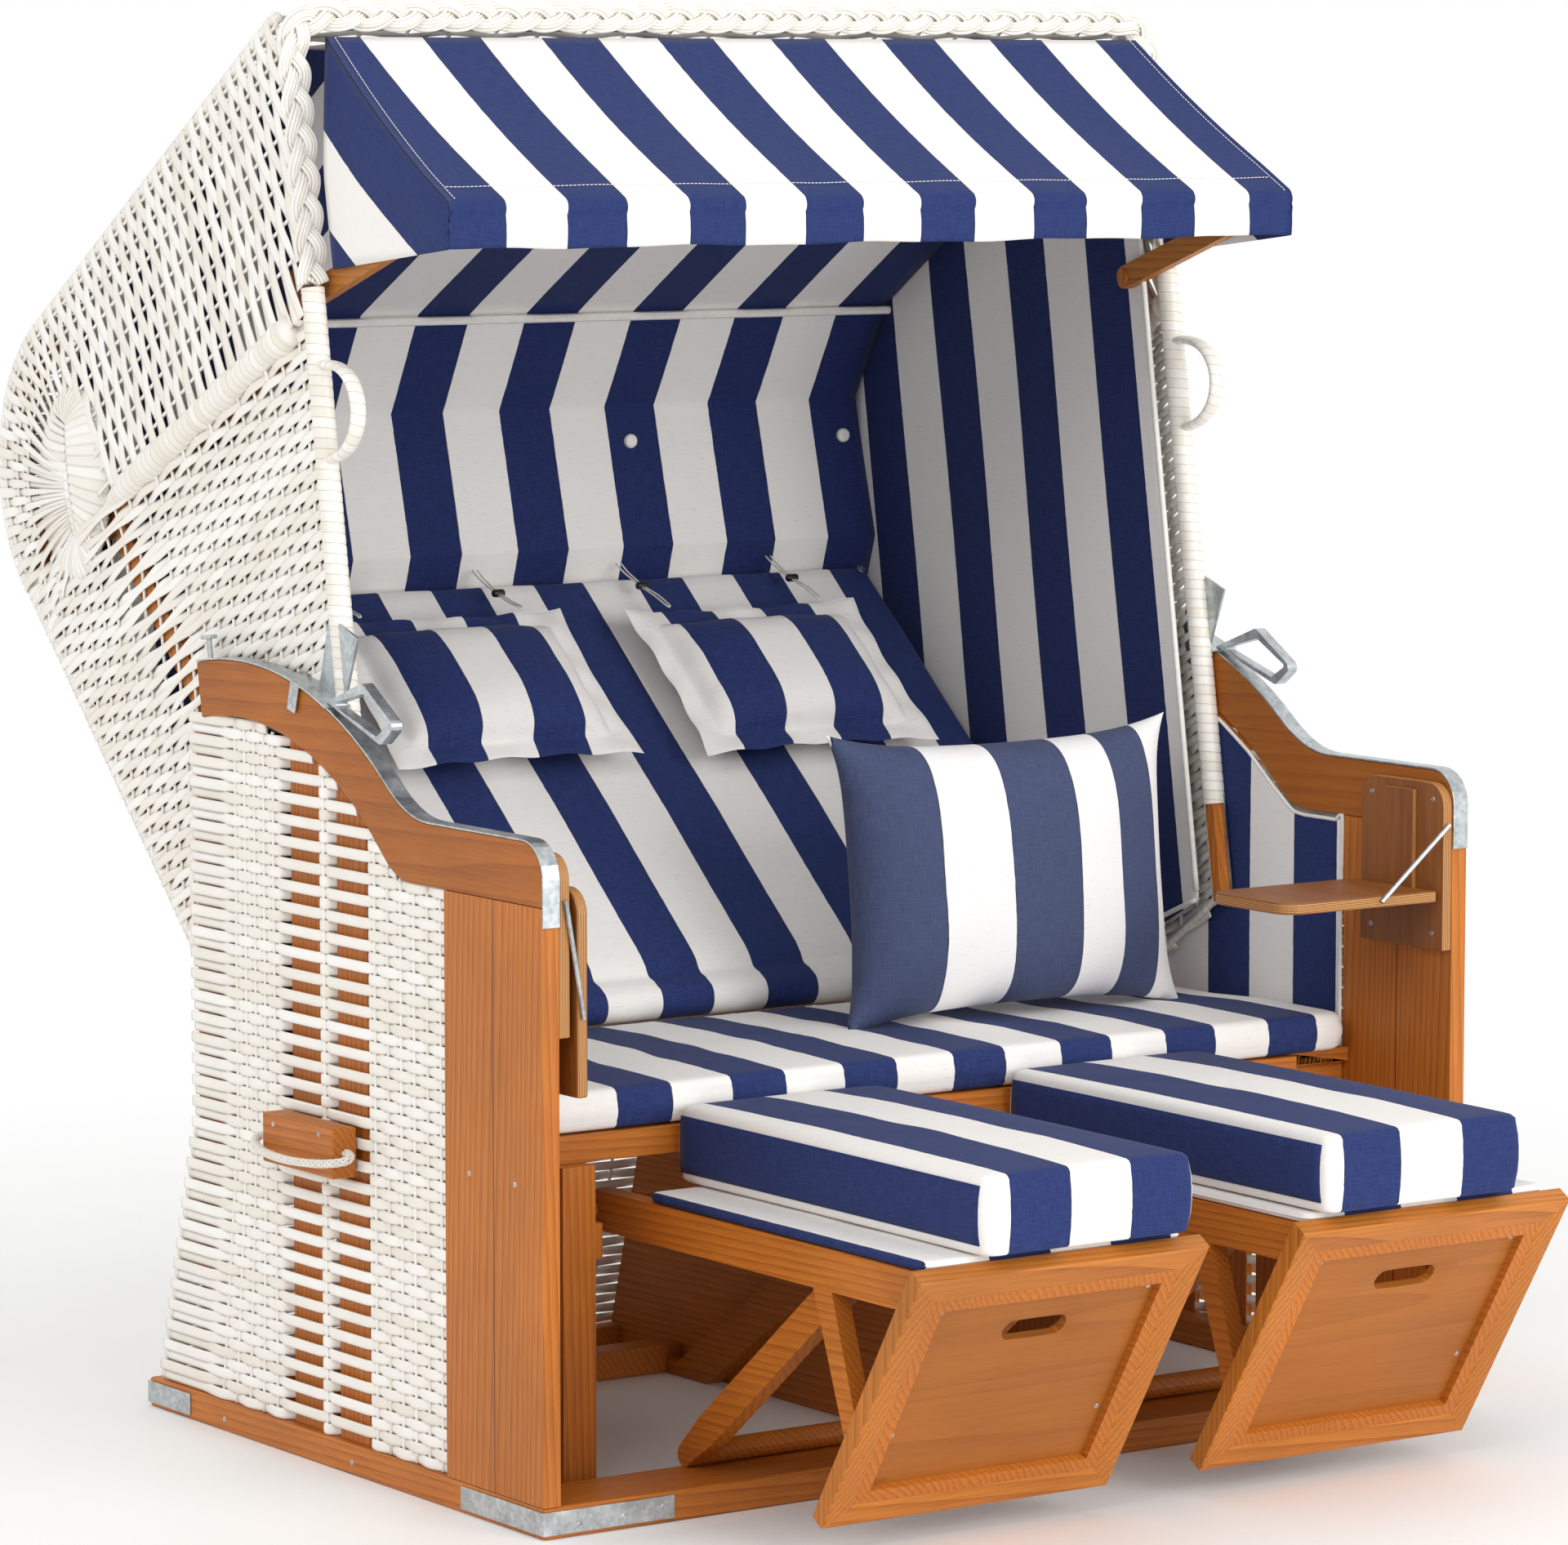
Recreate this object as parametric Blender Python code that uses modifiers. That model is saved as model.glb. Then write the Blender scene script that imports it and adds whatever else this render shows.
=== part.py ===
# Hooded beach chair for two: a wooden base with wicker sides, a hood that
# reclines in it, pull-out footrests and fold-away side tables.
# Metres, +Z up, front towards -Y. The origin is on the ground under the middle of the base.

import math

import bmesh
import bpy
import numpy as np
from mathutils import Matrix, Vector

# Clearances
GAP = 0.0003
OVERRUN = 0.010
LAP = 0.001

# Base frame
WIDTH = 1.200
BASE_FRONT = 0.405
BASE_BACK = 0.405
SILL_HEIGHT = 0.032
SILL_FRONT_DEPTH = 0.095
SILL_SIDE_WIDTH = 0.045
SILL_BACK_DEPTH = 0.045
BEARER_FRONT_Y = 0.232
BEARER_DEPTH = 0.040
POST_THICKNESS = 0.020
POST_DEPTH = 0.185
PARTITION_THICKNESS = 0.018
BRACKET_HEIGHT = 0.024
BRACKET_THICKNESS = 0.0015
BRACKET_LEG = 0.156
BRACKET_BACK_LEG = 0.092

# Side walls of the base, from the outside in
WICKER_THICKNESS = 0.010
SLAT_THICKNESS = 0.009
SIDE_BACK_Y = 0.307
SIDE_BEND_Z = 0.335
SIDE_TAIL_Y = 0.390
SLAT_WIDTH = 0.060
SLAT_FRONT_Y = -0.050
SLAT_PITCH = 0.096
CORNER_POST_WIDTH = 0.040
PIVOT_BOARD_HEIGHT = 0.090
PIVOT_BOARD_WIDTH = 0.110
BACK_PANEL_THICKNESS = 0.010
BACK_RAIL_HEIGHT = 0.030
BACK_RAIL_DEPTH = 0.030
SIDE_RAIL_HEIGHT = 0.046

# Armrests
ARM_RADIUS = 0.495
ARM_BAND = 0.060
ARM_BACK_ANGLE = 10.0
ARM_BREAK_ANGLE = -38.0
ARM_FLAT_Z = 0.702
ARM_FLAT_BACK_Y = -0.190
ARM_UNDER_Z = 0.638
ARM_UNDER_BREAK_ANGLE = -43.0
ARM_UNDER_BACK_Y = -0.150
ARM_NOSE_RADIUS = 0.036
STRIP_THICKNESS = 0.002
STRIP_DROP_Z = 0.618
STOP_BOLT_ANGLE = 8.3
STOP_BOLT_RADIUS = 0.003
STOP_BOLT_HEIGHT = 0.022
STOP_BOLT_HEAD_RADIUS = 0.009
STOP_BOLT_HEAD = 0.004

# Seat
SEAT_FRONT_Y = -0.250
SEAT_BACK_Y = 0.135
SEAT_DECK_Z = 0.378
SEAT_BOARD_THICKNESS = 0.016
SEAT_RAIL_HEIGHT = 0.030
SEAT_RAIL_DEPTH = 0.020
SEAT_BACK_PLAY = 0.0068
SEAT_FRONT_PLAY = 0.0167
SEAT_CUSHION_THICKNESS = 0.043
SEAT_CUSHION_EDGE = 0.014
SEAT_CROWN = 0.003
STILE_INSET = 0.150
STILE_WIDTH = 0.040
STILE_DEPTH = 0.040
CLEAT_WIDTH = 0.070
CLEAT_HEIGHT = 0.028

# Hood pivot and hood
PIVOT_Y = 0.200
PIVOT_Z = 0.345
PIN_RADIUS = 0.0048
PIN_PLAY = 0.0004
PIN_HEAD_RADIUS = 0.009
PIN_HEAD = 0.0028
PIVOT_PLATE_THICKNESS = 0.003
PIVOT_PLATE_WIDTH = 0.036
PIVOT_PLATE_LENGTH = 0.150
HOOD_SIDE_PLAY = 0.0087
HOOD_WALL = 0.010
HOOD_FOOT_Y = -0.020
HOOD_FOOT_Z = 0.525
HOOD_TOP_Y = 0.135
HOOD_TOP_Z = 1.530
HOOD_TAIL_Y = 0.206
HOOD_TAIL_Z = 0.369
ROOF_RISE = 0.012
ROOF_SLOPE = 32.6
BACK_SLOPE = 44.7
NOSE_RADIUS = 0.190
TUBE_RADIUS = 0.0125
TUBE_BEND_RADIUS = 0.040
BRAID_RADIUS = 0.019
BRAID_FOOT_DROP = 0.287
LINING_DEPTH = 0.0252
LINER_THICKNESS = 0.003
RIB_WIDTH = 0.032
LINER_TOP_DROP = 0.040
BATTEN_AHEAD = 0.2782
BATTEN_BELOW = -0.1321
LINER_NOSE_AHEAD = 0.2142
LINER_NOSE_BELOW = -0.0161
LINER_LOW_AHEAD = 0.2582
LINER_LOW_BELOW = 0.1489
RIDGE_FRONT_Y = 0.150
RIDGE_FRONT_DROP = 0.355
RIDGE_BACK_AHEAD = 0.2982
RIDGE_BACK_BELOW = 0.1089
RIDGE_END_AHEAD = 0.1662
RIDGE_END_BELOW = 0.1189
KNEE_TOP_AHEAD = 0.3732
KNEE_TOP_BELOW = 0.0839
KNEE_LOW_Y = 0.115
KNEE_LOW_Z = 0.575
BATTEN_RADIUS = 0.005

# Back rest and pillows
REST_SIDE_PLAY = 0.0218
REST_LOW_Y = 0.145
REST_LOW_Z = 0.455
REST_TOP_AHEAD = 0.2682
REST_TOP_BELOW = 0.1819
REST_THICKNESS = 0.044
REST_EDGE = 0.014
ROLL_RADIUS = 0.0215
BAR_THICKNESS = 0.018
BAR_WIDTH = 0.045
BAR_LOW_SHARE = 0.08
BAR_HIGH_SHARE = 0.55
PILLOW_WIDTH = 0.345
PILLOW_HEIGHT = 0.235
PILLOW_THICKNESS = 0.078
PILLOW_FLANGE = 0.036
PILLOW_FLANGE_THICKNESS = 0.008
PILLOW_SPACING = 0.450
PILLOW_SIDE_GAP = 0.0425
PILLOW_UP = 0.440
THROW_WIDTH = 0.430
THROW_HEIGHT = 0.305
THROW_THICKNESS = 0.150
THROW_CENTRE_X = 0.240
THROW_CENTRE_Y = -0.045
THROW_LEAN = 6.0

# Awning
AWNING_PIVOT_Y = 0.130
AWNING_BLOCK = 0.050
AWNING_PIVOT_DROP = 0.300
AWNING_ARM_LENGTH = 0.290
AWNING_ARM_RISE = 19.0
AWNING_ARM_WIDTH = 0.026
AWNING_ARM_TAPER = 0.035
AWNING_ARM_THICKNESS = 0.012
AWNING_BAR_RADIUS = 0.009
AWNING_TOP_Y = 0.112
AWNING_TOP_DROP = 0.030
AWNING_TOP_PLAY = 0.0118
AWNING_LAP = 0.0027
AWNING_SPREAD_DROP = 0.170
AWNING_CLOTH_THICKNESS = 0.0025
AWNING_HEM_HEIGHT = 0.034
AWNING_GUSSET_HEIGHT = 0.250
AWNING_SAG_DEPTH = 0.006

# Grab loops
LOOP_DROP = 0.422
LOOP_HALF_HEIGHT = 0.050
LOOP_REACH = 0.072
LOOP_RADIUS = 0.0065

# Latches
LATCH_PLATE = 0.002
LATCH_BACK_ANGLE = -11.3
LATCH_FRONT_ANGLE = -22.6
LATCH_WEB_ANGLE = -15.5
LATCH_STANDOFF = 0.004
LATCH_STRAP_HEIGHT = 0.075
HANDLE_LENGTH = 0.114
HANDLE_HEIGHT = 0.047
HANDLE_BAR = 0.0085
HANDLE_WIDTH = 0.014
HANDLE_PIVOT_ANGLE = -21.5
HANDLE_SLOPE = -18.5
HANDLE_SHARES = ((0.0, 0.0), (1.0, 0.0), (1.18, 0.62), (0.52, 1.0))

# Carrying handles
BLOCK_THICKNESS = 0.030
BLOCK_FRONT_Y = -0.045
BLOCK_BACK_Y = 0.100
BLOCK_LOW_Z = 0.318
BLOCK_HIGH_Z = 0.371
ROPE_RADIUS = 0.005
ROPE_REACH = 0.034
ROPE_SAG = 0.012
ROPE_BOW = 0.026

# Side tables
TABLE_PLATE_THICKNESS = 0.0127
TABLE_PLATE_LOW_Z = 0.506
TABLE_PLATE_HIGH_Z = 0.690
TABLE_BACK_Y = -0.265
TABLE_CORNER = 0.026
TABLE_BOARD_THICKNESS = 0.013
TABLE_OPEN_Z = 0.567
TABLE_AXIS_INSET = 0.028
TABLE_REACH = 0.204
STAY_RADIUS = 0.0025
STAY_INSET = 0.0065
STAY_TOP_Z = 0.645
STAY_LENGTH = 0.123
SLIDER_LENGTH = 0.120
SLIDER_WIDTH = 0.050
SLIDER_THICKNESS = 0.005

# Footrests
FOOT_PANEL_INNER_GAP = 0.052
FOOT_PANEL_OUTER_GAP = 0.036
FOOT_PANEL_TOP_Y = -0.791
FOOT_PANEL_TOP_Z = 0.301
FOOT_PANEL_LENGTH = 0.318
FOOT_PANEL_TILT = 31.5
FOOT_PANEL_THICKNESS = 0.018
FOOT_BOARD_RECESS = 0.009
FOOT_MOULDING = 0.042
HAND_SLOT_LENGTH = 0.078
HAND_SLOT_HEIGHT = 0.026
HAND_SLOT_DOWN = 0.088
FOOT_RAIL_INNER_INSET = 0.017
FOOT_RAIL_OUTER_INSET = 0.016
FOOT_RAIL_THICKNESS = 0.022
FOOT_RAIL_HEIGHT = 0.042
RUNNER_Y = -0.185
RUNNER_Z = 0.285
RUNNER_IN_Y = 0.2068
RUNNER_IN_Z = 0.029
RUNNER_RADIUS = 0.009
RUNNER_PLAY = 0.0004
GUIDE_THICKNESS = 0.022
GUIDE_DEPTH = 0.045
PROP_PIVOT_Y = -0.618
PROP_PIVOT_Z = 0.283
PROP_FOOT_Y = -0.320
PROP_WIDTH = 0.034
PROP_TAPER = 0.050
PROP_THICKNESS = 0.020
PROP_BAR_RADIUS = 0.0125
BRACE_TOP_Y = -0.600
BRACE_LOW_SHARE = 0.78
BRACE_WIDTH = 0.032
BRACE_THICKNESS = 0.020
FOOT_PAD_THICKNESS = 0.0115
FOOT_PAD_BACK_Y = -0.285
FOOT_CUSHION_INNER_INSET = 0.024
FOOT_CUSHION_OUTER_INSET = 0.072
FOOT_CUSHION_FRONT_Y = -0.800
FOOT_CUSHION_BACK_Y = -0.256
FOOT_CUSHION_THICKNESS = 0.082
FOOT_CUSHION_EDGE = 0.010
FOOT_CUSHION_CROWN = 0.004

# Round counts
ROUND_SIDES = 16
TUBE_RESOLUTION = 3
ARC_STEPS = 8

# Places that follow from the sizes above
HALF_WIDTH = WIDTH / 2
POST_INNER_X = HALF_WIDTH - POST_THICKNESS
WICKER_INNER_X = HALF_WIDTH - WICKER_THICKNESS
SLAT_OUTER_X = WICKER_INNER_X - GAP
SLAT_INNER_X = SLAT_OUTER_X - SLAT_THICKNESS
POST_BACK_Y = POST_DEPTH - BASE_FRONT
STILE_INNER_X = HALF_WIDTH - STILE_INSET
HOOD_HALF_WIDTH = SLAT_INNER_X - HOOD_SIDE_PLAY
LINING_X = HOOD_HALF_WIDTH - LINING_DEPTH
REST_HALF_WIDTH = LINING_X - REST_SIDE_PLAY
PILLOW_RIGHT_X = REST_HALF_WIDTH - PILLOW_SIDE_GAP - PILLOW_WIDTH / 2
PILLOW_LEFT_X = PILLOW_RIGHT_X - PILLOW_SPACING
SEAT_BACK_HALF_WIDTH = LINING_X - SEAT_BACK_PLAY
SEAT_FRONT_HALF_WIDTH = SLAT_INNER_X - SEAT_FRONT_PLAY
AWNING_TOP_HALF_WIDTH = LINING_X - AWNING_TOP_PLAY
AWNING_FRONT_HALF_WIDTH = LINING_X + AWNING_LAP
LATCH_OUTER_X = HALF_WIDTH + LATCH_STANDOFF
RIB_INNER_X = LINING_X + LINER_THICKNESS + GAP
RIB_OUTER_X = HOOD_HALF_WIDTH - HOOD_WALL - GAP
TUBE_X = HOOD_HALF_WIDTH - TUBE_RADIUS
BRAID_X = LINING_X + GAP + BRAID_RADIUS
TABLE_PLATE_X = POST_INNER_X - GAP - TABLE_PLATE_THICKNESS
TABLE_AXIS_X = POST_INNER_X - TABLE_AXIS_INSET
TABLE_TIP_X = TABLE_AXIS_X - TABLE_REACH
STAY_TOP_X = POST_INNER_X - STAY_INSET
STAY_Y = -BASE_FRONT - GAP - STAY_RADIUS
FOOT_PANEL_INNER_X = PARTITION_THICKNESS / 2 + FOOT_PANEL_INNER_GAP
FOOT_PANEL_OUTER_X = STILE_INNER_X - FOOT_PANEL_OUTER_GAP
FOOT_RAIL_INNER_X = FOOT_PANEL_INNER_X + FOOT_RAIL_INNER_INSET
FOOT_RAIL_OUTER_X = FOOT_PANEL_OUTER_X - FOOT_RAIL_OUTER_INSET
FOOT_CUSHION_INNER_X = FOOT_PANEL_INNER_X + FOOT_CUSHION_INNER_INSET
FOOT_CUSHION_OUTER_X = FOOT_PANEL_OUTER_X - FOOT_CUSHION_OUTER_INSET
SEAT_CUSHION_Z = SEAT_DECK_Z + GAP
AWNING_PIVOT_Z = HOOD_TOP_Z - AWNING_PIVOT_DROP
AWNING_TOP_Z = HOOD_TOP_Z - AWNING_TOP_DROP
AWNING_SPREAD_Z = HOOD_TOP_Z - AWNING_SPREAD_DROP
BRAID_FOOT_Z = HOOD_TOP_Z - BRAID_FOOT_DROP
LOOP_Z = HOOD_TOP_Z - LOOP_DROP
RIDGE_FRONT_Z = HOOD_TOP_Z - RIDGE_FRONT_DROP

# The corner where the lines of the hood's roof and back meet, and what keeps its place to it
ROOF_FALL = math.tan(math.radians(ROOF_SLOPE))
BACK_RISE = math.tan(math.radians(BACK_SLOPE))
ROOF_OVER_TAIL = HOOD_TOP_Z + ROOF_RISE - HOOD_TAIL_Z + HOOD_TOP_Y * ROOF_FALL
HOOD_CORNER_Y = (ROOF_OVER_TAIL + HOOD_TAIL_Y * BACK_RISE) / (ROOF_FALL + BACK_RISE)
HOOD_CORNER_Z = HOOD_TAIL_Z + (HOOD_CORNER_Y - HOOD_TAIL_Y) * BACK_RISE
BATTEN_Y = HOOD_CORNER_Y - BATTEN_AHEAD
BATTEN_Z = HOOD_CORNER_Z - BATTEN_BELOW
LINER_NOSE_Y = HOOD_CORNER_Y - LINER_NOSE_AHEAD
LINER_NOSE_Z = HOOD_CORNER_Z - LINER_NOSE_BELOW
LINER_LOW_Y = HOOD_CORNER_Y - LINER_LOW_AHEAD
LINER_LOW_Z = HOOD_CORNER_Z - LINER_LOW_BELOW
RIDGE_BACK_Y = HOOD_CORNER_Y - RIDGE_BACK_AHEAD
RIDGE_BACK_Z = HOOD_CORNER_Z - RIDGE_BACK_BELOW
RIDGE_END_Y = HOOD_CORNER_Y - RIDGE_END_AHEAD
RIDGE_END_Z = HOOD_CORNER_Z - RIDGE_END_BELOW
KNEE_TOP_Y = HOOD_CORNER_Y - KNEE_TOP_AHEAD
KNEE_TOP_Z = HOOD_CORNER_Z - KNEE_TOP_BELOW
REST_TOP_Y = HOOD_CORNER_Y - REST_TOP_AHEAD
REST_TOP_Z = HOOD_CORNER_Z - REST_TOP_BELOW

PARTS = bpy.data.collections.new("hooded_beach_chair")
CUTTERS = bpy.data.collections.new("hooded_beach_chair_cutters")

PALETTE = {
    "pine": ("#C8823C", 0.55, 0.0),
    "armrest_board": ("#B06A1F", 0.5, 0.0),
    "plywood": ("#BC7A38", 0.5, 0.0),
    "wicker": ("#F0ECE4", 0.45, 0.0),
    "galvanised": ("#AAAFB2", 0.35, 1.0),
    "canvas_navy": ("#2E3F73", 0.9, 0.0),
    "canvas_white": ("#F1EEEA", 0.9, 0.0),
    "faded_navy": ("#505873", 0.9, 0.0),
    "rope": ("#F3F1EC", 0.8, 0.0),
    "white_plastic": ("#F4F4F2", 0.3, 0.0),
}


def clear_scene():
    """Remove whatever the scene holds and link the two collections."""
    for old in list(bpy.data.objects):
        bpy.data.objects.remove(old, do_unlink=True)
    bpy.context.scene.collection.children.link(PARTS)
    bpy.context.scene.collection.children.link(CUTTERS)


def linear(channel):
    """One sRGB channel from 0 to 1 as a linear value."""
    return channel / 12.92 if channel <= 0.04045 else ((channel + 0.055) / 1.055) ** 2.4


def material(finish, node_name):
    """A Principled material of its own for one sub-part."""
    code, roughness, metallic = PALETTE[finish]
    made = bpy.data.materials.new(node_name + "_" + finish)
    made.use_nodes = True
    shader = made.node_tree.nodes["Principled BSDF"]
    rgb = [linear(int(code[i:i + 2], 16) / 255) for i in (1, 3, 5)]
    shader.inputs["Base Color"].default_value = (*rgb, 1.0)
    shader.inputs["Roughness"].default_value = roughness
    shader.inputs["Metallic"].default_value = metallic
    return made


def piece_object(mesh):
    """A loose object that a node is later put together from."""
    made = bpy.data.objects.new("piece", mesh)
    CUTTERS.objects.link(made)
    return made


def meshed(source):
    """The evaluated mesh of an object as a new welded object; the source goes."""
    bpy.context.view_layer.update()
    graph = bpy.context.evaluated_depsgraph_get()
    mesh = bpy.data.meshes.new_from_object(source.evaluated_get(graph), depsgraph=graph)
    work = bmesh.new()
    work.from_mesh(mesh)
    bmesh.ops.remove_doubles(work, verts=work.verts, dist=GAP / 20)
    bmesh.ops.recalc_face_normals(work, faces=work.faces)
    work.to_mesh(mesh)
    work.free()
    made = piece_object(mesh)
    made.matrix_world = source.matrix_world.copy()
    bpy.data.objects.remove(source, do_unlink=True)
    return made


def box(x_range, y_range, z_range):
    """A block between three pairs of limits."""
    work = bmesh.new()
    bmesh.ops.create_cube(work, size=1.0)
    low = [min(x_range), min(y_range), min(z_range)]
    high = [max(x_range), max(y_range), max(z_range)]
    for axis in range(3):
        for vertex in work.verts:
            vertex.co[axis] = low[axis] if vertex.co[axis] < 0 else high[axis]
    mesh = bpy.data.meshes.new("box")
    work.to_mesh(mesh)
    work.free()
    return piece_object(mesh)


def flat_plate(loops, thickness, matrix):
    """Outlines on the XY plane, the first one outside and the rest holes, given a thickness."""
    data = bpy.data.curves.new("plate", "CURVE")
    data.dimensions = "2D"
    data.fill_mode = "BOTH"
    data.extrude = thickness / 2
    for loop in loops:
        spline = data.splines.new("POLY")
        spline.points.add(len(loop) - 1)
        for point, (u, v) in zip(spline.points, loop):
            point.co = (u, v, 0.0, 1.0)
        spline.use_cyclic_u = True
    made = bpy.data.objects.new("plate", data)
    CUTTERS.objects.link(made)
    made.matrix_world = matrix
    return meshed(made)


SIDEWAYS = Matrix(((0, 0, 1, 0), (1, 0, 0, 0), (0, 1, 0, 0), (0, 0, 0, 1)))


def side_plate(loops, x_from, x_to):
    """Outlines in (y, z) carried from one x to another."""
    middle = Matrix.Translation(((x_from + x_to) / 2, 0.0, 0.0))
    return flat_plate(loops, abs(x_to - x_from), middle @ SIDEWAYS)


def tube(points, radius, resolution=TUBE_RESOLUTION, cyclic=False):
    """A round bar along points."""
    data = bpy.data.curves.new("tube", "CURVE")
    data.dimensions = "3D"
    data.bevel_depth = radius
    data.bevel_resolution = resolution
    data.use_fill_caps = True
    spline = data.splines.new("POLY")
    spline.points.add(len(points) - 1)
    for place, point in zip(spline.points, points):
        place.co = (*point, 1.0)
    spline.use_cyclic_u = cyclic
    made = bpy.data.objects.new("tube", data)
    CUTTERS.objects.link(made)
    return meshed(made)


def cylinder(start, end, radius, sides=ROUND_SIDES):
    """A round bar between two points, from the cone primitive."""
    start = Vector(start)
    end = Vector(end)
    work = bmesh.new()
    bmesh.ops.create_cone(work, cap_ends=True, segments=sides, radius1=radius,
                          radius2=radius, depth=(end - start).length)
    mesh = bpy.data.meshes.new("cylinder")
    work.to_mesh(mesh)
    work.free()
    made = piece_object(mesh)
    turn = Vector((0, 0, 1)).rotation_difference(end - start).to_matrix().to_4x4()
    made.matrix_world = Matrix.Translation((start + end) / 2) @ turn
    return made


def combine(target, other, operation):
    """One exact boolean, applied; both sources go."""
    modifier = target.modifiers.new("boolean", "BOOLEAN")
    modifier.operation = operation
    modifier.object = other
    other.hide_render = True
    other.display_type = "WIRE"
    made = meshed(target)
    bpy.data.objects.remove(other, do_unlink=True)
    return made


def rounded(points, radii, steps=ARC_STEPS):
    """A closed outline with each corner turned by its own radius."""
    outline = []
    count = len(points)
    for index in range(count):
        corner = Vector(points[index])
        before = (Vector(points[index - 1]) - corner).normalized()
        after = (Vector(points[(index + 1) % count]) - corner).normalized()
        radius = radii[index]
        if radius <= 0:
            outline.append(tuple(corner))
            continue
        half = before.angle(after) / 2
        centre = corner + (before + after).normalized() * radius / math.sin(half)
        first = corner + before * radius / math.tan(half) - centre
        sweep = math.pi - 2 * half
        turn = 1 if before.x * after.y - before.y * after.x < 0 else -1
        for step in range(steps + 1):
            angle = turn * sweep * step / steps
            spun = Vector((first.x * math.cos(angle) - first.y * math.sin(angle),
                           first.x * math.sin(angle) + first.y * math.cos(angle)))
            outline.append(tuple(centre + spun))
    return outline


def arc(centre_y, centre_z, radius, from_angle, to_angle, steps=ARC_STEPS):
    """Points on an arc; angles in degrees from straight up, positive to the back."""
    turns = np.radians(np.linspace(from_angle, to_angle, steps + 1))
    return [(centre_y + radius * math.sin(t), centre_z + radius * math.cos(t)) for t in turns]


def ease(start, start_slope, end, steps=ARC_STEPS):
    """Points of a cubic that leaves start at a slope and reaches end level, both ends left out."""
    span = end[0] - start[0]
    points = []
    for step in range(1, steps):
        t = step / steps
        value = ((2 * t ** 3 - 3 * t ** 2 + 1) * start[1] + (t ** 3 - 2 * t ** 2 + t) * start_slope * span
                 + (3 * t ** 2 - 2 * t ** 3) * end[1])
        points.append((start[0] + span * t, value))
    return points


def offset_path(path, distance):
    """A path of (y, z) points moved sideways, to the right of its direction."""
    moved = []
    for index, point in enumerate(path):
        before = Vector(path[max(index - 1, 0)])
        after = Vector(path[min(index + 1, len(path) - 1)])
        along = (after - before).normalized()
        moved.append((point[0] + along.y * distance, point[1] - along.x * distance))
    return moved


def node(name, finish, pieces, origin=(0.0, 0.0, 0.0), smooth=False):
    """Join loose pieces into one named object whose origin is at the given place."""
    bpy.context.view_layer.update()
    work = bmesh.new()
    for piece in pieces:
        mesh = piece.data
        mesh.transform(Matrix.Translation(-Vector(origin)) @ piece.matrix_world)
        work.from_mesh(mesh)
        bpy.data.objects.remove(piece, do_unlink=True)
    joined = bpy.data.meshes.new(name)
    work.to_mesh(joined)
    work.free()
    joined.materials.clear()
    joined.materials.append(material(finish, name))
    if smooth:
        joined.shade_smooth()
        joined.set_sharp_from_angle(angle=math.radians(40))
    made = bpy.data.objects.new(name, joined)
    made.location = origin
    PARTS.objects.link(made)
    return made


def soft_block(half, edge, shape, cuts):
    """A cube cut into a grid, its edges rounded, then moved by shape(u, v, w, point)."""
    work = bmesh.new()
    bmesh.ops.create_cube(work, size=2.0)
    bmesh.ops.subdivide_edges(work, edges=work.edges, cuts=cuts - 1, use_grid_fill=True)
    even = np.linspace(-1, 1, cuts + 1)
    stations = []
    for size in half:
        inner = np.linspace(edge - size, size - edge, cuts - 1)
        stations.append(np.concatenate(([-size], inner, [size])))
    for vertex in work.verts:
        place = Vector([np.interp(vertex.co[k], even, stations[k]) for k in range(3)])
        core = Vector([max(-half[k] + edge, min(half[k] - edge, place[k])) for k in range(3)])
        out = place - core
        if out.length > 0:
            place = core + out.normalized() * edge
        unit = [place[k] / half[k] for k in range(3)]
        vertex.co = shape(unit[0], unit[1], unit[2], place)
    mesh = bpy.data.meshes.new("soft")
    work.to_mesh(mesh)
    work.free()
    return piece_object(mesh)


def put(piece, place, turn_x=0.0):
    """Move a piece to a place, turned about X by an angle in degrees."""
    piece.matrix_world = Matrix.Translation(place) @ Matrix.Rotation(math.radians(turn_x), 4, "X")
    return piece


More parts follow.
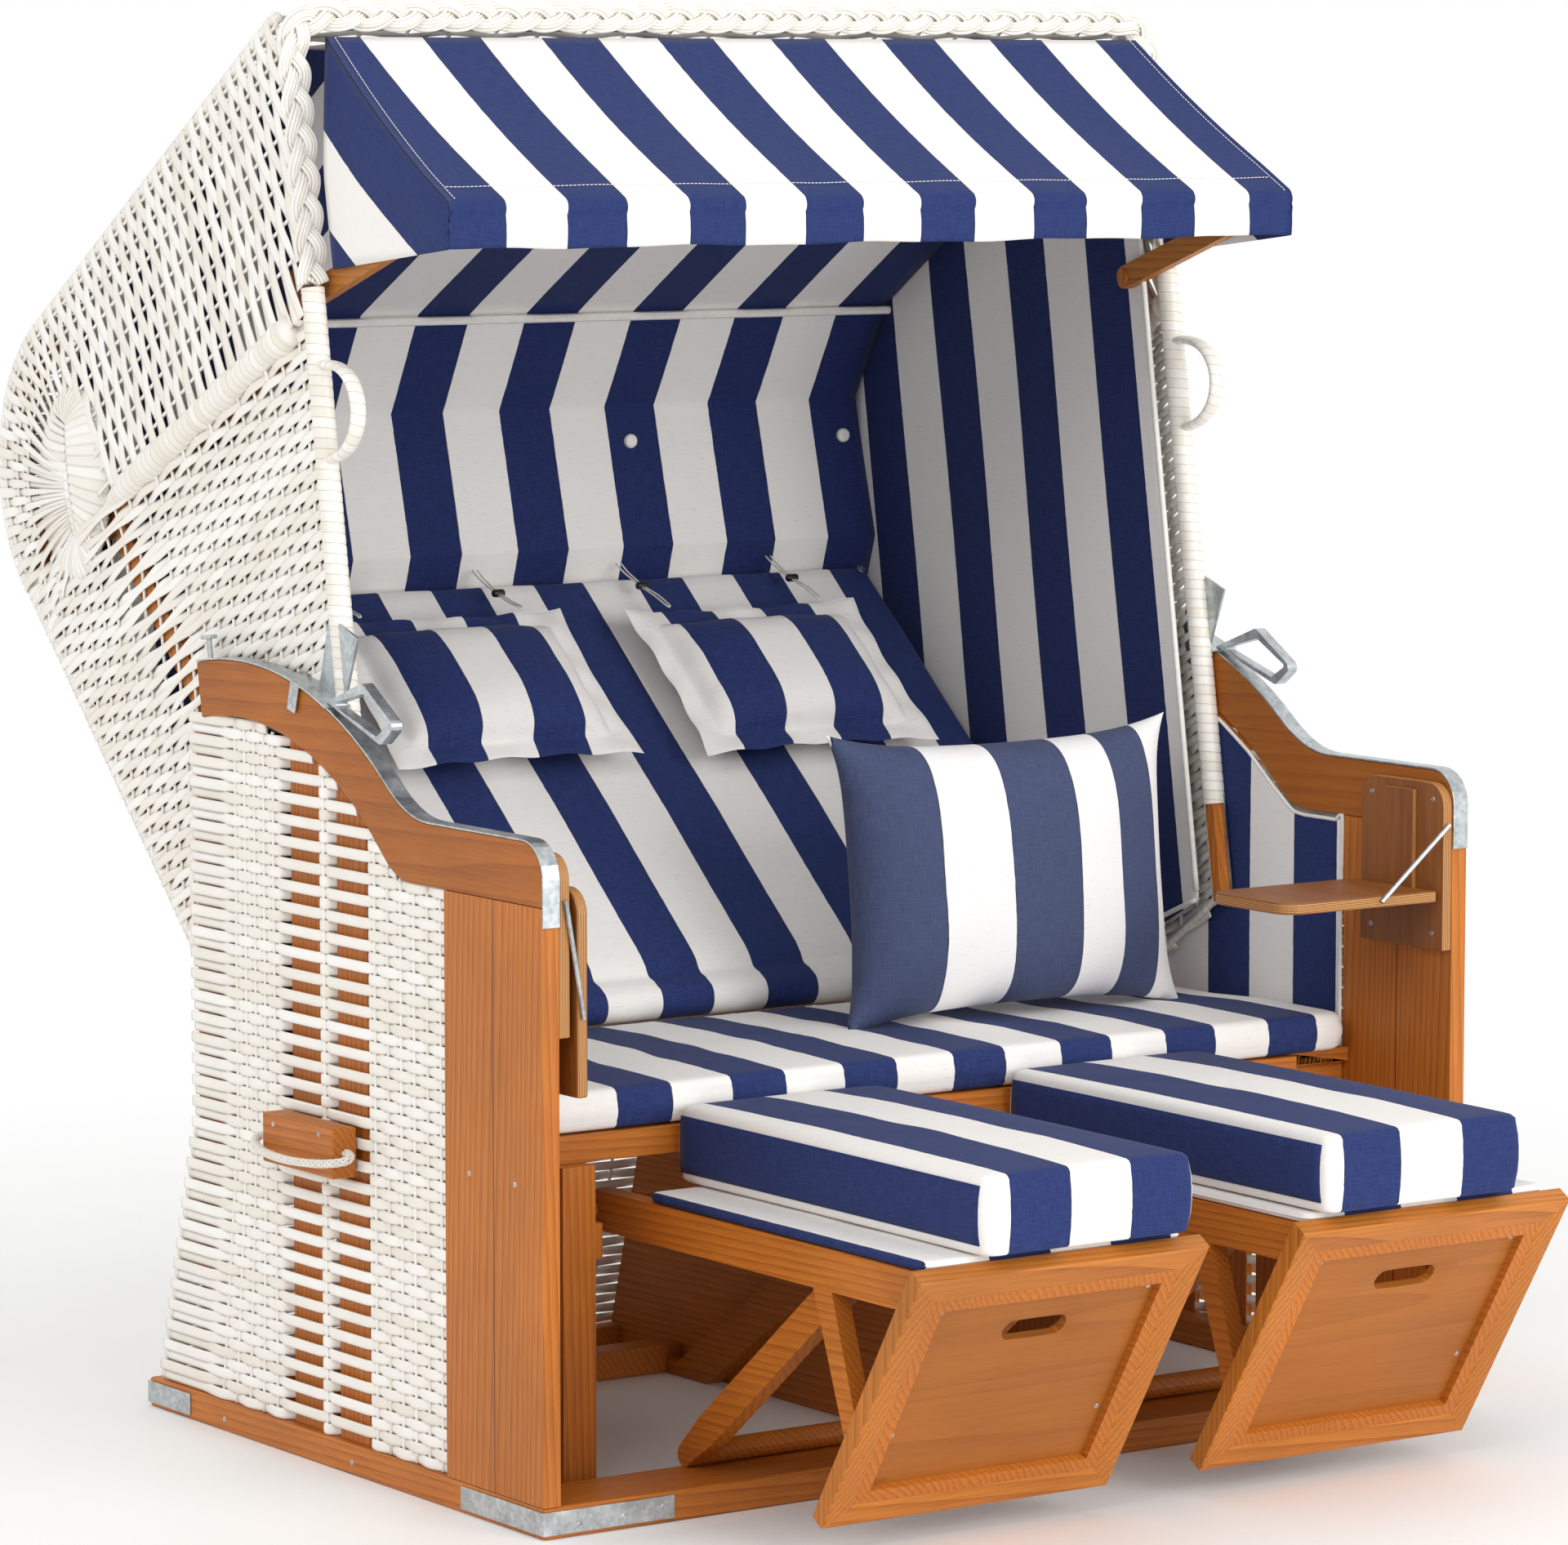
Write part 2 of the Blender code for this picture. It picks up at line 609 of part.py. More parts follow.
def base_nodes():
    """Sills, corner irons, partition, seat deck and the stiles of the footrest bays."""
    front = -BASE_FRONT
    sill_back_y = front + SILL_FRONT_DEPTH
    back_sill_y = BASE_BACK - SILL_BACK_DEPTH
    side_inner = HALF_WIDTH - SILL_SIDE_WIDTH
    slot = PARTITION_THICKNESS / 2 + GAP
    bearer_back_y = BEARER_FRONT_Y + BEARER_DEPTH
    half_well = [(side_inner, sill_back_y), (side_inner, BEARER_FRONT_Y), (slot, BEARER_FRONT_Y),
                 (slot, bearer_back_y), (side_inner, bearer_back_y), (side_inner, back_sill_y)]
    well = half_well + [(-x, y) for x, y in half_well[::-1]]
    rim = [(-HALF_WIDTH, front), (HALF_WIDTH, front), (HALF_WIDTH, BASE_BACK), (-HALF_WIDTH, BASE_BACK)]
    node("base_frame", "pine", [flat_plate([rim, well], SILL_HEIGHT, Matrix.Translation((0, 0, SILL_HEIGHT / 2)))])

    for side, side_word in ((-1, "left"), (1, "right")):
        for end_y, outward, leg_y, end_word in ((front, -1, BRACKET_LEG, "front"),
                                                (BASE_BACK, 1, BRACKET_BACK_LEG, "rear")):
            x_in = side * (HALF_WIDTH + GAP)
            x_out = side * (HALF_WIDTH + GAP + BRACKET_THICKNESS)
            y_in = end_y + outward * GAP
            y_out = y_in + outward * BRACKET_THICKNESS
            end_x = side * (HALF_WIDTH - BRACKET_LEG)
            leg_end = end_y - outward * leg_y
            outline = [(x_out, y_out), (x_out, leg_end), (x_in, leg_end), (x_in, y_in), (end_x, y_in),
                       (end_x, y_out)]
            node("corner_bracket_" + end_word + "_" + side_word, "galvanised",
                 [flat_plate([outline], BRACKET_HEIGHT, Matrix.Translation((0, 0, SILL_HEIGHT / 2)))])

    board_under = SEAT_DECK_Z - SEAT_BOARD_THICKNESS
    wall_front = sill_back_y + GAP
    wall_back = back_sill_y - GAP
    rail_back_y = SEAT_FRONT_Y + SEAT_RAIL_DEPTH
    rail_under = SEAT_DECK_Z - SEAT_RAIL_HEIGHT
    panel_foot = back_panel_y(SILL_HEIGHT) - GAP
    panel_top = back_panel_y(SIDE_BEND_Z - BACK_RAIL_HEIGHT) - GAP
    rail_front_y = SIDE_BACK_Y - BACK_PANEL_THICKNESS - BACK_RAIL_DEPTH
    partition = [(wall_front, 0), (wall_back, 0), (wall_back, SILL_HEIGHT), (panel_foot, SILL_HEIGHT + GAP),
                 (panel_top, SIDE_BEND_Z - BACK_RAIL_HEIGHT - GAP),
                 (rail_front_y - GAP, SIDE_BEND_Z - BACK_RAIL_HEIGHT - GAP), (rail_front_y - GAP, SIDE_BEND_Z),
                 (SEAT_BACK_Y + OVERRUN, board_under - GAP), (rail_back_y, board_under - GAP),
                 (rail_back_y, rail_under - GAP), (SEAT_FRONT_Y, rail_under - GAP),
                 (SEAT_FRONT_Y, SILL_HEIGHT * 2), (wall_front, SILL_HEIGHT * 2)]
    half = PARTITION_THICKNESS / 2
    wall = side_plate([partition], -half, half)
    for side in (-1, 1):
        wall = combine(wall, side_plate([guide_outline()], side * (half - LAP), side * (half + GUIDE_THICKNESS)),
                       "UNION")
    node("centre_partition", "pine", [wall])

    stile_outer = STILE_INNER_X + STILE_WIDTH
    deck_half = SLAT_INNER_X - GAP
    back_y = SEAT_BACK_Y + OVERRUN
    deck = box((-stile_outer, stile_outer), (SEAT_FRONT_Y, rail_back_y), (rail_under, SEAT_DECK_Z - LAP))
    board_half = deck_half - LAP
    deck = combine(deck, box((-board_half, board_half), (rail_back_y - LAP, back_y), (board_under, SEAT_DECK_Z)),
                   "UNION")
    for side in (-1, 1):
        cleat = box((side * (deck_half - CLEAT_WIDTH), side * deck_half), (POST_BACK_Y + GAP, back_y - LAP),
                    (board_under - CLEAT_HEIGHT, board_under + LAP))
        deck = combine(deck, cleat, "UNION")
    node("seat_deck", "pine", [deck])

    for side, word in ((-1, "left"), (1, "right")):
        stile = box((side * STILE_INNER_X, side * stile_outer), (rail_back_y - STILE_DEPTH, rail_back_y),
                    (0, rail_under - GAP))
        guide = side_plate([guide_outline()], side * (STILE_INNER_X - GUIDE_THICKNESS),
                           side * (STILE_INNER_X + LAP))
        node("bay_stile_" + word, "pine", [combine(stile, guide, "UNION")])


def back_panel_y(z):
    """The inner face of the base's sloping back panel at a height."""
    share = (z - SILL_HEIGHT) / (SIDE_BEND_Z - SILL_HEIGHT)
    return SIDE_TAIL_Y + (SIDE_BACK_Y - SIDE_TAIL_Y) * share - BACK_PANEL_THICKNESS


def slide_direction():
    """Unit direction and length of the footrest runner's path, in (y, z)."""
    travel = Vector((RUNNER_IN_Y - RUNNER_Y, RUNNER_IN_Z - RUNNER_Z))
    return travel.normalized(), travel.length


def guide_outline():
    """A sloping board that a footrest's runner slides on, in (y, z)."""
    along, length = slide_direction()
    under = Vector((along.y, -along.x))
    drop = under * (RUNNER_RADIUS + GAP)
    start = Vector((RUNNER_Y, RUNNER_Z)) + drop - along * OVERRUN
    stop = Vector((RUNNER_IN_Y, RUNNER_IN_Z)) + drop + along * RUNNER_RADIUS
    front_y = SEAT_FRONT_Y + LAP
    end_y = BEARER_FRONT_Y - GAP
    low = start + under * GUIDE_DEPTH
    foot = low + along * (low.y - GAP) / -along.y
    return [(front_y, start.y), tuple(start), tuple(stop), (end_y, stop.y), (end_y, GAP), (foot.x, GAP),
            tuple(low), (front_y, low.y)]


def armrest_top(extra=0.0):
    """The armrest's top edge from back to front, moved out by extra."""
    radius = ARM_RADIUS + extra
    path = arc(PIVOT_Y, PIVOT_Z, radius, ARM_BACK_ANGLE, ARM_BREAK_ANGLE, 2 * ARC_STEPS)
    slope = -math.tan(math.radians(ARM_BREAK_ANGLE))
    flat = (ARM_FLAT_BACK_Y, ARM_FLAT_Z + extra)
    path += ease(path[-1], slope, flat)
    path.append(flat)
    nose = Vector((ARM_NOSE_RADIUS - BASE_FRONT, ARM_FLAT_Z - ARM_NOSE_RADIUS))
    turns = np.radians(np.linspace(90, 180, ARC_STEPS + 1))
    radius = ARM_NOSE_RADIUS + extra
    path += [(nose.x + radius * math.cos(t), nose.y + radius * math.sin(t)) for t in turns]
    return path


def armrest_under():
    """The armrest's lower edge from front to back."""
    path = arc(PIVOT_Y, PIVOT_Z, ARM_RADIUS - ARM_BAND, ARM_BACK_ANGLE, ARM_UNDER_BREAK_ANGLE, 2 * ARC_STEPS)
    slope = -math.tan(math.radians(ARM_UNDER_BREAK_ANGLE))
    flat = (ARM_UNDER_BACK_Y, ARM_UNDER_Z)
    path += ease(path[-1], slope, flat) + [flat, (-BASE_FRONT, ARM_UNDER_Z)]
    return path[::-1]


def armrest_nodes():
    """Curved boards on top of the side walls, with a steel strip along their top edge."""
    outline = armrest_top() + armrest_under()
    inner = armrest_top(GAP)
    outer = armrest_top(GAP + STRIP_THICKNESS)
    inner.append((-BASE_FRONT - GAP, STRIP_DROP_Z))
    outer.append((-BASE_FRONT - GAP - STRIP_THICKNESS, STRIP_DROP_Z))
    strip = outer + inner[::-1]
    bolt_turn = math.radians(STOP_BOLT_ANGLE)
    out = Vector((math.sin(bolt_turn), math.cos(bolt_turn)))
    foot = Vector((PIVOT_Y, PIVOT_Z)) + out * (ARM_RADIUS + GAP + LAP)
    top = foot + out * STOP_BOLT_HEIGHT
    head = top + out * STOP_BOLT_HEAD
    middle = (POST_INNER_X + HALF_WIDTH) / 2
    for side, word in ((-1, "left"), (1, "right")):
        node("armrest_" + word, "armrest_board",
             [side_plate([outline], side * POST_INNER_X, side * HALF_WIDTH)])
        x = side * middle
        shank = cylinder((x, *foot), (x, *(top + out * LAP)), STOP_BOLT_RADIUS, sides=ARC_STEPS)
        knob = cylinder((x, *top), (x, *head), STOP_BOLT_HEAD_RADIUS)
        bolt = combine(shank, knob, "UNION")
        iron = side_plate([strip], side * POST_INNER_X, side * HALF_WIDTH)
        node("armrest_strip_" + word, "galvanised", [combine(iron, bolt, "UNION")])


def side_wall_nodes():
    """Wicker panels, the post and uprights behind them with the hood's pivot bolt, and the back panel."""
    top = [p for p in armrest_under() if p[0] > POST_BACK_Y]
    drop = offset_path(top, GAP)
    start_z = ARM_UNDER_Z - GAP
    foot_z = SILL_HEIGHT + GAP
    wicker = [(POST_BACK_Y + GAP, foot_z), (POST_BACK_Y + GAP, start_z)]
    wicker += [p for p in drop if p[0] > POST_BACK_Y + GAP]
    wicker += [(SIDE_BACK_Y, drop[-1][1]), (SIDE_BACK_Y, SIDE_BEND_Z), (SIDE_TAIL_Y, foot_z)]
    ys = [p[0] for p in armrest_under()]
    zs = [p[1] - 4 * GAP for p in armrest_under()]
    over = lambda y: float(np.interp(y, ys, zs))
    half = PIVOT_BOARD_HEIGHT / 2
    post_front = SIDE_BACK_Y - CORNER_POST_WIDTH
    board_front = post_front - PIVOT_BOARD_WIDTH
    rail_high = SEAT_DECK_Z - SEAT_BOARD_THICKNESS
    rail_low = rail_high - SIDE_RAIL_HEIGHT
    members = [(POST_BACK_Y - OVERRUN, SIDE_BACK_Y - OVERRUN, rail_low, rail_high, rail_high),
               (SLAT_FRONT_Y, SLAT_FRONT_Y + SLAT_WIDTH, foot_z, over(SLAT_FRONT_Y), over(SLAT_FRONT_Y + SLAT_WIDTH)),
               (board_front, SIDE_BACK_Y - 2 * OVERRUN, PIVOT_Z - half, PIVOT_Z + half, PIVOT_Z + half),
               (post_front, SIDE_BACK_Y, foot_z, over(post_front), over(SIDE_BACK_Y))]
    second_y = SLAT_FRONT_Y + SLAT_PITCH
    members.append((second_y, second_y + SLAT_WIDTH, foot_z, over(second_y), over(second_y + SLAT_WIDTH)))
    for side, word in ((-1, "left"), (1, "right")):
        node("side_wicker_" + word, "wicker",
             [side_plate([wicker], side * WICKER_INNER_X, side * HALF_WIDTH)])
        frame = box((side * POST_INNER_X, side * HALF_WIDTH), (-BASE_FRONT, POST_BACK_Y),
                    (foot_z, ARM_UNDER_Z - GAP))
        for number, (y0, y1, z0, front_top, back_top) in enumerate(members):
            trim = number * LAP / 4
            outline = [(y0, z0), (y0, front_top), (y1, back_top), (y1, z0)]
            member = side_plate([outline], side * (SLAT_INNER_X + trim), side * (SLAT_OUTER_X - trim))
            frame = combine(frame, member, "UNION")
        head = HOOD_HALF_WIDTH
        bolt = cylinder((side * (head - LAP), PIVOT_Y, PIVOT_Z), (side * (SLAT_INNER_X + LAP), PIVOT_Y, PIVOT_Z),
                        PIN_RADIUS)
        cap = cylinder((side * (head - PIN_HEAD), PIVOT_Y, PIVOT_Z), (side * head, PIVOT_Y, PIVOT_Z),
                       PIN_HEAD_RADIUS)
        node("side_frame_" + word, "pine", [combine(frame, combine(bolt, cap, "UNION"), "UNION")])

    lip_front = SIDE_BACK_Y - BACK_PANEL_THICKNESS - BACK_RAIL_DEPTH
    lip_low = SIDE_BEND_Z - BACK_RAIL_HEIGHT
    panel = [(SIDE_TAIL_Y, foot_z), (SIDE_BACK_Y, SIDE_BEND_Z), (lip_front, SIDE_BEND_Z), (lip_front, lip_low),
             (back_panel_y(lip_low), lip_low), (back_panel_y(foot_z), foot_z)]
    rail_half = SLAT_INNER_X - GAP
    node("base_back_panel", "wicker", [side_plate([panel], -rail_half, rail_half)])


def front_line():
    """Unit direction up the hood's front edge and its backward normal, in (y, z)."""
    along = Vector((HOOD_TOP_Y - HOOD_FOOT_Y, HOOD_TOP_Z - HOOD_FOOT_Z)).normalized()
    return along, Vector((along.y, -along.x))


def hood_path(inset=0.0):
    """The hood's outline from the top front over the roof and round the back to its tail."""
    roof = Vector((math.cos(math.radians(ROOF_SLOPE)), -math.sin(math.radians(ROOF_SLOPE))))
    back = Vector((-math.cos(math.radians(BACK_SLOPE)), -math.sin(math.radians(BACK_SLOPE))))
    start = Vector((HOOD_TOP_Y, HOOD_TOP_Z + ROOF_RISE)) + roof * (BRAID_RADIUS + HOOD_WALL)
    tail = Vector((HOOD_TAIL_Y, HOOD_TAIL_Z))
    cross = roof.x * -back.y - roof.y * -back.x
    gap = tail - start
    reach = (gap.x * -back.y - gap.y * -back.x) / cross
    corner = start + roof * reach
    ring = rounded([tuple(start), tuple(corner), tuple(tail)], [0, NOSE_RADIUS, 0], 2 * ARC_STEPS)
    return offset_path(ring, inset) if inset else ring


def hood_side_outline():
    """One wicker side of the hood, cut back round the front tube and the braid."""
    along, behind = front_line()
    foot = Vector((HOOD_FOOT_Y, HOOD_FOOT_Z))
    low = foot + behind * (TUBE_RADIUS + GAP)
    step = foot + along * ((BRAID_FOOT_Z - HOOD_FOOT_Z) / along.y - GAP)
    tube_edge = step + behind * (TUBE_RADIUS + GAP)
    braid_edge = step + behind * (BRAID_RADIUS + GAP)
    top = Vector((HOOD_TOP_Y, HOOD_TOP_Z)) + behind * (BRAID_RADIUS + GAP)
    path = hood_path()
    return [tuple(low), tuple(tube_edge), tuple(braid_edge), tuple(top)] + path


def rib_outline(start, end, width):
    """The outline of a straight wooden bar on one side of the hood, in (y, z)."""
    along = (Vector(end) - Vector(start)).normalized()
    across = Vector((along.y, -along.x)) * width / 2
    corners = [Vector(start) + across, Vector(end) + across, Vector(end) - across, Vector(start) - across]
    return [tuple(c) for c in corners]


def rest_frame():
    """Start, unit direction and upward normal of the back rest's front face, in (y, z)."""
    low = Vector((REST_LOW_Y, REST_LOW_Z))
    top = Vector((REST_TOP_Y, REST_TOP_Z))
    along = (top - low).normalized()
    return low, along, Vector((-along.y, along.x)), (top - low).length


def hood_nodes():
    """Wicker sides and back, wooden ribs, cloth liner, front tube and braid."""
    for side, word in ((-1, "left"), (1, "right")):
        node("hood_side_" + word, "wicker", [side_plate([hood_side_outline()], side * (HOOD_HALF_WIDTH - HOOD_WALL),
                                                        side * HOOD_HALF_WIDTH)])
    shell = hood_path() + hood_path(HOOD_WALL)[::-1]
    half = HOOD_HALF_WIDTH - HOOD_WALL - GAP
    node("hood_shell", "wicker", [side_plate([shell], -half, half)])

    along, behind = front_line()
    foot = Vector((HOOD_FOOT_Y, HOOD_FOOT_Z))
    braid_start = foot + along * (BRAID_FOOT_Z - HOOD_FOOT_Z) / along.y
    top = Vector((HOOD_TOP_Y, HOOD_TOP_Z))
    turns = np.linspace(0, math.pi / 2, ARC_STEPS + 1)
    inner_x = BRAID_X - TUBE_BEND_RADIUS
    bend = top - along * TUBE_BEND_RADIUS
    rise = [(inner_x + TUBE_BEND_RADIUS * math.cos(t), bend + along * TUBE_BEND_RADIUS * math.sin(t)) for t in turns]
    path = [(BRAID_X, *braid_start)] + [(x, *p) for x, p in rise]
    path += [(-x, *p) for x, p in rise[::-1]] + [(-BRAID_X, *braid_start)]
    bar = tube(path, BRAID_RADIUS)
    loop_centre = foot + along * (LOOP_Z - HOOD_FOOT_Z) / along.y
    for side in (-1, 1):
        end = braid_start + along * OVERRUN
        leg = tube([(side * TUBE_X, *foot), (side * TUBE_X, *end)], TUBE_RADIUS)
        bar = combine(bar, leg, "UNION")
        points = []
        for t in np.linspace(0, math.pi, 2 * ARC_STEPS + 1):
            out = LOOP_REACH * math.sin(t) ** 0.8
            place = loop_centre - behind * out + along * LOOP_HALF_HEIGHT * math.cos(t)
            points.append((side * TUBE_X, *place))
        bar = combine(bar, tube(points, LOOP_RADIUS, resolution=2), "UNION")
    node("hood_front_bar", "wicker", [bar], smooth=True)

    inset = HOOD_WALL + GAP
    band = offset_path(hood_path(), inset)[1:]
    band_inner = offset_path(hood_path(), inset + RIB_WIDTH)[1:]
    frame = None
    low, up, out, length = rest_frame()
    block = AWNING_BLOCK / 2
    pad = [(AWNING_PIVOT_Y - block / 2, AWNING_PIVOT_Z - 2 * block), (AWNING_PIVOT_Y + block, AWNING_PIVOT_Z - 2 * block),
           (AWNING_PIVOT_Y + block, AWNING_PIVOT_Z + block), (AWNING_PIVOT_Y - block / 2, AWNING_PIVOT_Z + block)]
    ridge = rib_outline((RIDGE_FRONT_Y, RIDGE_FRONT_Z), (RIDGE_BACK_Y, RIDGE_BACK_Z), RIB_WIDTH)
    ridge_end = rib_outline((RIDGE_BACK_Y - RIB_WIDTH / 2, RIDGE_BACK_Z), (RIDGE_END_Y, RIDGE_END_Z), RIB_WIDTH)
    knee = rib_outline((KNEE_TOP_Y, KNEE_TOP_Z), (KNEE_LOW_Y, KNEE_LOW_Z), RIB_WIDTH)
    foot_rail = rib_outline((KNEE_LOW_Y, KNEE_LOW_Z), (HOOD_TAIL_Y, HOOD_TAIL_Z + RIB_WIDTH * 2), RIB_WIDTH)
    arm_face = LINING_X - 2 * GAP - AWNING_ARM_THICKNESS - GAP
    pin_place = (AWNING_PIVOT_Y, AWNING_PIVOT_Z)
    for side in (-1, 1):
        for number, outline in enumerate((band + band_inner[::-1], ridge, ridge_end, knee, foot_rail, pad)):
            trim = number * LAP / 4
            member = side_plate([outline], side * (RIB_INNER_X + trim), side * (RIB_OUTER_X - trim))
            frame = combine(frame, member, "UNION") if frame else member
        shank = cylinder((side * (RIB_INNER_X + 2 * LAP), *pin_place), (side * (arm_face - LAP), *pin_place), PIN_RADIUS)
        cap = cylinder((side * arm_face, *pin_place), (side * (arm_face - PIN_HEAD), *pin_place), PIN_HEAD_RADIUS)
        frame = combine(frame, combine(shank, cap, "UNION"), "UNION")
        if side < 0:
            bar_half = RIB_OUTER_X - LAP
            for share in (BAR_LOW_SHARE, BAR_HIGH_SHARE):
                centre = low + up * length * share - out * (REST_THICKNESS + 2 * GAP + BAR_THICKNESS / 2)
                cross = box((-bar_half, bar_half), (-BAR_WIDTH / 2, BAR_WIDTH / 2),
                            (-BAR_THICKNESS / 2, BAR_THICKNESS / 2))
                put(cross, (0, *centre), math.degrees(math.atan2(up.y, up.x)))
                frame = combine(frame, cross, "UNION")
    node("hood_frame", "pine", [frame])

    liner_front = Vector((HOOD_TOP_Y, HOOD_TOP_Z)) + behind * (BRAID_RADIUS + 2 * GAP) - along * LINER_TOP_DROP
    rest_back = out * -(REST_THICKNESS + GAP)
    low_corner = low + rest_back + up * OVERRUN
    outer = [tuple(foot + behind * (BRAID_RADIUS + 2 * GAP)), tuple(liner_front), (BATTEN_Y, BATTEN_Z),
             (LINER_NOSE_Y, LINER_NOSE_Z), (LINER_LOW_Y, LINER_LOW_Z), tuple(low_corner)]
    deep = LINER_THICKNESS
    inner_ring = [tuple(foot - along * OVERRUN), tuple(liner_front - behind * OVERRUN - Vector((0, deep))),
                  tuple(liner_front - Vector((0, deep + 2 * GAP))), (BATTEN_Y - deep / 2, BATTEN_Z - deep),
                  (LINER_NOSE_Y - deep, LINER_NOSE_Z), (LINER_LOW_Y - deep, LINER_LOW_Z + deep),
                  (LINER_LOW_Y - deep, LINER_LOW_Z - OVERRUN), tuple(low_corner - out * OVERRUN * 2),
                  tuple(foot - along * OVERRUN * 4)]
    outside = side_plate([outer], -(LINING_X + LINER_THICKNESS), LINING_X + LINER_THICKNESS)
    inside = side_plate([inner_ring], -LINING_X, LINING_X)
    liner = combine(outside, inside, "DIFFERENCE")
    drill = cylinder((-HALF_WIDTH, *pin_place), (HALF_WIDTH, *pin_place), PIN_RADIUS + PIN_PLAY)
    node("hood_liner", "canvas_navy", [combine(liner, drill, "DIFFERENCE")])

    batten = cylinder((-LINING_X + GAP, BATTEN_Y - BATTEN_RADIUS - deep, BATTEN_Z - BATTEN_RADIUS - deep),
                      (LINING_X - GAP, BATTEN_Y - BATTEN_RADIUS - deep, BATTEN_Z - BATTEN_RADIUS - deep),
                      BATTEN_RADIUS, sides=ARC_STEPS)
    node("liner_batten", "white_plastic", [batten])


def hinge_plate_nodes():
    """Steel straps from the hood's sides down to its pivot."""
    along = Vector((-math.sin(math.radians(BACK_SLOPE / 2)), math.cos(math.radians(BACK_SLOPE / 2))))
    half = PIVOT_PLATE_WIDTH / 2
    across = Vector((along.y, -along.x)) * half
    top = Vector((PIVOT_Y, PIVOT_Z)) + along * PIVOT_PLATE_LENGTH
    low = Vector((PIVOT_Y, PIVOT_Z)) - along * half
    corners = [low - across, low + across, top + across, top - across]
    outline = rounded([tuple(c) for c in corners], [half * 0.9, half * 0.9, half / 2, half / 2])
    hole = arc(PIVOT_Y, PIVOT_Z, PIN_RADIUS + PIN_PLAY, 0, 360, ROUND_SIDES)[:-1]
    x_in = HOOD_HALF_WIDTH + GAP
    for side, word in ((-1, "left"), (1, "right")):
        node("hinge_plate_" + word, "galvanised",
             [side_plate([outline, hole], side * x_in, side * (x_in + PIVOT_PLATE_THICKNESS))],
             origin=(side * x_in, PIVOT_Y, PIVOT_Z))


def cushion_shape(crown, draw):
    """A crown on top and sides that pull in between the corners."""
    def move(u, v, w, place):
        bulge = (1 - u * u) * (1 - v * v)
        inward_x = 1 - draw * (1 - v * v) * abs(u)
        inward_y = 1 - draw * (1 - u * u) * abs(v)
        rise = crown * bulge if w > 0 else 0.0
        return Vector((place.x * inward_x, place.y * inward_y, place.z + rise))
    return move


def seat_cushion_node():
    """The long seat cushion; it narrows where the hood's sides pass."""
    depth = SEAT_BACK_Y - SEAT_FRONT_Y
    half = (SEAT_FRONT_HALF_WIDTH, depth / 2, SEAT_CUSHION_THICKNESS / 2)
    narrow = SEAT_BACK_HALF_WIDTH / SEAT_FRONT_HALF_WIDTH
    base_move = cushion_shape(SEAT_CROWN, 0.004)

    def move(u, v, w, place):
        share = min(max((v + 0.35) / 0.5, 0.0), 1.0)
        place = base_move(u, v, w, place)
        place.x *= 1 + (narrow - 1) * share * share * (3 - 2 * share)
        return place

    cushion = soft_block(half, SEAT_CUSHION_EDGE, move, 8)
    centre = (0, (SEAT_BACK_Y + SEAT_FRONT_Y) / 2, SEAT_CUSHION_Z + SEAT_CUSHION_THICKNESS / 2)
    node("seat_cushion", "canvas_navy", [put(cushion, centre)], smooth=True)


def backrest_node():
    """The sloping back cushion and the roll along its lower edge."""
    low, up, out, length = rest_frame()
    start = ROLL_RADIUS * 0.4
    half = (REST_HALF_WIDTH - LAP, (length - start) / 2, REST_THICKNESS / 2)
    slab = soft_block(half, REST_EDGE, cushion_shape(0.0, 0.003), 5)
    middle = low + up * (start + (length - start) / 2) - out * REST_THICKNESS / 2
    put(slab, (0, *middle), math.degrees(math.atan2(up.y, up.x)))
    roll_centre = low - out * ROLL_RADIUS
    roll = cylinder((-REST_HALF_WIDTH, *roll_centre), (REST_HALF_WIDTH, *roll_centre), ROLL_RADIUS)
    node("backrest", "canvas_navy", [combine(slab, roll, "UNION")], smooth=True)


def head_pillow_nodes():
    """Two head pillows with a flat flange all round, lying on the back rest."""
    low, up, out, length = rest_frame()
    half = (PILLOW_WIDTH / 2, PILLOW_HEIGHT / 2, PILLOW_THICKNESS / 2)
    flat = PILLOW_FLANGE_THICKNESS / PILLOW_THICKNESS

    def move(u, v, w, place):
        flange_u = 1 - PILLOW_FLANGE / half[0]
        flange_v = 1 - PILLOW_FLANGE / half[1]
        a = max(0.0, 1 - (abs(u) / flange_u) ** 3)
        b = max(0.0, 1 - (abs(v) / flange_v) ** 3)
        full = flat + (1 - flat) * math.sqrt(a * b)
        base = -half[2] + (place.z + half[2]) * full
        return Vector((place.x * (1 - 0.03 * (1 - v * v)), place.y * (1 - 0.04 * (1 - u * u)), base))

    for x, word in ((PILLOW_LEFT_X, "left"), (PILLOW_RIGHT_X, "right")):
        pillow = soft_block(half, PILLOW_FLANGE_THICKNESS / 4, move, 8)
        middle = low + up * PILLOW_UP + out * (half[2] + GAP)
        put(pillow, (x, *middle), math.degrees(math.atan2(up.y, up.x)))
        node("head_pillow_" + word, "canvas_white", [pillow], smooth=True)


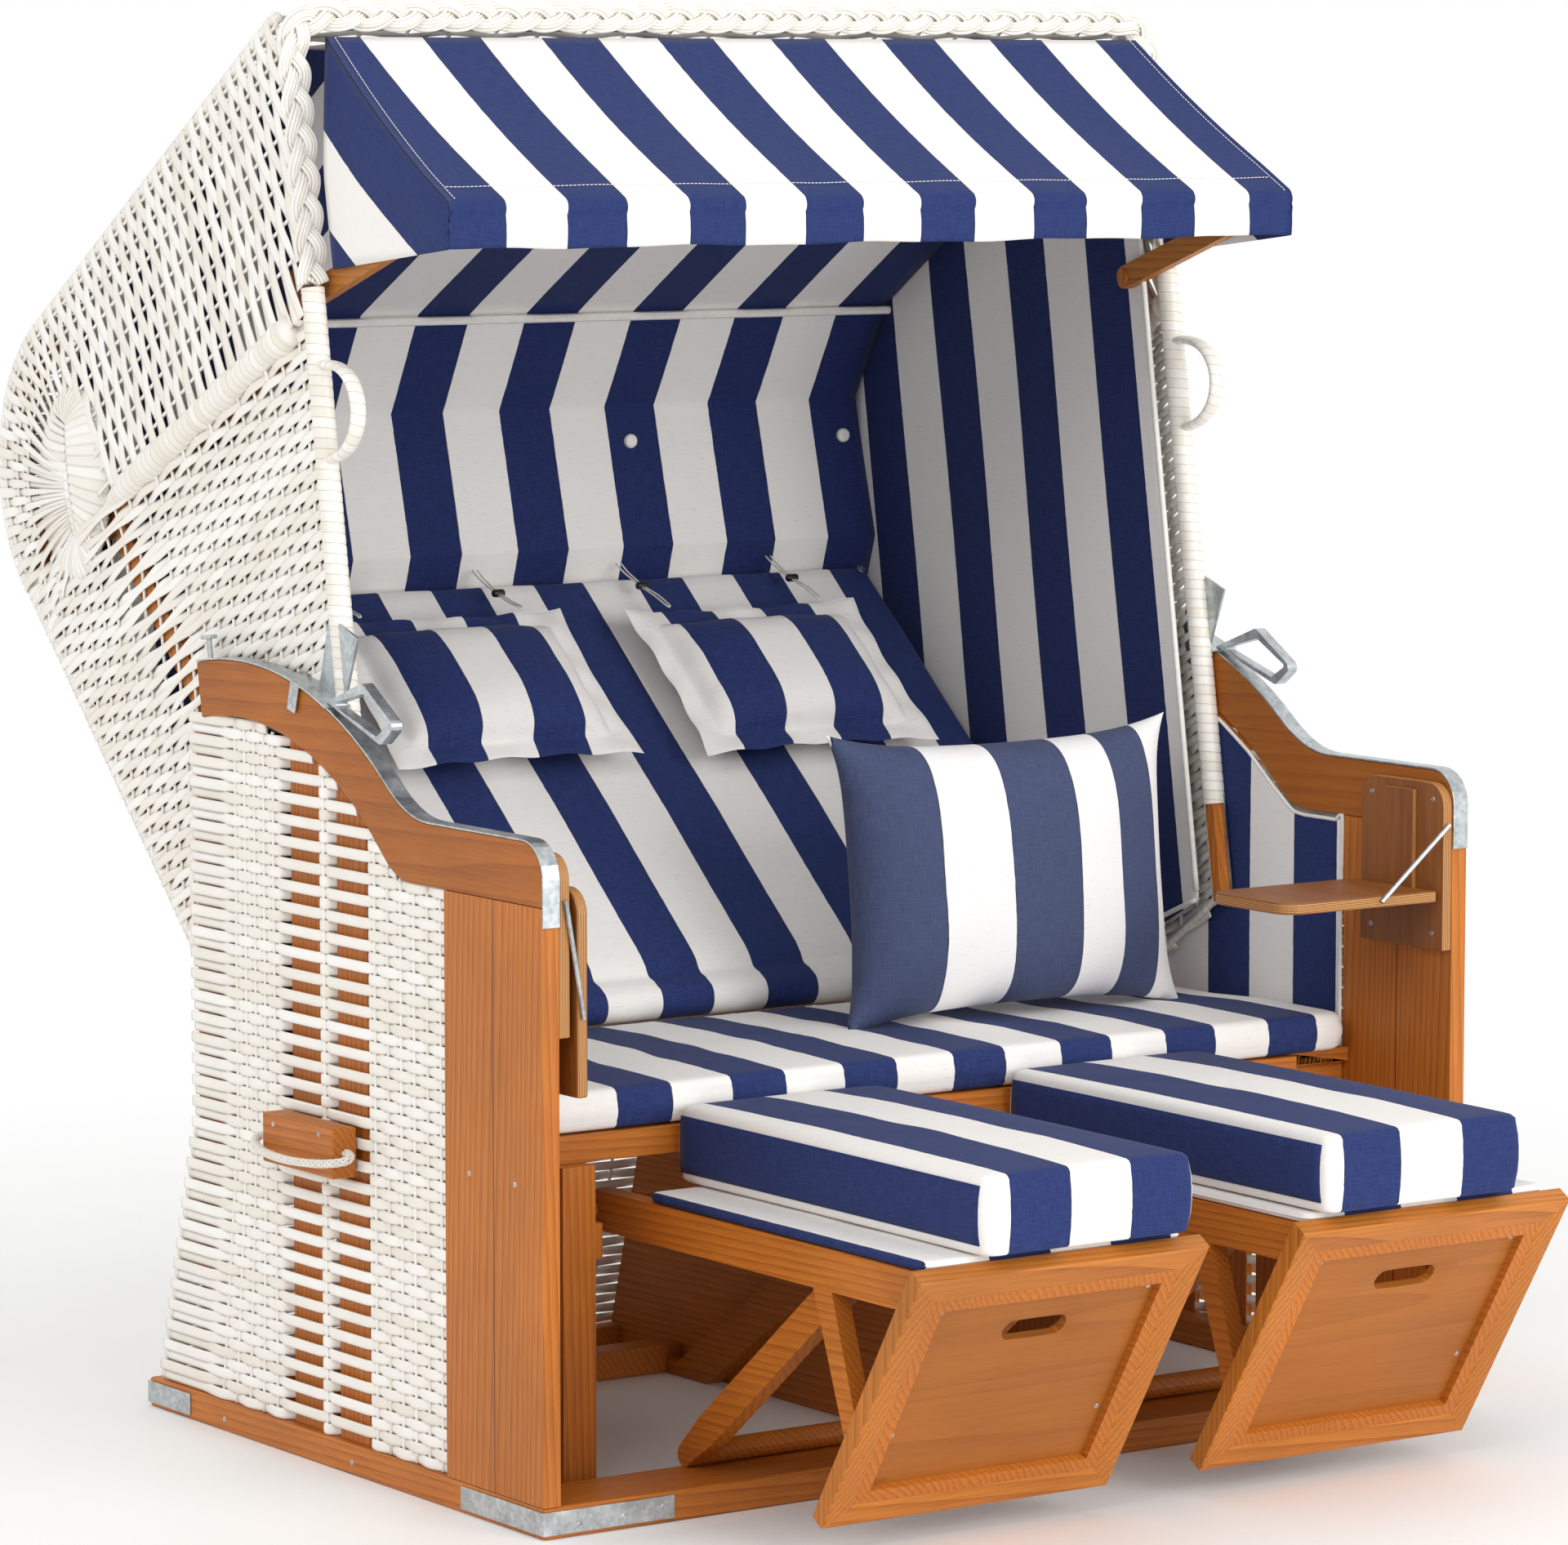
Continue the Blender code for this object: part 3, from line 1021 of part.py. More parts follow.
def throw_pillow_node():
    """A loose pillow standing on the seat."""
    half = (THROW_WIDTH / 2, THROW_HEIGHT / 2, THROW_THICKNESS / 2)

    def move(u, v, w, place):
        full = (max(0.0, 1 - u ** 4) * max(0.0, 1 - v ** 4)) ** 0.5
        thin = 0.06 + 0.94 * full
        return Vector((place.x * (1 - 0.07 * (1 - v * v) * u * u), place.y * (1 - 0.07 * (1 - u * u) * v * v),
                       place.z * thin))

    pillow = soft_block(half, PILLOW_FLANGE_THICKNESS / 4, move, 8)
    seat_top = SEAT_CUSHION_Z + SEAT_CUSHION_THICKNESS + SEAT_CROWN
    place = (THROW_CENTRE_X, THROW_CENTRE_Y, seat_top + GAP + THROW_HEIGHT / 2)
    put(pillow, place, 90 - THROW_LEAN)
    node("throw_pillow", "faded_navy", [pillow], smooth=True)


def carry_nodes():
    """Blocks on the base's sides with a rope handle through each."""
    middle_z = (BLOCK_LOW_Z + BLOCK_HIGH_Z) / 2
    inner = HALF_WIDTH + GAP
    x = inner + BLOCK_THICKNESS / 2
    half = (BLOCK_BACK_Y - BLOCK_FRONT_Y) / 2 + GAP
    middle_y = (BLOCK_BACK_Y + BLOCK_FRONT_Y) / 2
    lead = half + 2 * ROPE_RADIUS
    points = [(x, middle_y - half, middle_z)]
    for t in np.linspace(0, math.pi, ARC_STEPS + 5):
        y = middle_y - lead * math.cos(t) - ROPE_BOW * math.cos(t) * math.sin(t) ** 0.5
        points.append((x + ROPE_REACH * math.sin(t) ** 1.2, y, middle_z - ROPE_SAG * math.sin(t)))
    points.append((x, middle_y + half, middle_z))
    for side, word in ((-1, "left"), (1, "right")):
        node("carry_block_" + word, "pine",
             [box((side * inner, side * (inner + BLOCK_THICKNESS)), (BLOCK_FRONT_Y, BLOCK_BACK_Y),
                  (BLOCK_LOW_Z, BLOCK_HIGH_Z))])
        node("carry_rope_" + word, "rope",
             [tube([(side * px, py, pz) for px, py, pz in points], ROPE_RADIUS, resolution=2)], smooth=True)


def awning_frame():
    """Pivot, arm direction, arm normal and bar centre, in (y, z)."""
    rise = math.radians(AWNING_ARM_RISE)
    along = Vector((-math.cos(rise), math.sin(rise)))
    pivot = Vector((AWNING_PIVOT_Y, AWNING_PIVOT_Z))
    return pivot, along, pivot + along * AWNING_ARM_LENGTH


def awning_nodes():
    """Two swinging arms with a bar between them, and the cloth stretched over it."""
    pivot, along, bar = awning_frame()
    across = Vector((along.y, -along.x)) * AWNING_ARM_WIDTH / 2
    inner = LINING_X - 2 * GAP - AWNING_ARM_THICKNESS
    outer = LINING_X - 2 * GAP
    half = AWNING_ARM_WIDTH / 2
    tail = pivot - along * half
    shoulder = pivot + along * (AWNING_ARM_LENGTH - AWNING_ARM_TAPER)
    slim = across * (AWNING_BAR_RADIUS - 2 * LAP) / half
    corners = [tail - across, shoulder - across, bar - slim, bar + slim, shoulder + across, tail + across]
    outline = rounded([tuple(c) for c in corners], [half * 0.9, 0, 0, 0, 0, half * 0.9])
    hole = arc(pivot.x, pivot.y, PIN_RADIUS + PIN_PLAY, 0, 360, ROUND_SIDES)[:-1]
    arms = cylinder((-outer + LAP, *bar), (outer - LAP, *bar), AWNING_BAR_RADIUS)
    for side in (-1, 1):
        arms = combine(arms, side_plate([outline, hole], side * inner, side * outer), "UNION")
    node("awning_arms", "pine", [arms], origin=(0.0, *pivot))

    clear = AWNING_BAR_RADIUS + GAP + AWNING_CLOTH_THICKNESS
    top = Vector((AWNING_TOP_Y, AWNING_TOP_Z))
    reach = (bar - top).normalized()
    lift = Vector((-reach.y, reach.x))
    if lift.y < 0:
        lift = -lift
    shoulder = bar + lift * clear
    front = bar + reach * clear
    hem = front + Vector((0, -AWNING_HEM_HEIGHT))
    profile = [(top, 0.0)]
    steps = 6
    for step in range(1, steps + 1):
        share = step / steps
        place = top.lerp(shoulder, share) - lift * AWNING_SAG_DEPTH * math.sin(math.pi * share)
        profile.append((place, share))
    for turn in (30, 60):
        t = math.radians(turn)
        profile.append((bar + (lift * math.cos(t) + reach * math.sin(t)) * clear, 1.0))
    profile += [(front, 1.0), (hem, 1.0)]
    work = bmesh.new()
    rows = []
    widths = np.linspace(-1, 1, 5)

    def half_at(z):
        """Half the cloth's width at a height; low down it clears the arms."""
        return float(np.interp(z, (AWNING_SPREAD_Z, AWNING_TOP_Z), (AWNING_FRONT_HALF_WIDTH, AWNING_TOP_HALF_WIDTH)))

    for place, share in profile:
        rows.append([work.verts.new((half_at(place.y) * w, *place)) for w in widths])
    for first, second in zip(rows, rows[1:]):
        for index in range(len(widths) - 1):
            work.faces.new((first[index], first[index + 1], second[index + 1], second[index]))
    along_front, _ = front_line()
    for index, side in ((0, -1), (-1, 1)):
        edge = [row[index] for row in rows]
        fold = []
        for number, (place, share) in enumerate(profile):
            down = place - along_front * AWNING_GUSSET_HEIGHT * (1 - share) ** 0.7
            fold.append(work.verts.new((side * half_at(down.y), *down)) if share < 1 else edge[number])
        for number in range(len(edge) - 1):
            ring = [edge[number], edge[number + 1], fold[number + 1], fold[number]]
            unique = list(dict.fromkeys(ring))
            if len(unique) > 2:
                work.faces.new(unique if side < 0 else unique[::-1])
    bmesh.ops.recalc_face_normals(work, faces=work.faces)
    mesh = bpy.data.meshes.new("cloth")
    work.to_mesh(mesh)
    work.free()
    cloth = piece_object(mesh)
    wall = cloth.modifiers.new("wall", "SOLIDIFY")
    wall.thickness = AWNING_CLOTH_THICKNESS
    wall.offset = 0.0
    wall.use_even_offset = True
    node("awning_cloth", "canvas_navy", [meshed(cloth)], origin=(0.0, *pivot))


def latch_nodes():
    """Plates that ride on the armrest strips, and the stirrup handles on them."""
    ride = ARM_RADIUS + GAP + STRIP_THICKNESS + GAP
    low = arc(PIVOT_Y, PIVOT_Z, ride, LATCH_FRONT_ANGLE, LATCH_BACK_ANGLE)
    high = arc(PIVOT_Y, PIVOT_Z, ride + LATCH_PLATE, LATCH_FRONT_ANGLE, LATCH_BACK_ANGLE)
    inner = HOOD_HALF_WIDTH + GAP
    along, behind = front_line()
    for side, word in ((-1, "left"), (1, "right")):
        top_plate = side_plate([high + low[::-1]], side * inner, side * LATCH_OUTER_X)
        web_front = LATCH_FRONT_ANGLE + 1
        strap = arc(PIVOT_Y, PIVOT_Z, ride + LATCH_STRAP_HEIGHT, web_front, LATCH_WEB_ANGLE)
        skirt = arc(PIVOT_Y, PIVOT_Z, ride - ARM_BAND / 2, web_front, LATCH_WEB_ANGLE)
        web = side_plate([strap + skirt[::-1]], side * inner, side * (inner + LATCH_PLATE * 1.5))
        plate = combine(top_plate, web, "UNION")
        hook_angle = (LATCH_BACK_ANGLE * 2 + LATCH_FRONT_ANGLE) / 3
        hook_in = arc(PIVOT_Y, PIVOT_Z, ride - ARM_BAND / 2, hook_angle - 1, hook_angle + 1, 2)
        hook_out = arc(PIVOT_Y, PIVOT_Z, ride + LATCH_PLATE / 2, hook_angle - 1, hook_angle + 1, 2)
        hook = side_plate([hook_out + hook_in[::-1]], side * (LATCH_OUTER_X - LATCH_PLATE), side * LATCH_OUTER_X)
        node("latch_plate_" + word, "galvanised", [combine(plate, hook, "UNION")],
             origin=(side * inner, PIVOT_Y, PIVOT_Z))

    turn = math.radians(HANDLE_PIVOT_ANGLE)
    out = Vector((math.sin(turn), math.cos(turn)))
    base = Vector((PIVOT_Y, PIVOT_Z)) + out * (ride + LATCH_PLATE + GAP)
    slope = math.radians(HANDLE_SLOPE)
    forward = Vector((-math.cos(slope), math.sin(slope)))
    lift = Vector((math.sin(slope), math.cos(slope)))
    corners = [base + forward * HANDLE_LENGTH * u + lift * HANDLE_HEIGHT * v for u, v in HANDLE_SHARES]
    centre = sum(corners, Vector((0, 0))) / len(corners)
    inside = [c + (centre - c).normalized() * HANDLE_BAR * 1.4 for c in corners]
    turn_radius = HANDLE_BAR * 0.9
    outer_ring = rounded([tuple(c) for c in corners], [0, turn_radius, turn_radius, turn_radius], 4)
    inner_ring = rounded([tuple(c) for c in inside], [turn_radius / 3] * 4, 4)
    x_middle = (POST_INNER_X + HALF_WIDTH) / 2
    for side, word in ((-1, "left"), (1, "right")):
        x_range = (side * (x_middle - HANDLE_WIDTH / 2), side * (x_middle + HANDLE_WIDTH / 2))
        node("latch_handle_" + word, "galvanised", [side_plate([outer_ring, inner_ring], *x_range)],
             origin=(side * x_middle, *base))


def table_nodes():
    """Side tables: a wall plate, a sliding strap, the board and its stay."""
    front_y = -BASE_FRONT
    low_z = TABLE_PLATE_LOW_Z
    corners = [(front_y, low_z), (TABLE_BACK_Y, low_z), (TABLE_BACK_Y, TABLE_PLATE_HIGH_Z),
               (front_y, TABLE_PLATE_HIGH_Z)]
    plate = rounded(corners, [0, 0, TABLE_CORNER, TABLE_CORNER])
    folded_across = STAY_TOP_X - TABLE_AXIS_X
    open_drop = STAY_TOP_Z - TABLE_OPEN_Z
    open_across = math.sqrt(STAY_LENGTH ** 2 - open_drop ** 2)
    hold = open_across - folded_across
    folded_drop = math.sqrt(STAY_LENGTH ** 2 - folded_across ** 2)
    folded_axis_z = STAY_TOP_Z - folded_drop - hold
    length = TABLE_AXIS_X - TABLE_TIP_X
    half = TABLE_BOARD_THICKNESS / 2
    for side, word, is_open in ((-1, "left", False), (1, "right", True)):
        node("table_backplate_" + word, "plywood",
             [side_plate([plate], side * TABLE_PLATE_X, side * (POST_INNER_X - GAP))])
        axis_z = TABLE_OPEN_Z if is_open else folded_axis_z
        axis = (side * TABLE_AXIS_X, 0.0, axis_z)
        board = rounded([(-half, front_y), (length, front_y), (length, TABLE_BACK_Y), (-half, TABLE_BACK_Y)],
                        [0, TABLE_CORNER, TABLE_CORNER, 0])
        if is_open:
            matrix = Matrix(((-side, 0, 0, 0), (0, 1, 0, 0), (0, 0, -side, 0), (0, 0, 0, 1)))
        else:
            matrix = Matrix(((0, 0, side, 0), (0, 1, 0, 0), (1, 0, 0, 0), (0, 0, 0, 1)))
        node("table_board_" + word, "plywood",
             [flat_plate([board], TABLE_BOARD_THICKNESS, Matrix.Translation(axis) @ matrix)], origin=axis)
        slider_x = TABLE_PLATE_X - GAP
        middle_y = (front_y + TABLE_BACK_Y) / 2
        node("table_slider_" + word, "galvanised",
             [box((side * slider_x, side * (slider_x - SLIDER_THICKNESS)),
                  (middle_y - SLIDER_WIDTH / 2, middle_y + SLIDER_WIDTH / 2),
                  (axis_z - half, axis_z - half + SLIDER_LENGTH))], origin=axis)
        end = ((side * (STAY_TOP_X - open_across), STAY_Y, TABLE_OPEN_Z) if is_open
               else (side * TABLE_AXIS_X, STAY_Y, STAY_TOP_Z - folded_drop))
        start = (side * STAY_TOP_X, STAY_Y, STAY_TOP_Z)
        node("table_stay_" + word, "galvanised", [cylinder(start, end, STAY_RADIUS, sides=ARC_STEPS)],
             origin=start, smooth=True)


def footrest_panel_frame():
    """Top point, downward direction and backward normal of the front panel, in (y, z)."""
    tilt = math.radians(FOOT_PANEL_TILT)
    down = Vector((math.sin(tilt), -math.cos(tilt)))
    back = Vector((math.cos(tilt), math.sin(tilt)))
    return Vector((FOOT_PANEL_TOP_Y, FOOT_PANEL_TOP_Z)), down, back


def footrest_nodes():
    """Two pull-out footrests: panel, rails, runner, prop, pad and cushion."""
    top, down, back = footrest_panel_frame()
    runner = Vector((RUNNER_Y, RUNNER_Z))
    prop_pivot = Vector((PROP_PIVOT_Y, PROP_PIVOT_Z))
    prop_foot = Vector((PROP_FOOT_Y, SILL_HEIGHT + GAP + PROP_BAR_RADIUS))
    rail_top = RUNNER_Z + FOOT_RAIL_HEIGHT / 2
    rail_low = RUNNER_Z - FOOT_RAIL_HEIGHT / 2
    panel_back_at = lambda z: (top + down * ((FOOT_PANEL_TOP_Z - z) / -down.y) + Vector(
        (FOOT_PANEL_THICKNESS / math.cos(math.radians(FOOT_PANEL_TILT)), 0))).x
    rail = [(panel_back_at(rail_low) - LAP, rail_low), (RUNNER_Y, rail_low)]
    turns = np.radians(np.linspace(-90, 90, 2 * ARC_STEPS + 1))[1:-1]
    rail += [(RUNNER_Y + FOOT_RAIL_HEIGHT / 2 * math.cos(t), RUNNER_Z + FOOT_RAIL_HEIGHT / 2 * math.sin(t))
             for t in turns]
    rail += [(RUNNER_Y, rail_top), (panel_back_at(rail_top) - LAP, rail_top)]
    bore = arc(RUNNER_Y, RUNNER_Z, RUNNER_RADIUS + RUNNER_PLAY, 0, 360, ROUND_SIDES)[:-1]
    brace_foot = top + down * FOOT_PANEL_LENGTH * BRACE_LOW_SHARE + back * (FOOT_PANEL_THICKNESS - LAP)
    brace_up = brace_foot - down * BRACE_WIDTH
    brace = [(BRACE_TOP_Y - BRACE_WIDTH / 2, rail_low + LAP), (BRACE_TOP_Y + BRACE_WIDTH / 2, rail_low + LAP),
             tuple(brace_foot), tuple(brace_up)]
    prop_along = (prop_foot - prop_pivot).normalized()
    prop_across = Vector((prop_along.y, -prop_along.x)) * PROP_WIDTH / 2
    prop_tail = prop_pivot - prop_along * PROP_WIDTH / 2
    prop_bend = prop_foot - prop_along * PROP_TAPER
    prop_slim = prop_across * (PROP_BAR_RADIUS - LAP) / (PROP_WIDTH / 2)
    prop_corners = [prop_tail - prop_across, prop_bend - prop_across, prop_foot - prop_slim, prop_foot + prop_slim,
                    prop_bend + prop_across, prop_tail + prop_across]
    prop = rounded([tuple(c) for c in prop_corners], [PROP_WIDTH * 0.45, 0, 0, 0, 0, PROP_WIDTH * 0.45])
    for side, word in ((-1, "left"), (1, "right")):
        panel_half = (FOOT_PANEL_OUTER_X - FOOT_PANEL_INNER_X) / 2
        panel_mid = side * (FOOT_PANEL_OUTER_X + FOOT_PANEL_INNER_X) / 2
        tilt_matrix = Matrix(((1, 0, 0, 0), (0, -down.x, -back.x, 0), (0, -down.y, -back.y, 0), (0, 0, 0, 1)))
        mid = top + down * FOOT_PANEL_LENGTH / 2
        frame_middle = mid + back * FOOT_PANEL_THICKNESS / 2
        length = FOOT_PANEL_LENGTH / 2
        outer = [(-panel_half, -length), (panel_half, -length), (panel_half, length), (-panel_half, length)]
        slot_v = length - HAND_SLOT_DOWN
        slot_u = HAND_SLOT_LENGTH / 2
        slot_h = HAND_SLOT_HEIGHT / 2
        slot = rounded([(-slot_u, slot_v - slot_h), (slot_u, slot_v - slot_h), (slot_u, slot_v + slot_h),
                        (-slot_u, slot_v + slot_h)], [slot_h * 0.98] * 4, 4)
        frame = flat_plate([outer, slot], FOOT_PANEL_THICKNESS,
                           Matrix.Translation((panel_mid, *frame_middle)) @ tilt_matrix)
        field_u = panel_half - FOOT_MOULDING
        field_v = length - FOOT_MOULDING
        field = [(-field_u, -field_v), (field_u, -field_v), (field_u, field_v), (-field_u, field_v)]
        pocket_middle = mid + back * (FOOT_BOARD_RECESS - OVERRUN) / 2
        pocket = flat_plate([field], FOOT_BOARD_RECESS + OVERRUN,
                            Matrix.Translation((panel_mid, *pocket_middle)) @ tilt_matrix)
        frame = combine(frame, pocket, "DIFFERENCE")
        slim = (FOOT_RAIL_THICKNESS - BRACE_THICKNESS) / 2
        for x_in in (FOOT_RAIL_INNER_X, FOOT_RAIL_OUTER_X - FOOT_RAIL_THICKNESS):
            x_out = x_in + FOOT_RAIL_THICKNESS
            arm = combine(side_plate([rail, bore], side * x_in, side * x_out),
                          side_plate([brace], side * (x_in + slim), side * (x_out - slim)), "UNION")
            frame = combine(frame, arm, "UNION")
        origin = (panel_mid, *runner)
        node("footrest_frame_" + word, "pine", [frame], origin=origin)

        guide_clear = PARTITION_THICKNESS / 2 + 8 * GAP
        node("footrest_runner_" + word, "pine",
             [cylinder((side * guide_clear, *runner), (side * (STILE_INNER_X - 8 * GAP), *runner), RUNNER_RADIUS)],
             origin=origin, smooth=True)

        leg_x = FOOT_RAIL_INNER_X + FOOT_RAIL_THICKNESS + GAP
        far_x = FOOT_RAIL_OUTER_X - FOOT_RAIL_THICKNESS - GAP
        legs = cylinder((side * (leg_x + LAP), *prop_foot), (side * (far_x - LAP), *prop_foot), PROP_BAR_RADIUS)
        for x_in in (leg_x, far_x - PROP_THICKNESS):
            legs = combine(legs, side_plate([prop], side * x_in, side * (x_in + PROP_THICKNESS)), "UNION")
        node("footrest_prop_" + word, "pine", [legs], origin=(panel_mid, *prop_pivot))

        pad_half = ((FOOT_RAIL_OUTER_X - FOOT_RAIL_INNER_X) / 2,
                    (FOOT_PAD_BACK_Y - FOOT_PANEL_TOP_Y - FOOT_PANEL_THICKNESS) / 2, FOOT_PAD_THICKNESS / 2)
        pad = soft_block(pad_half, FOOT_PAD_THICKNESS * 0.3, cushion_shape(0.0, 0.0), 5)
        pad_mid = (FOOT_RAIL_OUTER_X + FOOT_RAIL_INNER_X) / 2
        pad_z = rail_top + GAP + FOOT_PAD_THICKNESS / 2
        put(pad, (side * pad_mid, FOOT_PAD_BACK_Y - pad_half[1], pad_z))
        node("footrest_pad_" + word, "canvas_white", [pad], origin=origin, smooth=True)

        cushion_half = ((FOOT_CUSHION_OUTER_X - FOOT_CUSHION_INNER_X) / 2,
                        (FOOT_CUSHION_BACK_Y - FOOT_CUSHION_FRONT_Y) / 2, FOOT_CUSHION_THICKNESS / 2)
        cushion = soft_block(cushion_half, FOOT_CUSHION_EDGE, cushion_shape(FOOT_CUSHION_CROWN, 0.008), 6)
        cushion_mid = side * (FOOT_CUSHION_OUTER_X + FOOT_CUSHION_INNER_X) / 2
        cushion_z = rail_top + 2 * GAP + FOOT_PAD_THICKNESS + FOOT_CUSHION_THICKNESS / 2
        put(cushion, (cushion_mid, (FOOT_CUSHION_BACK_Y + FOOT_CUSHION_FRONT_Y) / 2, cushion_z))
        node("footrest_cushion_" + word, "canvas_navy", [cushion],
             origin=(cushion_mid, SEAT_FRONT_Y, SEAT_DECK_Z + SEAT_CUSHION_THICKNESS), smooth=True)


def build():
    """Model every sub-part."""
    clear_scene()
    base_nodes()
    armrest_nodes()
    side_wall_nodes()
    hood_nodes()
    hinge_plate_nodes()
    seat_cushion_node()
    backrest_node()
    head_pillow_nodes()
    throw_pillow_node()
    carry_nodes()
    awning_nodes()
    latch_nodes()
    table_nodes()
    footrest_nodes()
    bpy.context.view_layer.update()


build()
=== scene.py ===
import math

import bpy
import numpy as np
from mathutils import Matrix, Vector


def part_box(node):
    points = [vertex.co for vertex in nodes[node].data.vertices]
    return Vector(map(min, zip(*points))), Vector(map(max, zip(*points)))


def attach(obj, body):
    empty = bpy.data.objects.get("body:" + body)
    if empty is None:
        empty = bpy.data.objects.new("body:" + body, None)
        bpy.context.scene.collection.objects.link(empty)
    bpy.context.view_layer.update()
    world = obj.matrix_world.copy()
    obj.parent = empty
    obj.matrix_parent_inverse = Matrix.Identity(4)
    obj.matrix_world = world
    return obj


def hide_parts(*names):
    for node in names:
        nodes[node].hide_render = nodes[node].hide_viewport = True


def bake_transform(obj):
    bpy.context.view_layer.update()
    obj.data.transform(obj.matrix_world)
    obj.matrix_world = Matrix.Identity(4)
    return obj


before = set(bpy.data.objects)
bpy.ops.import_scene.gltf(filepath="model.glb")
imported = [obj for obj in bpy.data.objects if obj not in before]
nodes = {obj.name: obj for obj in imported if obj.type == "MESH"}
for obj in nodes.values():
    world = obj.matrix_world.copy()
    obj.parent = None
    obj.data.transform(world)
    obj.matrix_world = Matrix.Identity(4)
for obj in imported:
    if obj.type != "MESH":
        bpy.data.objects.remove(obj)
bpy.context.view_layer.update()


# Camera, light and floor: a long lens a little above seat height, one large soft lamp from the upper left
# front, an even pale room and a matt floor that keeps the contact shadow.
def linear(code):
    """A colour written as sRGB hex, as the linear values that Blender mixes."""
    parts = np.array([int(code[place:place + 2], 16) for place in (1, 3, 5)]) / 255
    low = parts / 12.92
    high = ((parts + 0.055) / 1.055) ** 2.4
    return (*np.where(parts <= 0.04045, low, high), 1.0)


def add(tree, kind, inputs=None, **settings):
    """One shader node with its settings; a value in inputs is set, and another node's output is linked."""
    made = tree.nodes.new("ShaderNode" + kind)
    for name, value in settings.items():
        setattr(made, name, value)
    for socket, value in (inputs or {}).items():
        if isinstance(value, bpy.types.NodeSocket):
            tree.links.new(value, made.inputs[socket])
        else:
            made.inputs[socket].default_value = value
    return made


def new_material(name):
    """A material with an empty Principled shader: the tree and the shader come back with it."""
    made = bpy.data.materials.new(name)
    made.use_nodes = True
    return made, made.node_tree, made.node_tree.nodes["Principled BSDF"]


def blended(tree, share, first, second):
    """The colour between two others, by a share from 0 to 1."""
    return add(tree, "Mix", {0: share, 6: first, 7: second}, data_type="RGBA").outputs[2]


def ramp(tree, value, low, high):
    """A value brought from low..high to 0..1, held at both ends."""
    return add(tree, "MapRange", {0: value, 1: low, 2: high, 3: 0.0, 4: 1.0}).outputs[0]


def maths(tree, operation, *values):
    """The result of one sum on up to three values."""
    return add(tree, "Math", dict(enumerate(values)), operation=operation).outputs[0]


def noise(tree, scale, detail, where=None, **more):
    """Soft noise from 0 to 1 with scale features in a metre, over the object unless told where."""
    where = add(tree, "TexCoord").outputs["Object"] if where is None else where
    return add(tree, "TexNoise", {"Vector": where, "Scale": scale, "Detail": detail, **more}).outputs[0]


def relief(tree, shader, height, strength, distance):
    """Fine relief that only the shading shows."""
    bump = add(tree, "Bump", {"Height": height, "Strength": strength, "Distance": distance})
    tree.links.new(bump.outputs[0], shader.inputs["Normal"])


def paint(tree, shader, colour, rough=None):
    """The base colour from a socket, and an even roughness."""
    tree.links.new(colour, shader.inputs["Base Color"])
    if rough is not None:
        shader.inputs["Roughness"].default_value = rough


def mottled(name, scale, detail, dark, light, rough):
    """A material of two near colours mixed by fine noise: it comes back with its tree, shader and noise."""
    coat, tree, shader = new_material(name)
    grain = noise(tree, scale, detail)
    paint(tree, shader, blended(tree, grain, linear(dark), linear(light)), rough)
    return coat, tree, shader, grain


camera = bpy.data.objects.new("camera", bpy.data.cameras.new("camera"))
camera.location = (-4.0023, -5.7654, 1.4555)
camera.rotation_euler = (math.radians(83.87), 0.0, math.radians(-34.572))
camera.data.lens = 148.155
camera.data.sensor_width = 36.0
bpy.context.scene.collection.objects.link(camera)
bpy.context.scene.camera = camera
bpy.context.scene.view_settings.view_transform = "Standard"

world = bpy.data.worlds.new("room")
world.use_nodes = True
room = world.node_tree
seen = add(room, "LightPath")
direct = add(room, "Math", {0: seen.outputs["Is Camera Ray"], 1: seen.outputs["Is Glossy Ray"]},
             operation="MAXIMUM")
direct = add(room, "Math", {0: direct.outputs[0], 1: seen.outputs["Is Transmission Ray"]},
             operation="MAXIMUM")
dim = add(room, "Background", {"Color": (1.0, 1.0, 1.0, 1.0), "Strength": 0.90})
plain = add(room, "Background", {"Color": (1.0, 1.0, 1.0, 1.0), "Strength": 1.0})
either = add(room, "MixShader", {0: direct.outputs[0], 1: dim.outputs[0], 2: plain.outputs[0]})
room.links.new(either.outputs[0], room.nodes["World Output"].inputs["Surface"])
bpy.context.scene.world = world

for title, place, size, power, aim in (("key_lamp", (-4.0, -3.0, 3.6), 2.2, 48.0, (0.0, 0.0, 0.7)),
                                       ("front_lamp", (0.9, -4.8, 1.7), 2.6, 104.0, (0.1, 0.0, 0.8))):
    lamp = bpy.data.objects.new(title, bpy.data.lights.new(title, "AREA"))
    lamp.data.size = size
    lamp.data.energy = power
    lamp.location = place
    heading = np.array(aim) - np.array(place)
    flat = math.hypot(heading[0], heading[1])
    lamp.rotation_euler = (math.atan2(flat, -heading[2]), 0.0, math.atan2(-heading[0], heading[1]))
    bpy.context.scene.collection.objects.link(lamp)


def grid_faces(rows, columns, around=False, first=0):
    """The corner numbers of the quads over a grid of points laid row by row."""
    row = np.arange(rows - 1)[:, None] * columns
    column = np.arange(columns if around else columns - 1)[None, :]
    after = (column + 1) % columns
    quads = np.stack([row + column, row + after, row + columns + after, row + columns + column], -1)
    return quads.reshape(-1, 4) + first


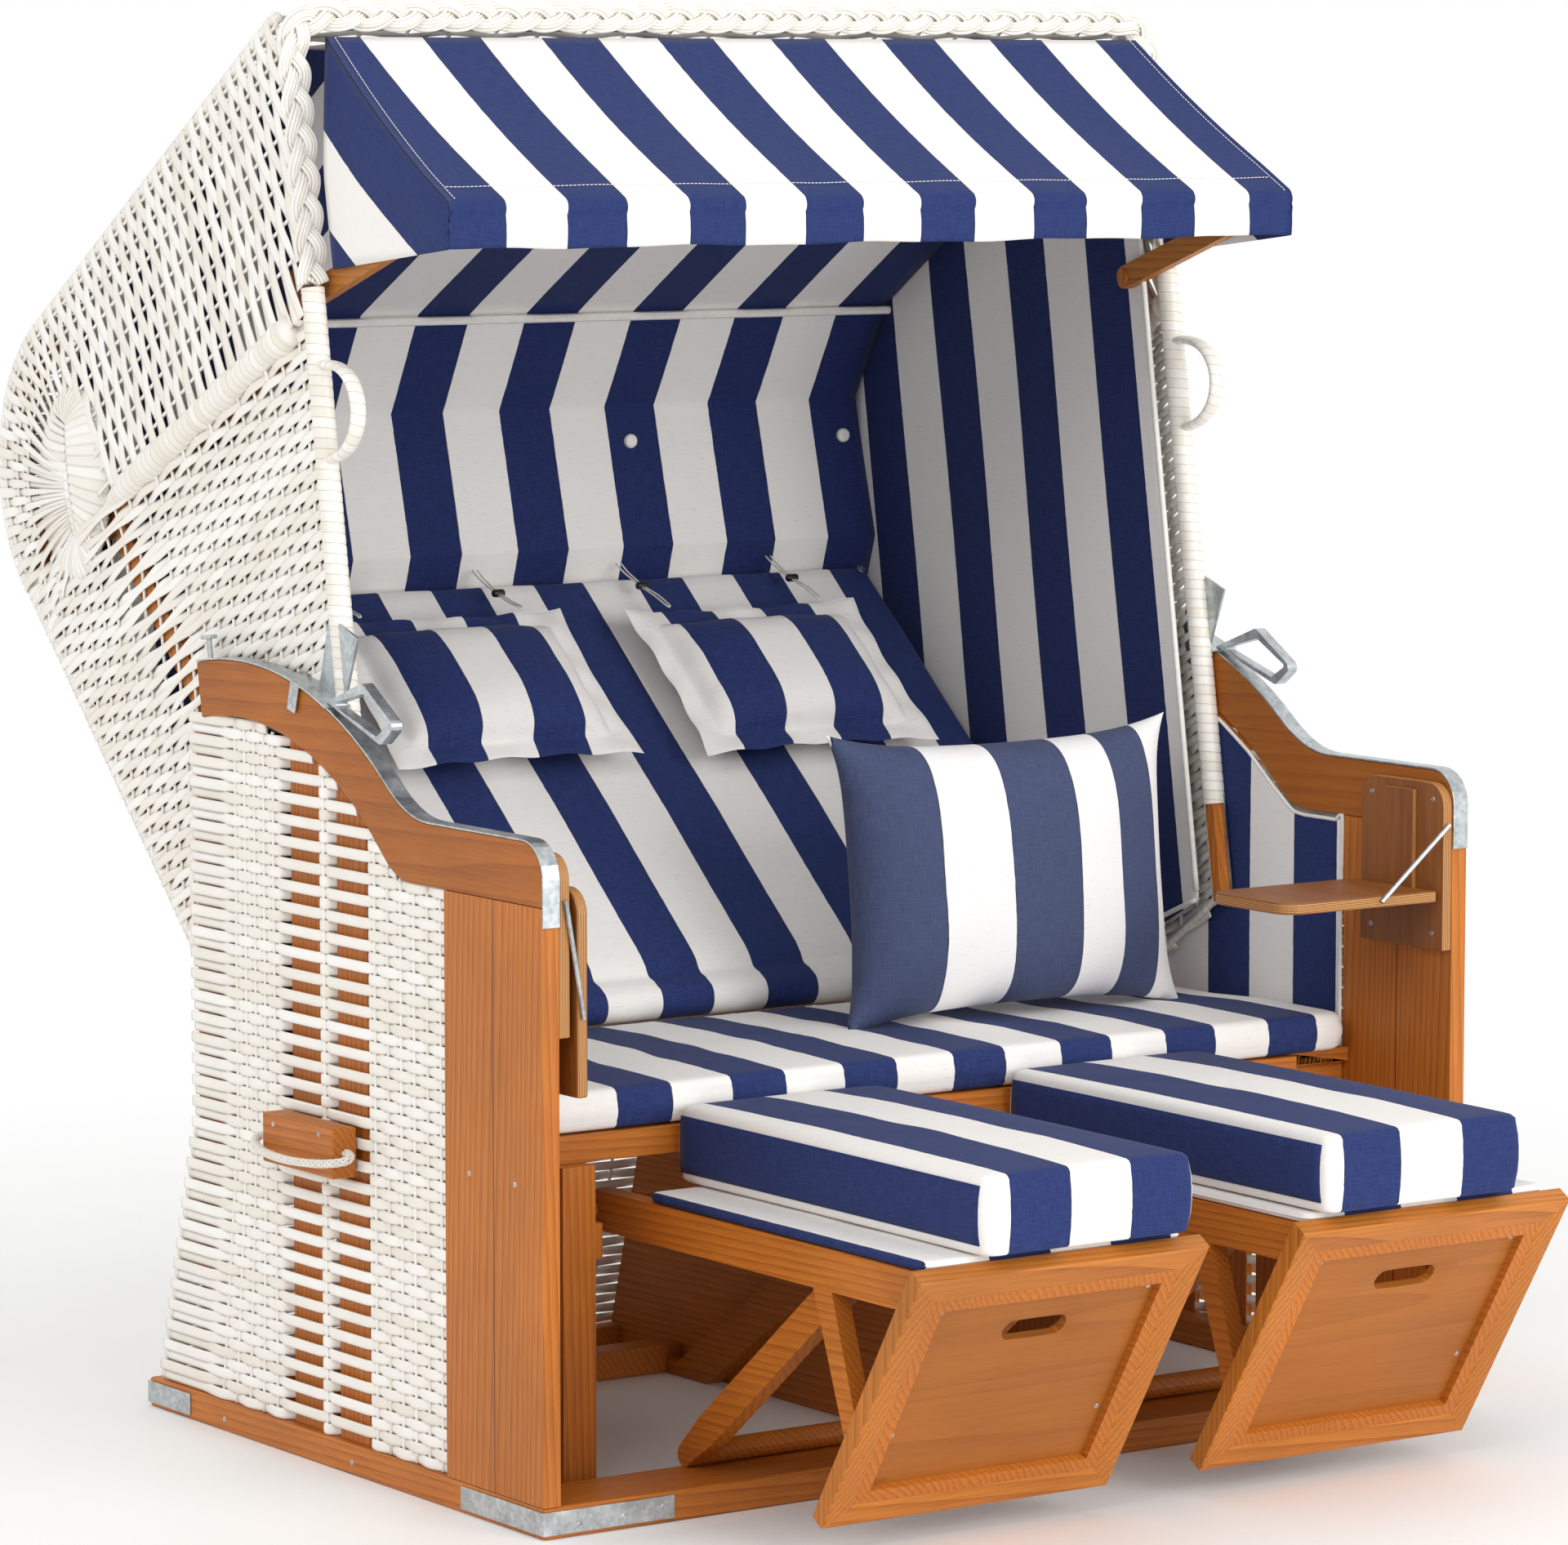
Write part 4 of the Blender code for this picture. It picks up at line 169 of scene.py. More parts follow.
def piece(name, points, faces, coat, body=None, uv=None, facing=None):
    """One object from points and arrays of faces. uv holds a pair for each point. Its faces are turned
    outwards, or towards the direction facing where it is an open sheet."""
    points = np.asarray(points, float).reshape(-1, 3)
    faces = [np.asarray(f, int) for f in faces if len(f)]
    a, b, c = (points[np.concatenate([f[:, k] for f in faces])] for k in (0, 1, 2))
    a2, c2, d2 = (points[np.concatenate([f[:, k] for f in faces])] for k in (0, 2, -1))
    areas = np.cross(b - a, c - a) + np.cross(c2 - a2, d2 - a2)
    if facing is None:
        sign = ((a - points.mean(0)) * areas).sum()
    else:
        sign = (areas @ np.asarray(facing, float)).sum()
    if sign < 0:
        faces = [f[:, ::-1] for f in faces]
    corners = np.concatenate([f.ravel() for f in faces]).astype(np.int32)
    sizes = np.concatenate([np.full(len(f), f.shape[1]) for f in faces])
    mesh = bpy.data.meshes.new(name)
    mesh.vertices.add(len(points))
    mesh.vertices.foreach_set("co", points.astype(np.float32).ravel())
    mesh.loops.add(len(corners))
    mesh.loops.foreach_set("vertex_index", corners)
    mesh.polygons.add(len(sizes))
    mesh.polygons.foreach_set("loop_start", np.concatenate([[0], np.cumsum(sizes)[:-1]]).astype(np.int32))
    mesh.update(calc_edges=True)
    if uv is not None:
        layer = mesh.uv_layers.new(name="cut")
        layer.uv.foreach_set("vector", np.asarray(uv, np.float32).reshape(-1, 2)[corners].ravel())
    mesh.shade_smooth()
    mesh.materials.append(coat)
    made = bpy.data.objects.new(name, mesh)
    bpy.context.scene.collection.objects.link(made)
    if body:
        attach(made, body)
    return made


floor_coat, tree, shader = new_material("floor_paper")
# Seamless studio paper: very pale, matt, with a barely visible mottle.
mottle = noise(tree, 3.0, 2.0)
tone = blended(tree, mottle, linear("#F6F6F5"), linear("#FBFBFA"))
paint(tree, shader, tone, 0.9)
# Away from the chair the paper is as bright as the room behind it, so that no horizon shows.
far = add(tree, "VectorMath", {0: add(tree, "TexCoord").outputs["Object"]},
          operation="LENGTH").outputs["Value"]
glow = add(tree, "Emission", {"Color": (1.0, 1.0, 1.0, 1.0), "Strength": 1.0})
both = add(tree, "MixShader", {0: ramp(tree, far, 1.0, 2.4), 1: shader.outputs[0], 2: glow.outputs[0]})
tree.links.new(both.outputs[0], tree.nodes["Material Output"].inputs["Surface"])
edge = np.linspace(-30.0, 30.0, 2)
corners = [(x, y, -0.0005) for y in edge for x in edge]
floor = piece("floor", corners, [grid_faces(2, 2)], floor_coat, facing=(0, 0, 1))


# Carrying handles: a white plaited polyester rope, 10 mm thick, through a pine block on each side. The block
# is screwed to the uprights behind the weave.
SIDES = ((-1, "left"), (1, "right"))


def run_along(line):
    """How far along a line each of its points lies."""
    return np.concatenate([[0], np.cumsum(np.linalg.norm(np.diff(line, axis=0), axis=1))])


def at_x(x, line):
    """Places (y, z) as points in space at one x."""
    return np.concatenate([np.full((len(line), 1), x), line], 1)


def swept(points, radius, sides=10, start=None):
    """Rings round a line: a grid (steps, sides, 3) and the two directions across it at each step."""
    points = np.asarray(points, float)
    along = np.gradient(points, axis=0)
    along /= np.linalg.norm(along, axis=1, keepdims=True)
    side = np.eye(3)[np.argmin(np.abs(along[0]))] if start is None else np.asarray(start, float)
    sides_at = []
    for step in along:
        side = side - step * (side @ step)
        side = side / np.linalg.norm(side)
        sides_at.append(side)
    side = np.array(sides_at)
    other = np.cross(along, side)
    turn = np.linspace(0, 2 * math.pi, sides, endpoint=False)
    size = np.broadcast_to(np.asarray(radius, float), (len(points),))[:, None, None]
    ring = side[:, None] * np.cos(turn)[:, None] + other[:, None] * np.sin(turn)[:, None]
    return points[:, None] + ring * size, side, other


def tube_piece(name, points, radius, coat, body=None, sides=10, start=None):
    """A round bar along a line, with closed ends."""
    grid, _, _ = swept(points, radius, sides, start)
    rows = len(grid)
    run = run_along(np.asarray(points, float))
    uv = np.stack(np.broadcast_arrays(run[:, None], np.arange(sides)[None] / sides), -1)
    caps = [np.arange(sides)[None, ::-1], (np.arange(sides) + (rows - 1) * sides)[None]]
    return piece(name, grid, [grid_faces(rows, sides, True)] + caps, coat, body, uv)


def strands(name, paths, radius, coat, body, sides=6, start=None):
    """Several round strands of the same number of steps as one piece."""
    points, faces, uvs, first = [], [], [], 0
    for number, path in enumerate(paths):
        grid, _, _ = swept(path, radius, sides, start)
        rows = len(grid)
        run = run_along(path)
        uvs.append(np.stack(np.broadcast_arrays(run[:, None],
                                                number + np.arange(sides)[None] / sides * 0.9), -1)
                   .reshape(-1, 2))
        points.append(grid.reshape(-1, 3))
        faces += [grid_faces(rows, sides, True, first), (np.arange(sides) + first)[None, ::-1],
                  (np.arange(sides) + first + (rows - 1) * sides)[None]]
        first += rows * sides
    quads = np.concatenate([f for f in faces if f.shape[1] == 4])
    others = [f for f in faces if f.shape[1] != 4]
    return piece(name, np.concatenate(points), [quads] + others, coat, body, np.concatenate(uvs))


def smooth_line(points, count):
    """A smooth line through a few points (a Catmull curve), cut into count even steps."""
    points = np.asarray(points, float)
    padded = np.concatenate([points[:1] * 2 - points[1:2], points, points[-1:] * 2 - points[-2:-1]])
    fine = []
    for a, b, c, d in zip(padded, padded[1:], padded[2:], padded[3:]):
        t = np.linspace(0, 1, 16, endpoint=False)[:, None]
        fine.append(0.5 * (2 * b + (c - a) * t + (2 * a - 5 * b + 4 * c - d) * t ** 2
                           + (3 * b - a - 3 * c + d) * t ** 3))
    fine = np.concatenate(fine + [points[-1:]])
    run = run_along(fine)
    even = np.linspace(0, run[-1], count)
    return np.stack([np.interp(even, run, fine[:, k]) for k in range(3)], 1)


rope_coat, tree, shader = new_material("rope_polyester")
# Plaited polyester: white, slightly glossy yarns; fine threads run along each yarn.
place = add(tree, "UVMap", uv_map="cut").outputs[0]
parts = add(tree, "SeparateXYZ", {0: place})
threads = maths(tree, "SINE", maths(tree, "MULTIPLY", parts.outputs[1], 60.0))
dust = noise(tree, 160.0, 3.0)
paint(tree, shader, blended(tree, dust, linear("#D9D2C6"), linear("#F7F4EE")), 0.6)
relief(tree, shader, threads, 0.25, 0.0004)

for side, word in SIDES:
    middle_y, half, middle_z, x = 0.0275, 0.0728, 0.3445, 0.6153
    t = np.linspace(0, math.pi, 13)
    route = [(x, middle_y - half, middle_z)]
    route += [(x + 0.034 * math.sin(a) ** 1.2, middle_y - 0.0828 * math.cos(a)
               - 0.026 * math.cos(a) * max(math.sin(a), 0.0) ** 0.5,
               middle_z - 0.012 * math.sin(a)) for a in t]
    route += [(x, middle_y + half, middle_z)]
    line = smooth_line(np.array(route) * (side, 1, 1), 70)
    run = run_along(line)
    _, up, out = swept(line, 0.001)
    yarns = []
    for number in range(8):
        turn = run / 0.030 * 2 * math.pi * (1 if number % 2 else -1) + number * math.pi / 4
        lift = 0.0033 + 0.0004 * np.cos(turn * 4)
        yarns.append(line + (up * np.cos(turn)[:, None] + out * np.sin(turn)[:, None]) * lift[:, None])
    rope = strands("rope_" + word, yarns, 0.0016, rope_coat, "root")
    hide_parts("carry_rope_" + word)


# Base: pine sills, posts, stiles, seat deck and partition, planed, eased at the edges and glazed in a warm
# orange brown, held at the corners by galvanised angles.
def wood(name, light="#C97728", dark="#8F4813", along=2, other=None, beyond=None, tone=1.0, joint=None,
         rate=120.0):
    """Glazed softwood with its grain along one axis. other is a second grain axis, used where the coordinate
    beyond = (axis, limit) is larger in size than its limit (or lower than it where the limit is negative).
    joint = (axis, coordinate) draws the dark line between two planks; rate is the growth lines in a metre."""
    coat, tree, shader = new_material(name)
    place = add(tree, "TexCoord").outputs["Object"]

    def grain(axis):
        """Coordinates stretched along the grain, so that a growth line drifts 8 mm in 250 mm."""
        scale = [1.0, 1.0, 1.0]
        scale[axis] = 0.032
        return add(tree, "Mapping", {"Vector": place, "Scale": scale}).outputs[0]

    way = grain(along)
    if other is not None:
        axis, limit = beyond
        part = add(tree, "SeparateXYZ", {0: place}).outputs[axis]
        if limit < 0:
            pick = maths(tree, "LESS_THAN", part, limit)
        else:
            part = maths(tree, "ABSOLUTE", part)
            pick = maths(tree, "GREATER_THAN", part, limit)
        way = add(tree, "Mix", {0: pick, 4: way, 5: grain(other)}, data_type="VECTOR").outputs[1]
    warp = noise(tree, 7.0, 2.0, way)
    spread = add(tree, "VectorMath", {0: way, 1: (1.0, 0.83, 0.91)},
                 operation="DOT_PRODUCT").outputs["Value"]
    spread = maths(tree, "MULTIPLY", spread, rate)
    spread = maths(tree, "MULTIPLY_ADD", warp, 9.0, spread)
    rings = maths(tree, "FRACT", spread)
    # Each growth line darkens slowly and ends sharply, as late wood does.
    rings = maths(tree, "POWER", rings, 2.2)
    fibre = add(tree, "TexNoise", {"Vector": way, "Scale": 420.0, "Detail": 3.0, "Roughness": 0.7})
    cloud = noise(tree, 5.0, 2.0, place)
    share = maths(tree, "MULTIPLY", rings, 0.52)
    fine = ramp(tree, fibre.outputs[0], 0.40, 0.70)
    share = maths(tree, "MULTIPLY_ADD", fine, 0.35, share)
    colour = blended(tree, share, linear(light), linear(dark))
    shade = add(tree, "MapRange", {0: cloud, 1: 0.3, 2: 0.7, 3: 0.86 * tone, 4: 1.08 * tone}).outputs[0]
    if joint is not None:
        gap = add(tree, "SeparateXYZ", {0: place}).outputs[joint[0]]
        gap = maths(tree, "SUBTRACT", gap, joint[1])
        gap = ramp(tree, maths(tree, "ABSOLUTE", gap), 0.0004, 0.0014)
        seam = maths(tree, "MULTIPLY_ADD", gap, 0.75, 0.25)
        colour = add(tree, "VectorMath", {0: colour, 3: seam}, operation="SCALE").outputs[0]
    colour = add(tree, "VectorMath", {0: colour, 3: shade}, operation="SCALE").outputs[0]
    tree.links.new(colour, shader.inputs["Base Color"])
    rough = add(tree, "MapRange", {0: fibre.outputs[0], 1: 0.2, 2: 0.8, 3: 0.38, 4: 0.56}).outputs[0]
    tree.links.new(rough, shader.inputs["Roughness"])
    relief(tree, shader, fibre.outputs[0], 0.18, 0.0006)
    shader.inputs["Specular IOR Level"].default_value = 0.36
    return coat


def dress(name, coat, ease=0.0, segments=2):
    """A CAD node keeps its shape and gets its real finish, and a small rounding on its sharp edges."""
    node = nodes[name]
    if not node.material_slots:
        node.data.materials.append(None)
    for place in node.material_slots:
        place.link = "OBJECT"
        place.material = coat
    if ease:
        weld = node.modifiers.new("weld", "WELD")
        weld.merge_threshold = 0.00002
        flat = node.modifiers.new("flat", "DECIMATE")
        flat.decimate_type = "DISSOLVE"
        flat.angle_limit = math.radians(1.0)
        rounding = node.modifiers.new("ease", "BEVEL")
        rounding.width = ease
        rounding.segments = segments
        rounding.limit_method = "ANGLE"
        rounding.angle_limit = math.radians(32.0)
        rounding.use_clamp_overlap = True
    return node


pine_up = wood("pine_upright", along=2)
pine_planks = wood("pine_planks", along=2, joint=(1, -0.3125))
pine_across = wood("pine_across", along=0)
pine_deep = wood("pine_deep", along=1)
pine_sill = wood("pine_sill", along=1, other=0, beyond=(1, -0.31))

steel, tree, shader = new_material("galvanised_steel")
# Galvanised steel: bright grey, with a soft mottle of zinc crystals and fine scratches.
place = add(tree, "TexCoord").outputs["Object"]
crystals = add(tree, "TexVoronoi", {"Vector": place, "Scale": 220.0, "Randomness": 1.0})
haze = noise(tree, 45.0, 4.0, place)
mixed = maths(tree, "MULTIPLY_ADD", crystals.outputs["Color"], 0.35, haze)
share = ramp(tree, mixed, 0.35, 0.95)
tree.links.new(blended(tree, share, linear("#9DA3A6"), linear("#D3D8DA")), shader.inputs["Base Color"])
tree.links.new(add(tree, "MapRange", {0: haze, 1: 0.3, 2: 0.7, 3: 0.30, 4: 0.48}).outputs[0],
               shader.inputs["Roughness"])
relief(tree, shader, haze, 0.12, 0.0004)
shader.inputs["Metallic"].default_value = 1.0

dress("base_frame", pine_sill, 0.0025)
dress("centre_partition", pine_deep, 0.002)
dress("seat_deck", pine_across, 0.002)
for word in ("left", "right"):
    dress("side_frame_" + word, pine_planks, 0.0015)
    dress("bay_stile_" + word, pine_up, 0.002)
    dress("carry_block_" + word, pine_deep, 0.0025)
    for end in ("front", "rear"):
        dress("corner_bracket_" + end + "_" + word, steel, 0.0004)


# Base wicker: flat weatherproof strands, 11 mm high, woven round narrow stakes and round the two broad
# uprights of each side, then on round the rear corner and across the back.
wicker, tree, shader = new_material("wicker_strand")
# Extruded strand: warm white, satin, fine ribs along its length, each strand a little different in tone.
place = add(tree, "UVMap", uv_map="cut").outputs[0]
parts = add(tree, "SeparateXYZ", {0: place})
number = maths(tree, "FLOOR", parts.outputs[1])
own = add(tree, "TexWhiteNoise", {"W": number}, noise_dimensions="1D").outputs[0]
stretch = add(tree, "CombineXYZ", {0: maths(tree, "MULTIPLY", parts.outputs[0], 14.0),
                                   1: parts.outputs[1]})
streak = add(tree, "TexNoise", {"Vector": stretch.outputs[0], "Scale": 1.6, "Detail": 3.0}).outputs[0]
share = maths(tree, "ADD", own, streak)
share = ramp(tree, share, 0.45, 1.45)
tree.links.new(blended(tree, share, linear("#EBE5D9"), linear("#F8F5F0")), shader.inputs["Base Color"])
ribs = maths(tree, "SINE", maths(tree, "MULTIPLY", parts.outputs[1], 44.0))
relief(tree, shader, ribs, 0.2, 0.0003)
shader.inputs["Roughness"].default_value = 0.42


def woven(name, centre, across, out, body, first_number=0):
    """Flat strands laid along rows of points. The three arrays (strands, steps, 3) hold the middle line, half
    the width and half the thickness; a strand is flat behind and a little crowned in front."""
    shape = ((-1, -1), (1, -1), (1, 0.2), (0.5, 0.85), (-0.5, 0.85), (-1, 0.2))
    grid = np.stack([centre + across * a + out * b for a, b in shape], axis=2)
    count, steps, sides, _ = grid.shape
    lead = (np.arange(count) * steps * sides)[:, None]
    quads = (lead[:, :, None] + grid_faces(steps, sides, True)[None]).reshape(-1, 4)
    caps = np.concatenate([lead + np.arange(sides)[None, ::-1],
                           lead + (steps - 1) * sides + np.arange(sides)[None]])
    run = np.cumsum(np.linalg.norm(np.diff(centre, axis=1, prepend=centre[:, :1]), axis=2), axis=1)
    mark = (np.arange(count) + first_number)[:, None, None] + np.arange(sides)[None, None] / sides * 0.95
    uv = np.stack(np.broadcast_arrays(run[:, :, None], mark), -1)
    return piece(name, grid, [quads, caps], wicker, body, uv)


def over_under(run, knots, signs):
    """In front (1) or behind (-1) along a strand: it holds its sign at each knot and swings between them."""
    return np.sin(np.interp(run, knots, signs) * math.pi / 2)


def rear_edge(z):
    """Where the base's leaning rear edge is at a height."""
    return np.interp(z, (0.032, 0.335), (0.388, 0.306))


SIDE_PLANE, REAR_Y, REAR_Z = 0.5950, 0.306, 0.335
arm_ys = np.array([-0.22, -0.15, -0.13, -0.09, -0.05, 0.0, 0.05, 0.1, 0.2, 0.307])
arm_zs = 0.345 + np.sqrt(np.maximum(0.4345 ** 2 - (arm_ys - 0.2) ** 2, 0.0))
arm_zs = np.where(arm_ys < -0.145, 0.637, np.minimum(arm_zs, 0.80))
arm_zs[1:3] = (0.637, 0.640)
ROW_PITCH, FIRST_ROW = 0.01165, 0.0385
row_z = np.arange(66) * ROW_PITCH + FIRST_ROW
knots = [-0.222, -0.205, -0.179, -0.153, -0.127, -0.101, -0.075]
swing = [0, 1, -1, 1, -1, 1, -1]
knots += [-0.052, -0.018, 0.012, 0.028, 0.044, 0.078, 0.108]
swing += [1, 1, 1, -1, 1, 1, 1]
knots += [0.132, 0.152, 0.172, 0.192, 0.212, 0.246, 0.300]
swing += [-1, 1, -1, 1, -1, 1, 1]
stakes = [-0.205, -0.179, -0.153, -0.127, -0.101, -0.075, 0.028, 0.132, 0.152, 0.172, 0.192, 0.212]
steps = np.concatenate([np.linspace(-0.2195, 0.135, 92), np.linspace(0.139, 0.3, 40)])
for side, word in SIDES:
    ends = np.where(row_z < REAR_Z, rear_edge(row_z), REAR_Y)
    tops = np.interp(steps, arm_ys, arm_zs)
    centre, width = [], []
    for number, z in enumerate(row_z):
        sign = 1 if number % 2 else -1
        wave = over_under(steps, knots, swing) * sign
        slat = ((steps > -0.056) & (steps < 0.016)) | ((steps > 0.040) & (steps < 0.114))
        soft = np.convolve(slat, np.ones(3) / 3, "same")
        x = SIDE_PLANE + 0.0019 * wave - soft * np.where(wave < 0, 0.0100, 0.0)
        x -= np.where(steps > 0.225, 0.0018 * np.minimum((steps - 0.225) / 0.02, 1) * (1 - np.abs(wave)), 0)
        y = np.where(steps > 0.132, 0.132 + (steps - 0.132) * (ends[number] - 0.130) / 0.168, steps)
        narrow = 0.0058 - 0.0006 * np.clip(-wave, 0, 1) ** 2
        cut = np.clip((tops - z) / 0.0058, -1, 1)
        ok = cut > 0
        if not ok.any():
            continue
        lead = int(np.argmax(ok))
        hold = np.maximum(np.arange(len(steps)), lead)
        centre.append(np.stack([side * x[hold], y[hold], np.full(len(steps), z)], 1))
        width.append(narrow[hold])
    centre = np.array(centre)
    width = np.array(width)
    across = np.stack([np.zeros_like(width), np.zeros_like(width), width], -1)
    out = np.zeros_like(centre) + (side * 0.0012, 0, 0)
    panel = woven("side_weave_" + word, centre, across, out, "root")
    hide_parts("side_wicker_" + word)
    posts = []
    for y in stakes:
        top = float(np.interp(y, arm_ys, arm_zs)) - 0.002
        z = np.linspace(0.034, top, 30)
        end = np.where(z < REAR_Z, rear_edge(z), REAR_Y)
        at = np.where(y > 0.132, 0.132 + (y - 0.132) * (end - 0.132) / 0.174, y)
        posts.append(np.stack([np.full(30, side * SIDE_PLANE), at, z], 1))
    strands("side_stakes_" + word, posts, 0.0021, wicker, "root")

rows = np.arange(26)
z = rows * ROW_PITCH + FIRST_ROW
steps = np.linspace(-0.5955, 0.5955, 150)
pitch = 0.0393
wave = np.cos(steps[None] / pitch * math.pi + rows[:, None] * math.pi)
lean = rear_edge(z) - 0.0035
centre = np.stack(np.broadcast_arrays(steps[None], lean[:, None] + 0.0022 * wave, z[:, None]), -1)
across = np.zeros_like(centre) + (0, -0.0012, 0.0050)
out = np.zeros_like(centre) + (0, 0.0009, 0.0002)
back = woven("base_back_weave", centre, across, out, "root", 100)
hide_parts("base_back_panel")
posts = []
for x in np.arange(-15, 16) * pitch:
    z = np.linspace(0.034, 0.334, 12)
    y = rear_edge(z) - 0.0035
    posts.append(np.stack([np.full(12, x), y, z], 1))
strands("base_back_stakes", posts, 0.0021, wicker, "root")
rail = np.array([(y, z) for y, z in ((0.300, 0.3355), (0.268, 0.3355), (0.268, 0.305), (0.300, 0.305))])
grid = np.stack([np.column_stack([np.full(4, x), rail]) for x in (-0.5800, 0.5800)])
top_rail = piece("base_top_rail", grid, [grid_faces(2, 4, True), [[3, 2, 1, 0]], [[4, 5, 6, 7]]],
                 pine_across, "root")
top_rail.data.shade_flat()


# Armrests: curved boards along the tops of the side walls, a galvanised strip bent over each with the bolt
# that stops the hood, and a striped cloth lining with white piping on the inner side.
board_coat = wood("armrest_wood", "#AE6318", "#8A480E", along=1, rate=60.0)
for word in ("left", "right"):
    dress("armrest_" + word, board_coat, 0.002)
    dress("armrest_strip_" + word, steel, 0.0004)
    dress("latch_plate_" + word, steel, 0.0005)
    dress("latch_handle_" + word, steel, 0.0012)
    dress("hinge_plate_" + word, steel, 0.0005)


def striped(name, start, period, navy, blue="#2B3B70", white="#F1EEEA", deep="#1E2A5A"):
    """Block-striped canvas. The cut map is in metres: its first value runs across the stripes, and each navy
    stripe begins at start plus a whole number of periods. Slubs run both ways, as in a woven acrylic."""
    coat, tree, shader = new_material(name)
    place = add(tree, "UVMap", uv_map="cut").outputs[0]
    parts = add(tree, "SeparateXYZ", {0: place})

    def threads(wide, long, scale):
        """Noise drawn out along the yarns: the real yarn is 0.5 mm, drawn here at 1 mm so that it shows."""
        way = add(tree, "Mapping", {"Vector": place, "Scale": (wide, long, 1.0)}).outputs[0]
        return add(tree, "TexNoise", {"Vector": way, "Scale": scale, "Detail": 2.0,
                                      "Roughness": 0.6}).outputs[0]

    warp = threads(1.0, 0.06, 900.0)
    weft = threads(0.06, 1.0, 900.0)
    edge = maths(tree, "MULTIPLY_ADD", warp, 0.0016, parts.outputs[0])
    edge = maths(tree, "SUBTRACT", edge, start + 0.0008)
    step = maths(tree, "DIVIDE", edge, period)
    step = maths(tree, "FRACT", step)
    blue_here = maths(tree, "LESS_THAN", step, navy / period)
    slub = maths(tree, "ADD", warp, weft)
    dark = blended(tree, ramp(tree, slub, 0.78, 1.25), linear(deep), linear(blue))
    fleck = ramp(tree, weft, 0.60, 0.75)
    pale = blended(tree, fleck, linear(white), linear("#DAD5CD"))
    colour = blended(tree, blue_here, pale, dark)
    # A darker thread runs along both borders of each navy stripe.
    border = maths(tree, "ADD", step, -0.5 * navy / period)
    border = maths(tree, "ABSOLUTE", border)
    border = maths(tree, "SUBTRACT", border, 0.5 * navy / period)
    border = ramp(tree, maths(tree, "ABSOLUTE", border), 0.0, 0.0011 / period)
    colour = blended(tree, border, linear("#161B30"), colour)
    paint(tree, shader, colour, 0.82)
    relief(tree, shader, slub, 0.25, 0.0004)
    shader.inputs["Specular IOR Level"].default_value = 0.22
    shader.inputs["Sheen Weight"].default_value = 0.05
    shader.inputs["Sheen Roughness"].default_value = 0.5
    return coat


# Coated welt cord: clean white, a little shiny, with a slight unevenness along it.
piping_coat, tree, shader, ripple = mottled("piping_white", 90.0, 3.0, "#E4DFD6", "#FAF8F4", 0.45)
relief(tree, shader, ripple, 0.2, 0.0006)

lining_coat = striped("canvas_arm_lining", -0.055, 0.154, 0.075)
ys = np.linspace(-0.219, 0.300, 60)
tops = np.interp(ys, arm_ys, arm_zs) - 0.004
for side, word in SIDES:
    up = np.linspace(0.0, 1.0, 24)[:, None]
    z = 0.372 + (tops[None] - 0.372) * up
    swell = 0.0008 * np.sin(np.pi * up) * np.sin((ys[None] + 0.22) / 0.52 * np.pi)
    x = side * (0.5785 - swell)
    grid = np.stack(np.broadcast_arrays(x, ys[None], z), -1)
    uv = np.stack(np.broadcast_arrays(ys[None], z), -1)
    cloth = piece("arm_lining_" + word, grid, [grid_faces(24, 60)], lining_coat, "root", uv,
                  facing=(-side, 0, 0))
    cloth.modifiers.new("cloth", "SOLIDIFY").thickness = 0.0008
    edge = np.stack([np.full(60, side * 0.5782), ys, tops - 0.001], 1)
    edge = np.concatenate([[[side * 0.5782, -0.2165, 0.38], [side * 0.5782, -0.2165, 0.5]], edge])
    tube_piece("arm_piping_" + word, smooth_line(edge, 90), 0.0022, piping_coat, "root", 8, start=(1, 0, 0))


# Hood sides: flat strand woven in two fields. Above the ridge it runs square to the roof and fans round the
# nose; below the ridge it runs along it, crossing the broad knee rib. A wound roll covers the ridge.
START = np.array([0.1594, 1.5264])
ROOF = np.array([0.8425, -0.5388])
BACK = np.array([-0.7108, -0.7034])
FOOT = np.array([-0.0200, 0.5250])
TAIL = np.array([0.2060, 0.3690])
UP = np.array([0.1524, 0.9883])
BEHIND = np.array([0.9883, -0.1524])
ROOF_RUN, NOSE_RUN, BACK_RUN, NOSE = 0.6393, 0.3406, 0.7362, 0.190
RIDGE_START = np.array([0.150, 1.175])
RIDGE = np.array([0.8904, -0.4551])
BELOW = np.array([-0.4551, -0.8904])
BACK_INWARD = np.array([BACK[1], -BACK[0]])
FLOOR_INWARD = np.array([0.5681, 0.8230])
STAKE_START, STAKE_STEP, STAKES = 0.024, 0.032, 26


def outline_at(run):
    """A point of the hood's outline and the inward direction there, at a length from the top front."""
    run = np.atleast_1d(np.asarray(run, float))
    inward = np.array([ROOF[1], -ROOF[0]])
    arc_start = START + ROOF * ROOF_RUN
    centre = arc_start + inward * NOSE
    turn = np.clip((run - ROOF_RUN) / NOSE, 0, NOSE_RUN / NOSE)
    way = -(inward[None] * np.cos(turn)[:, None] - ROOF[None] * np.sin(turn)[:, None])
    on_arc = centre + way * NOSE
    rest = np.maximum(run - ROOF_RUN - NOSE_RUN, 0.0)[:, None]
    before = np.minimum(run - ROOF_RUN, 0.0)[:, None]
    return on_arc + rest * BACK + before * ROOF, -way


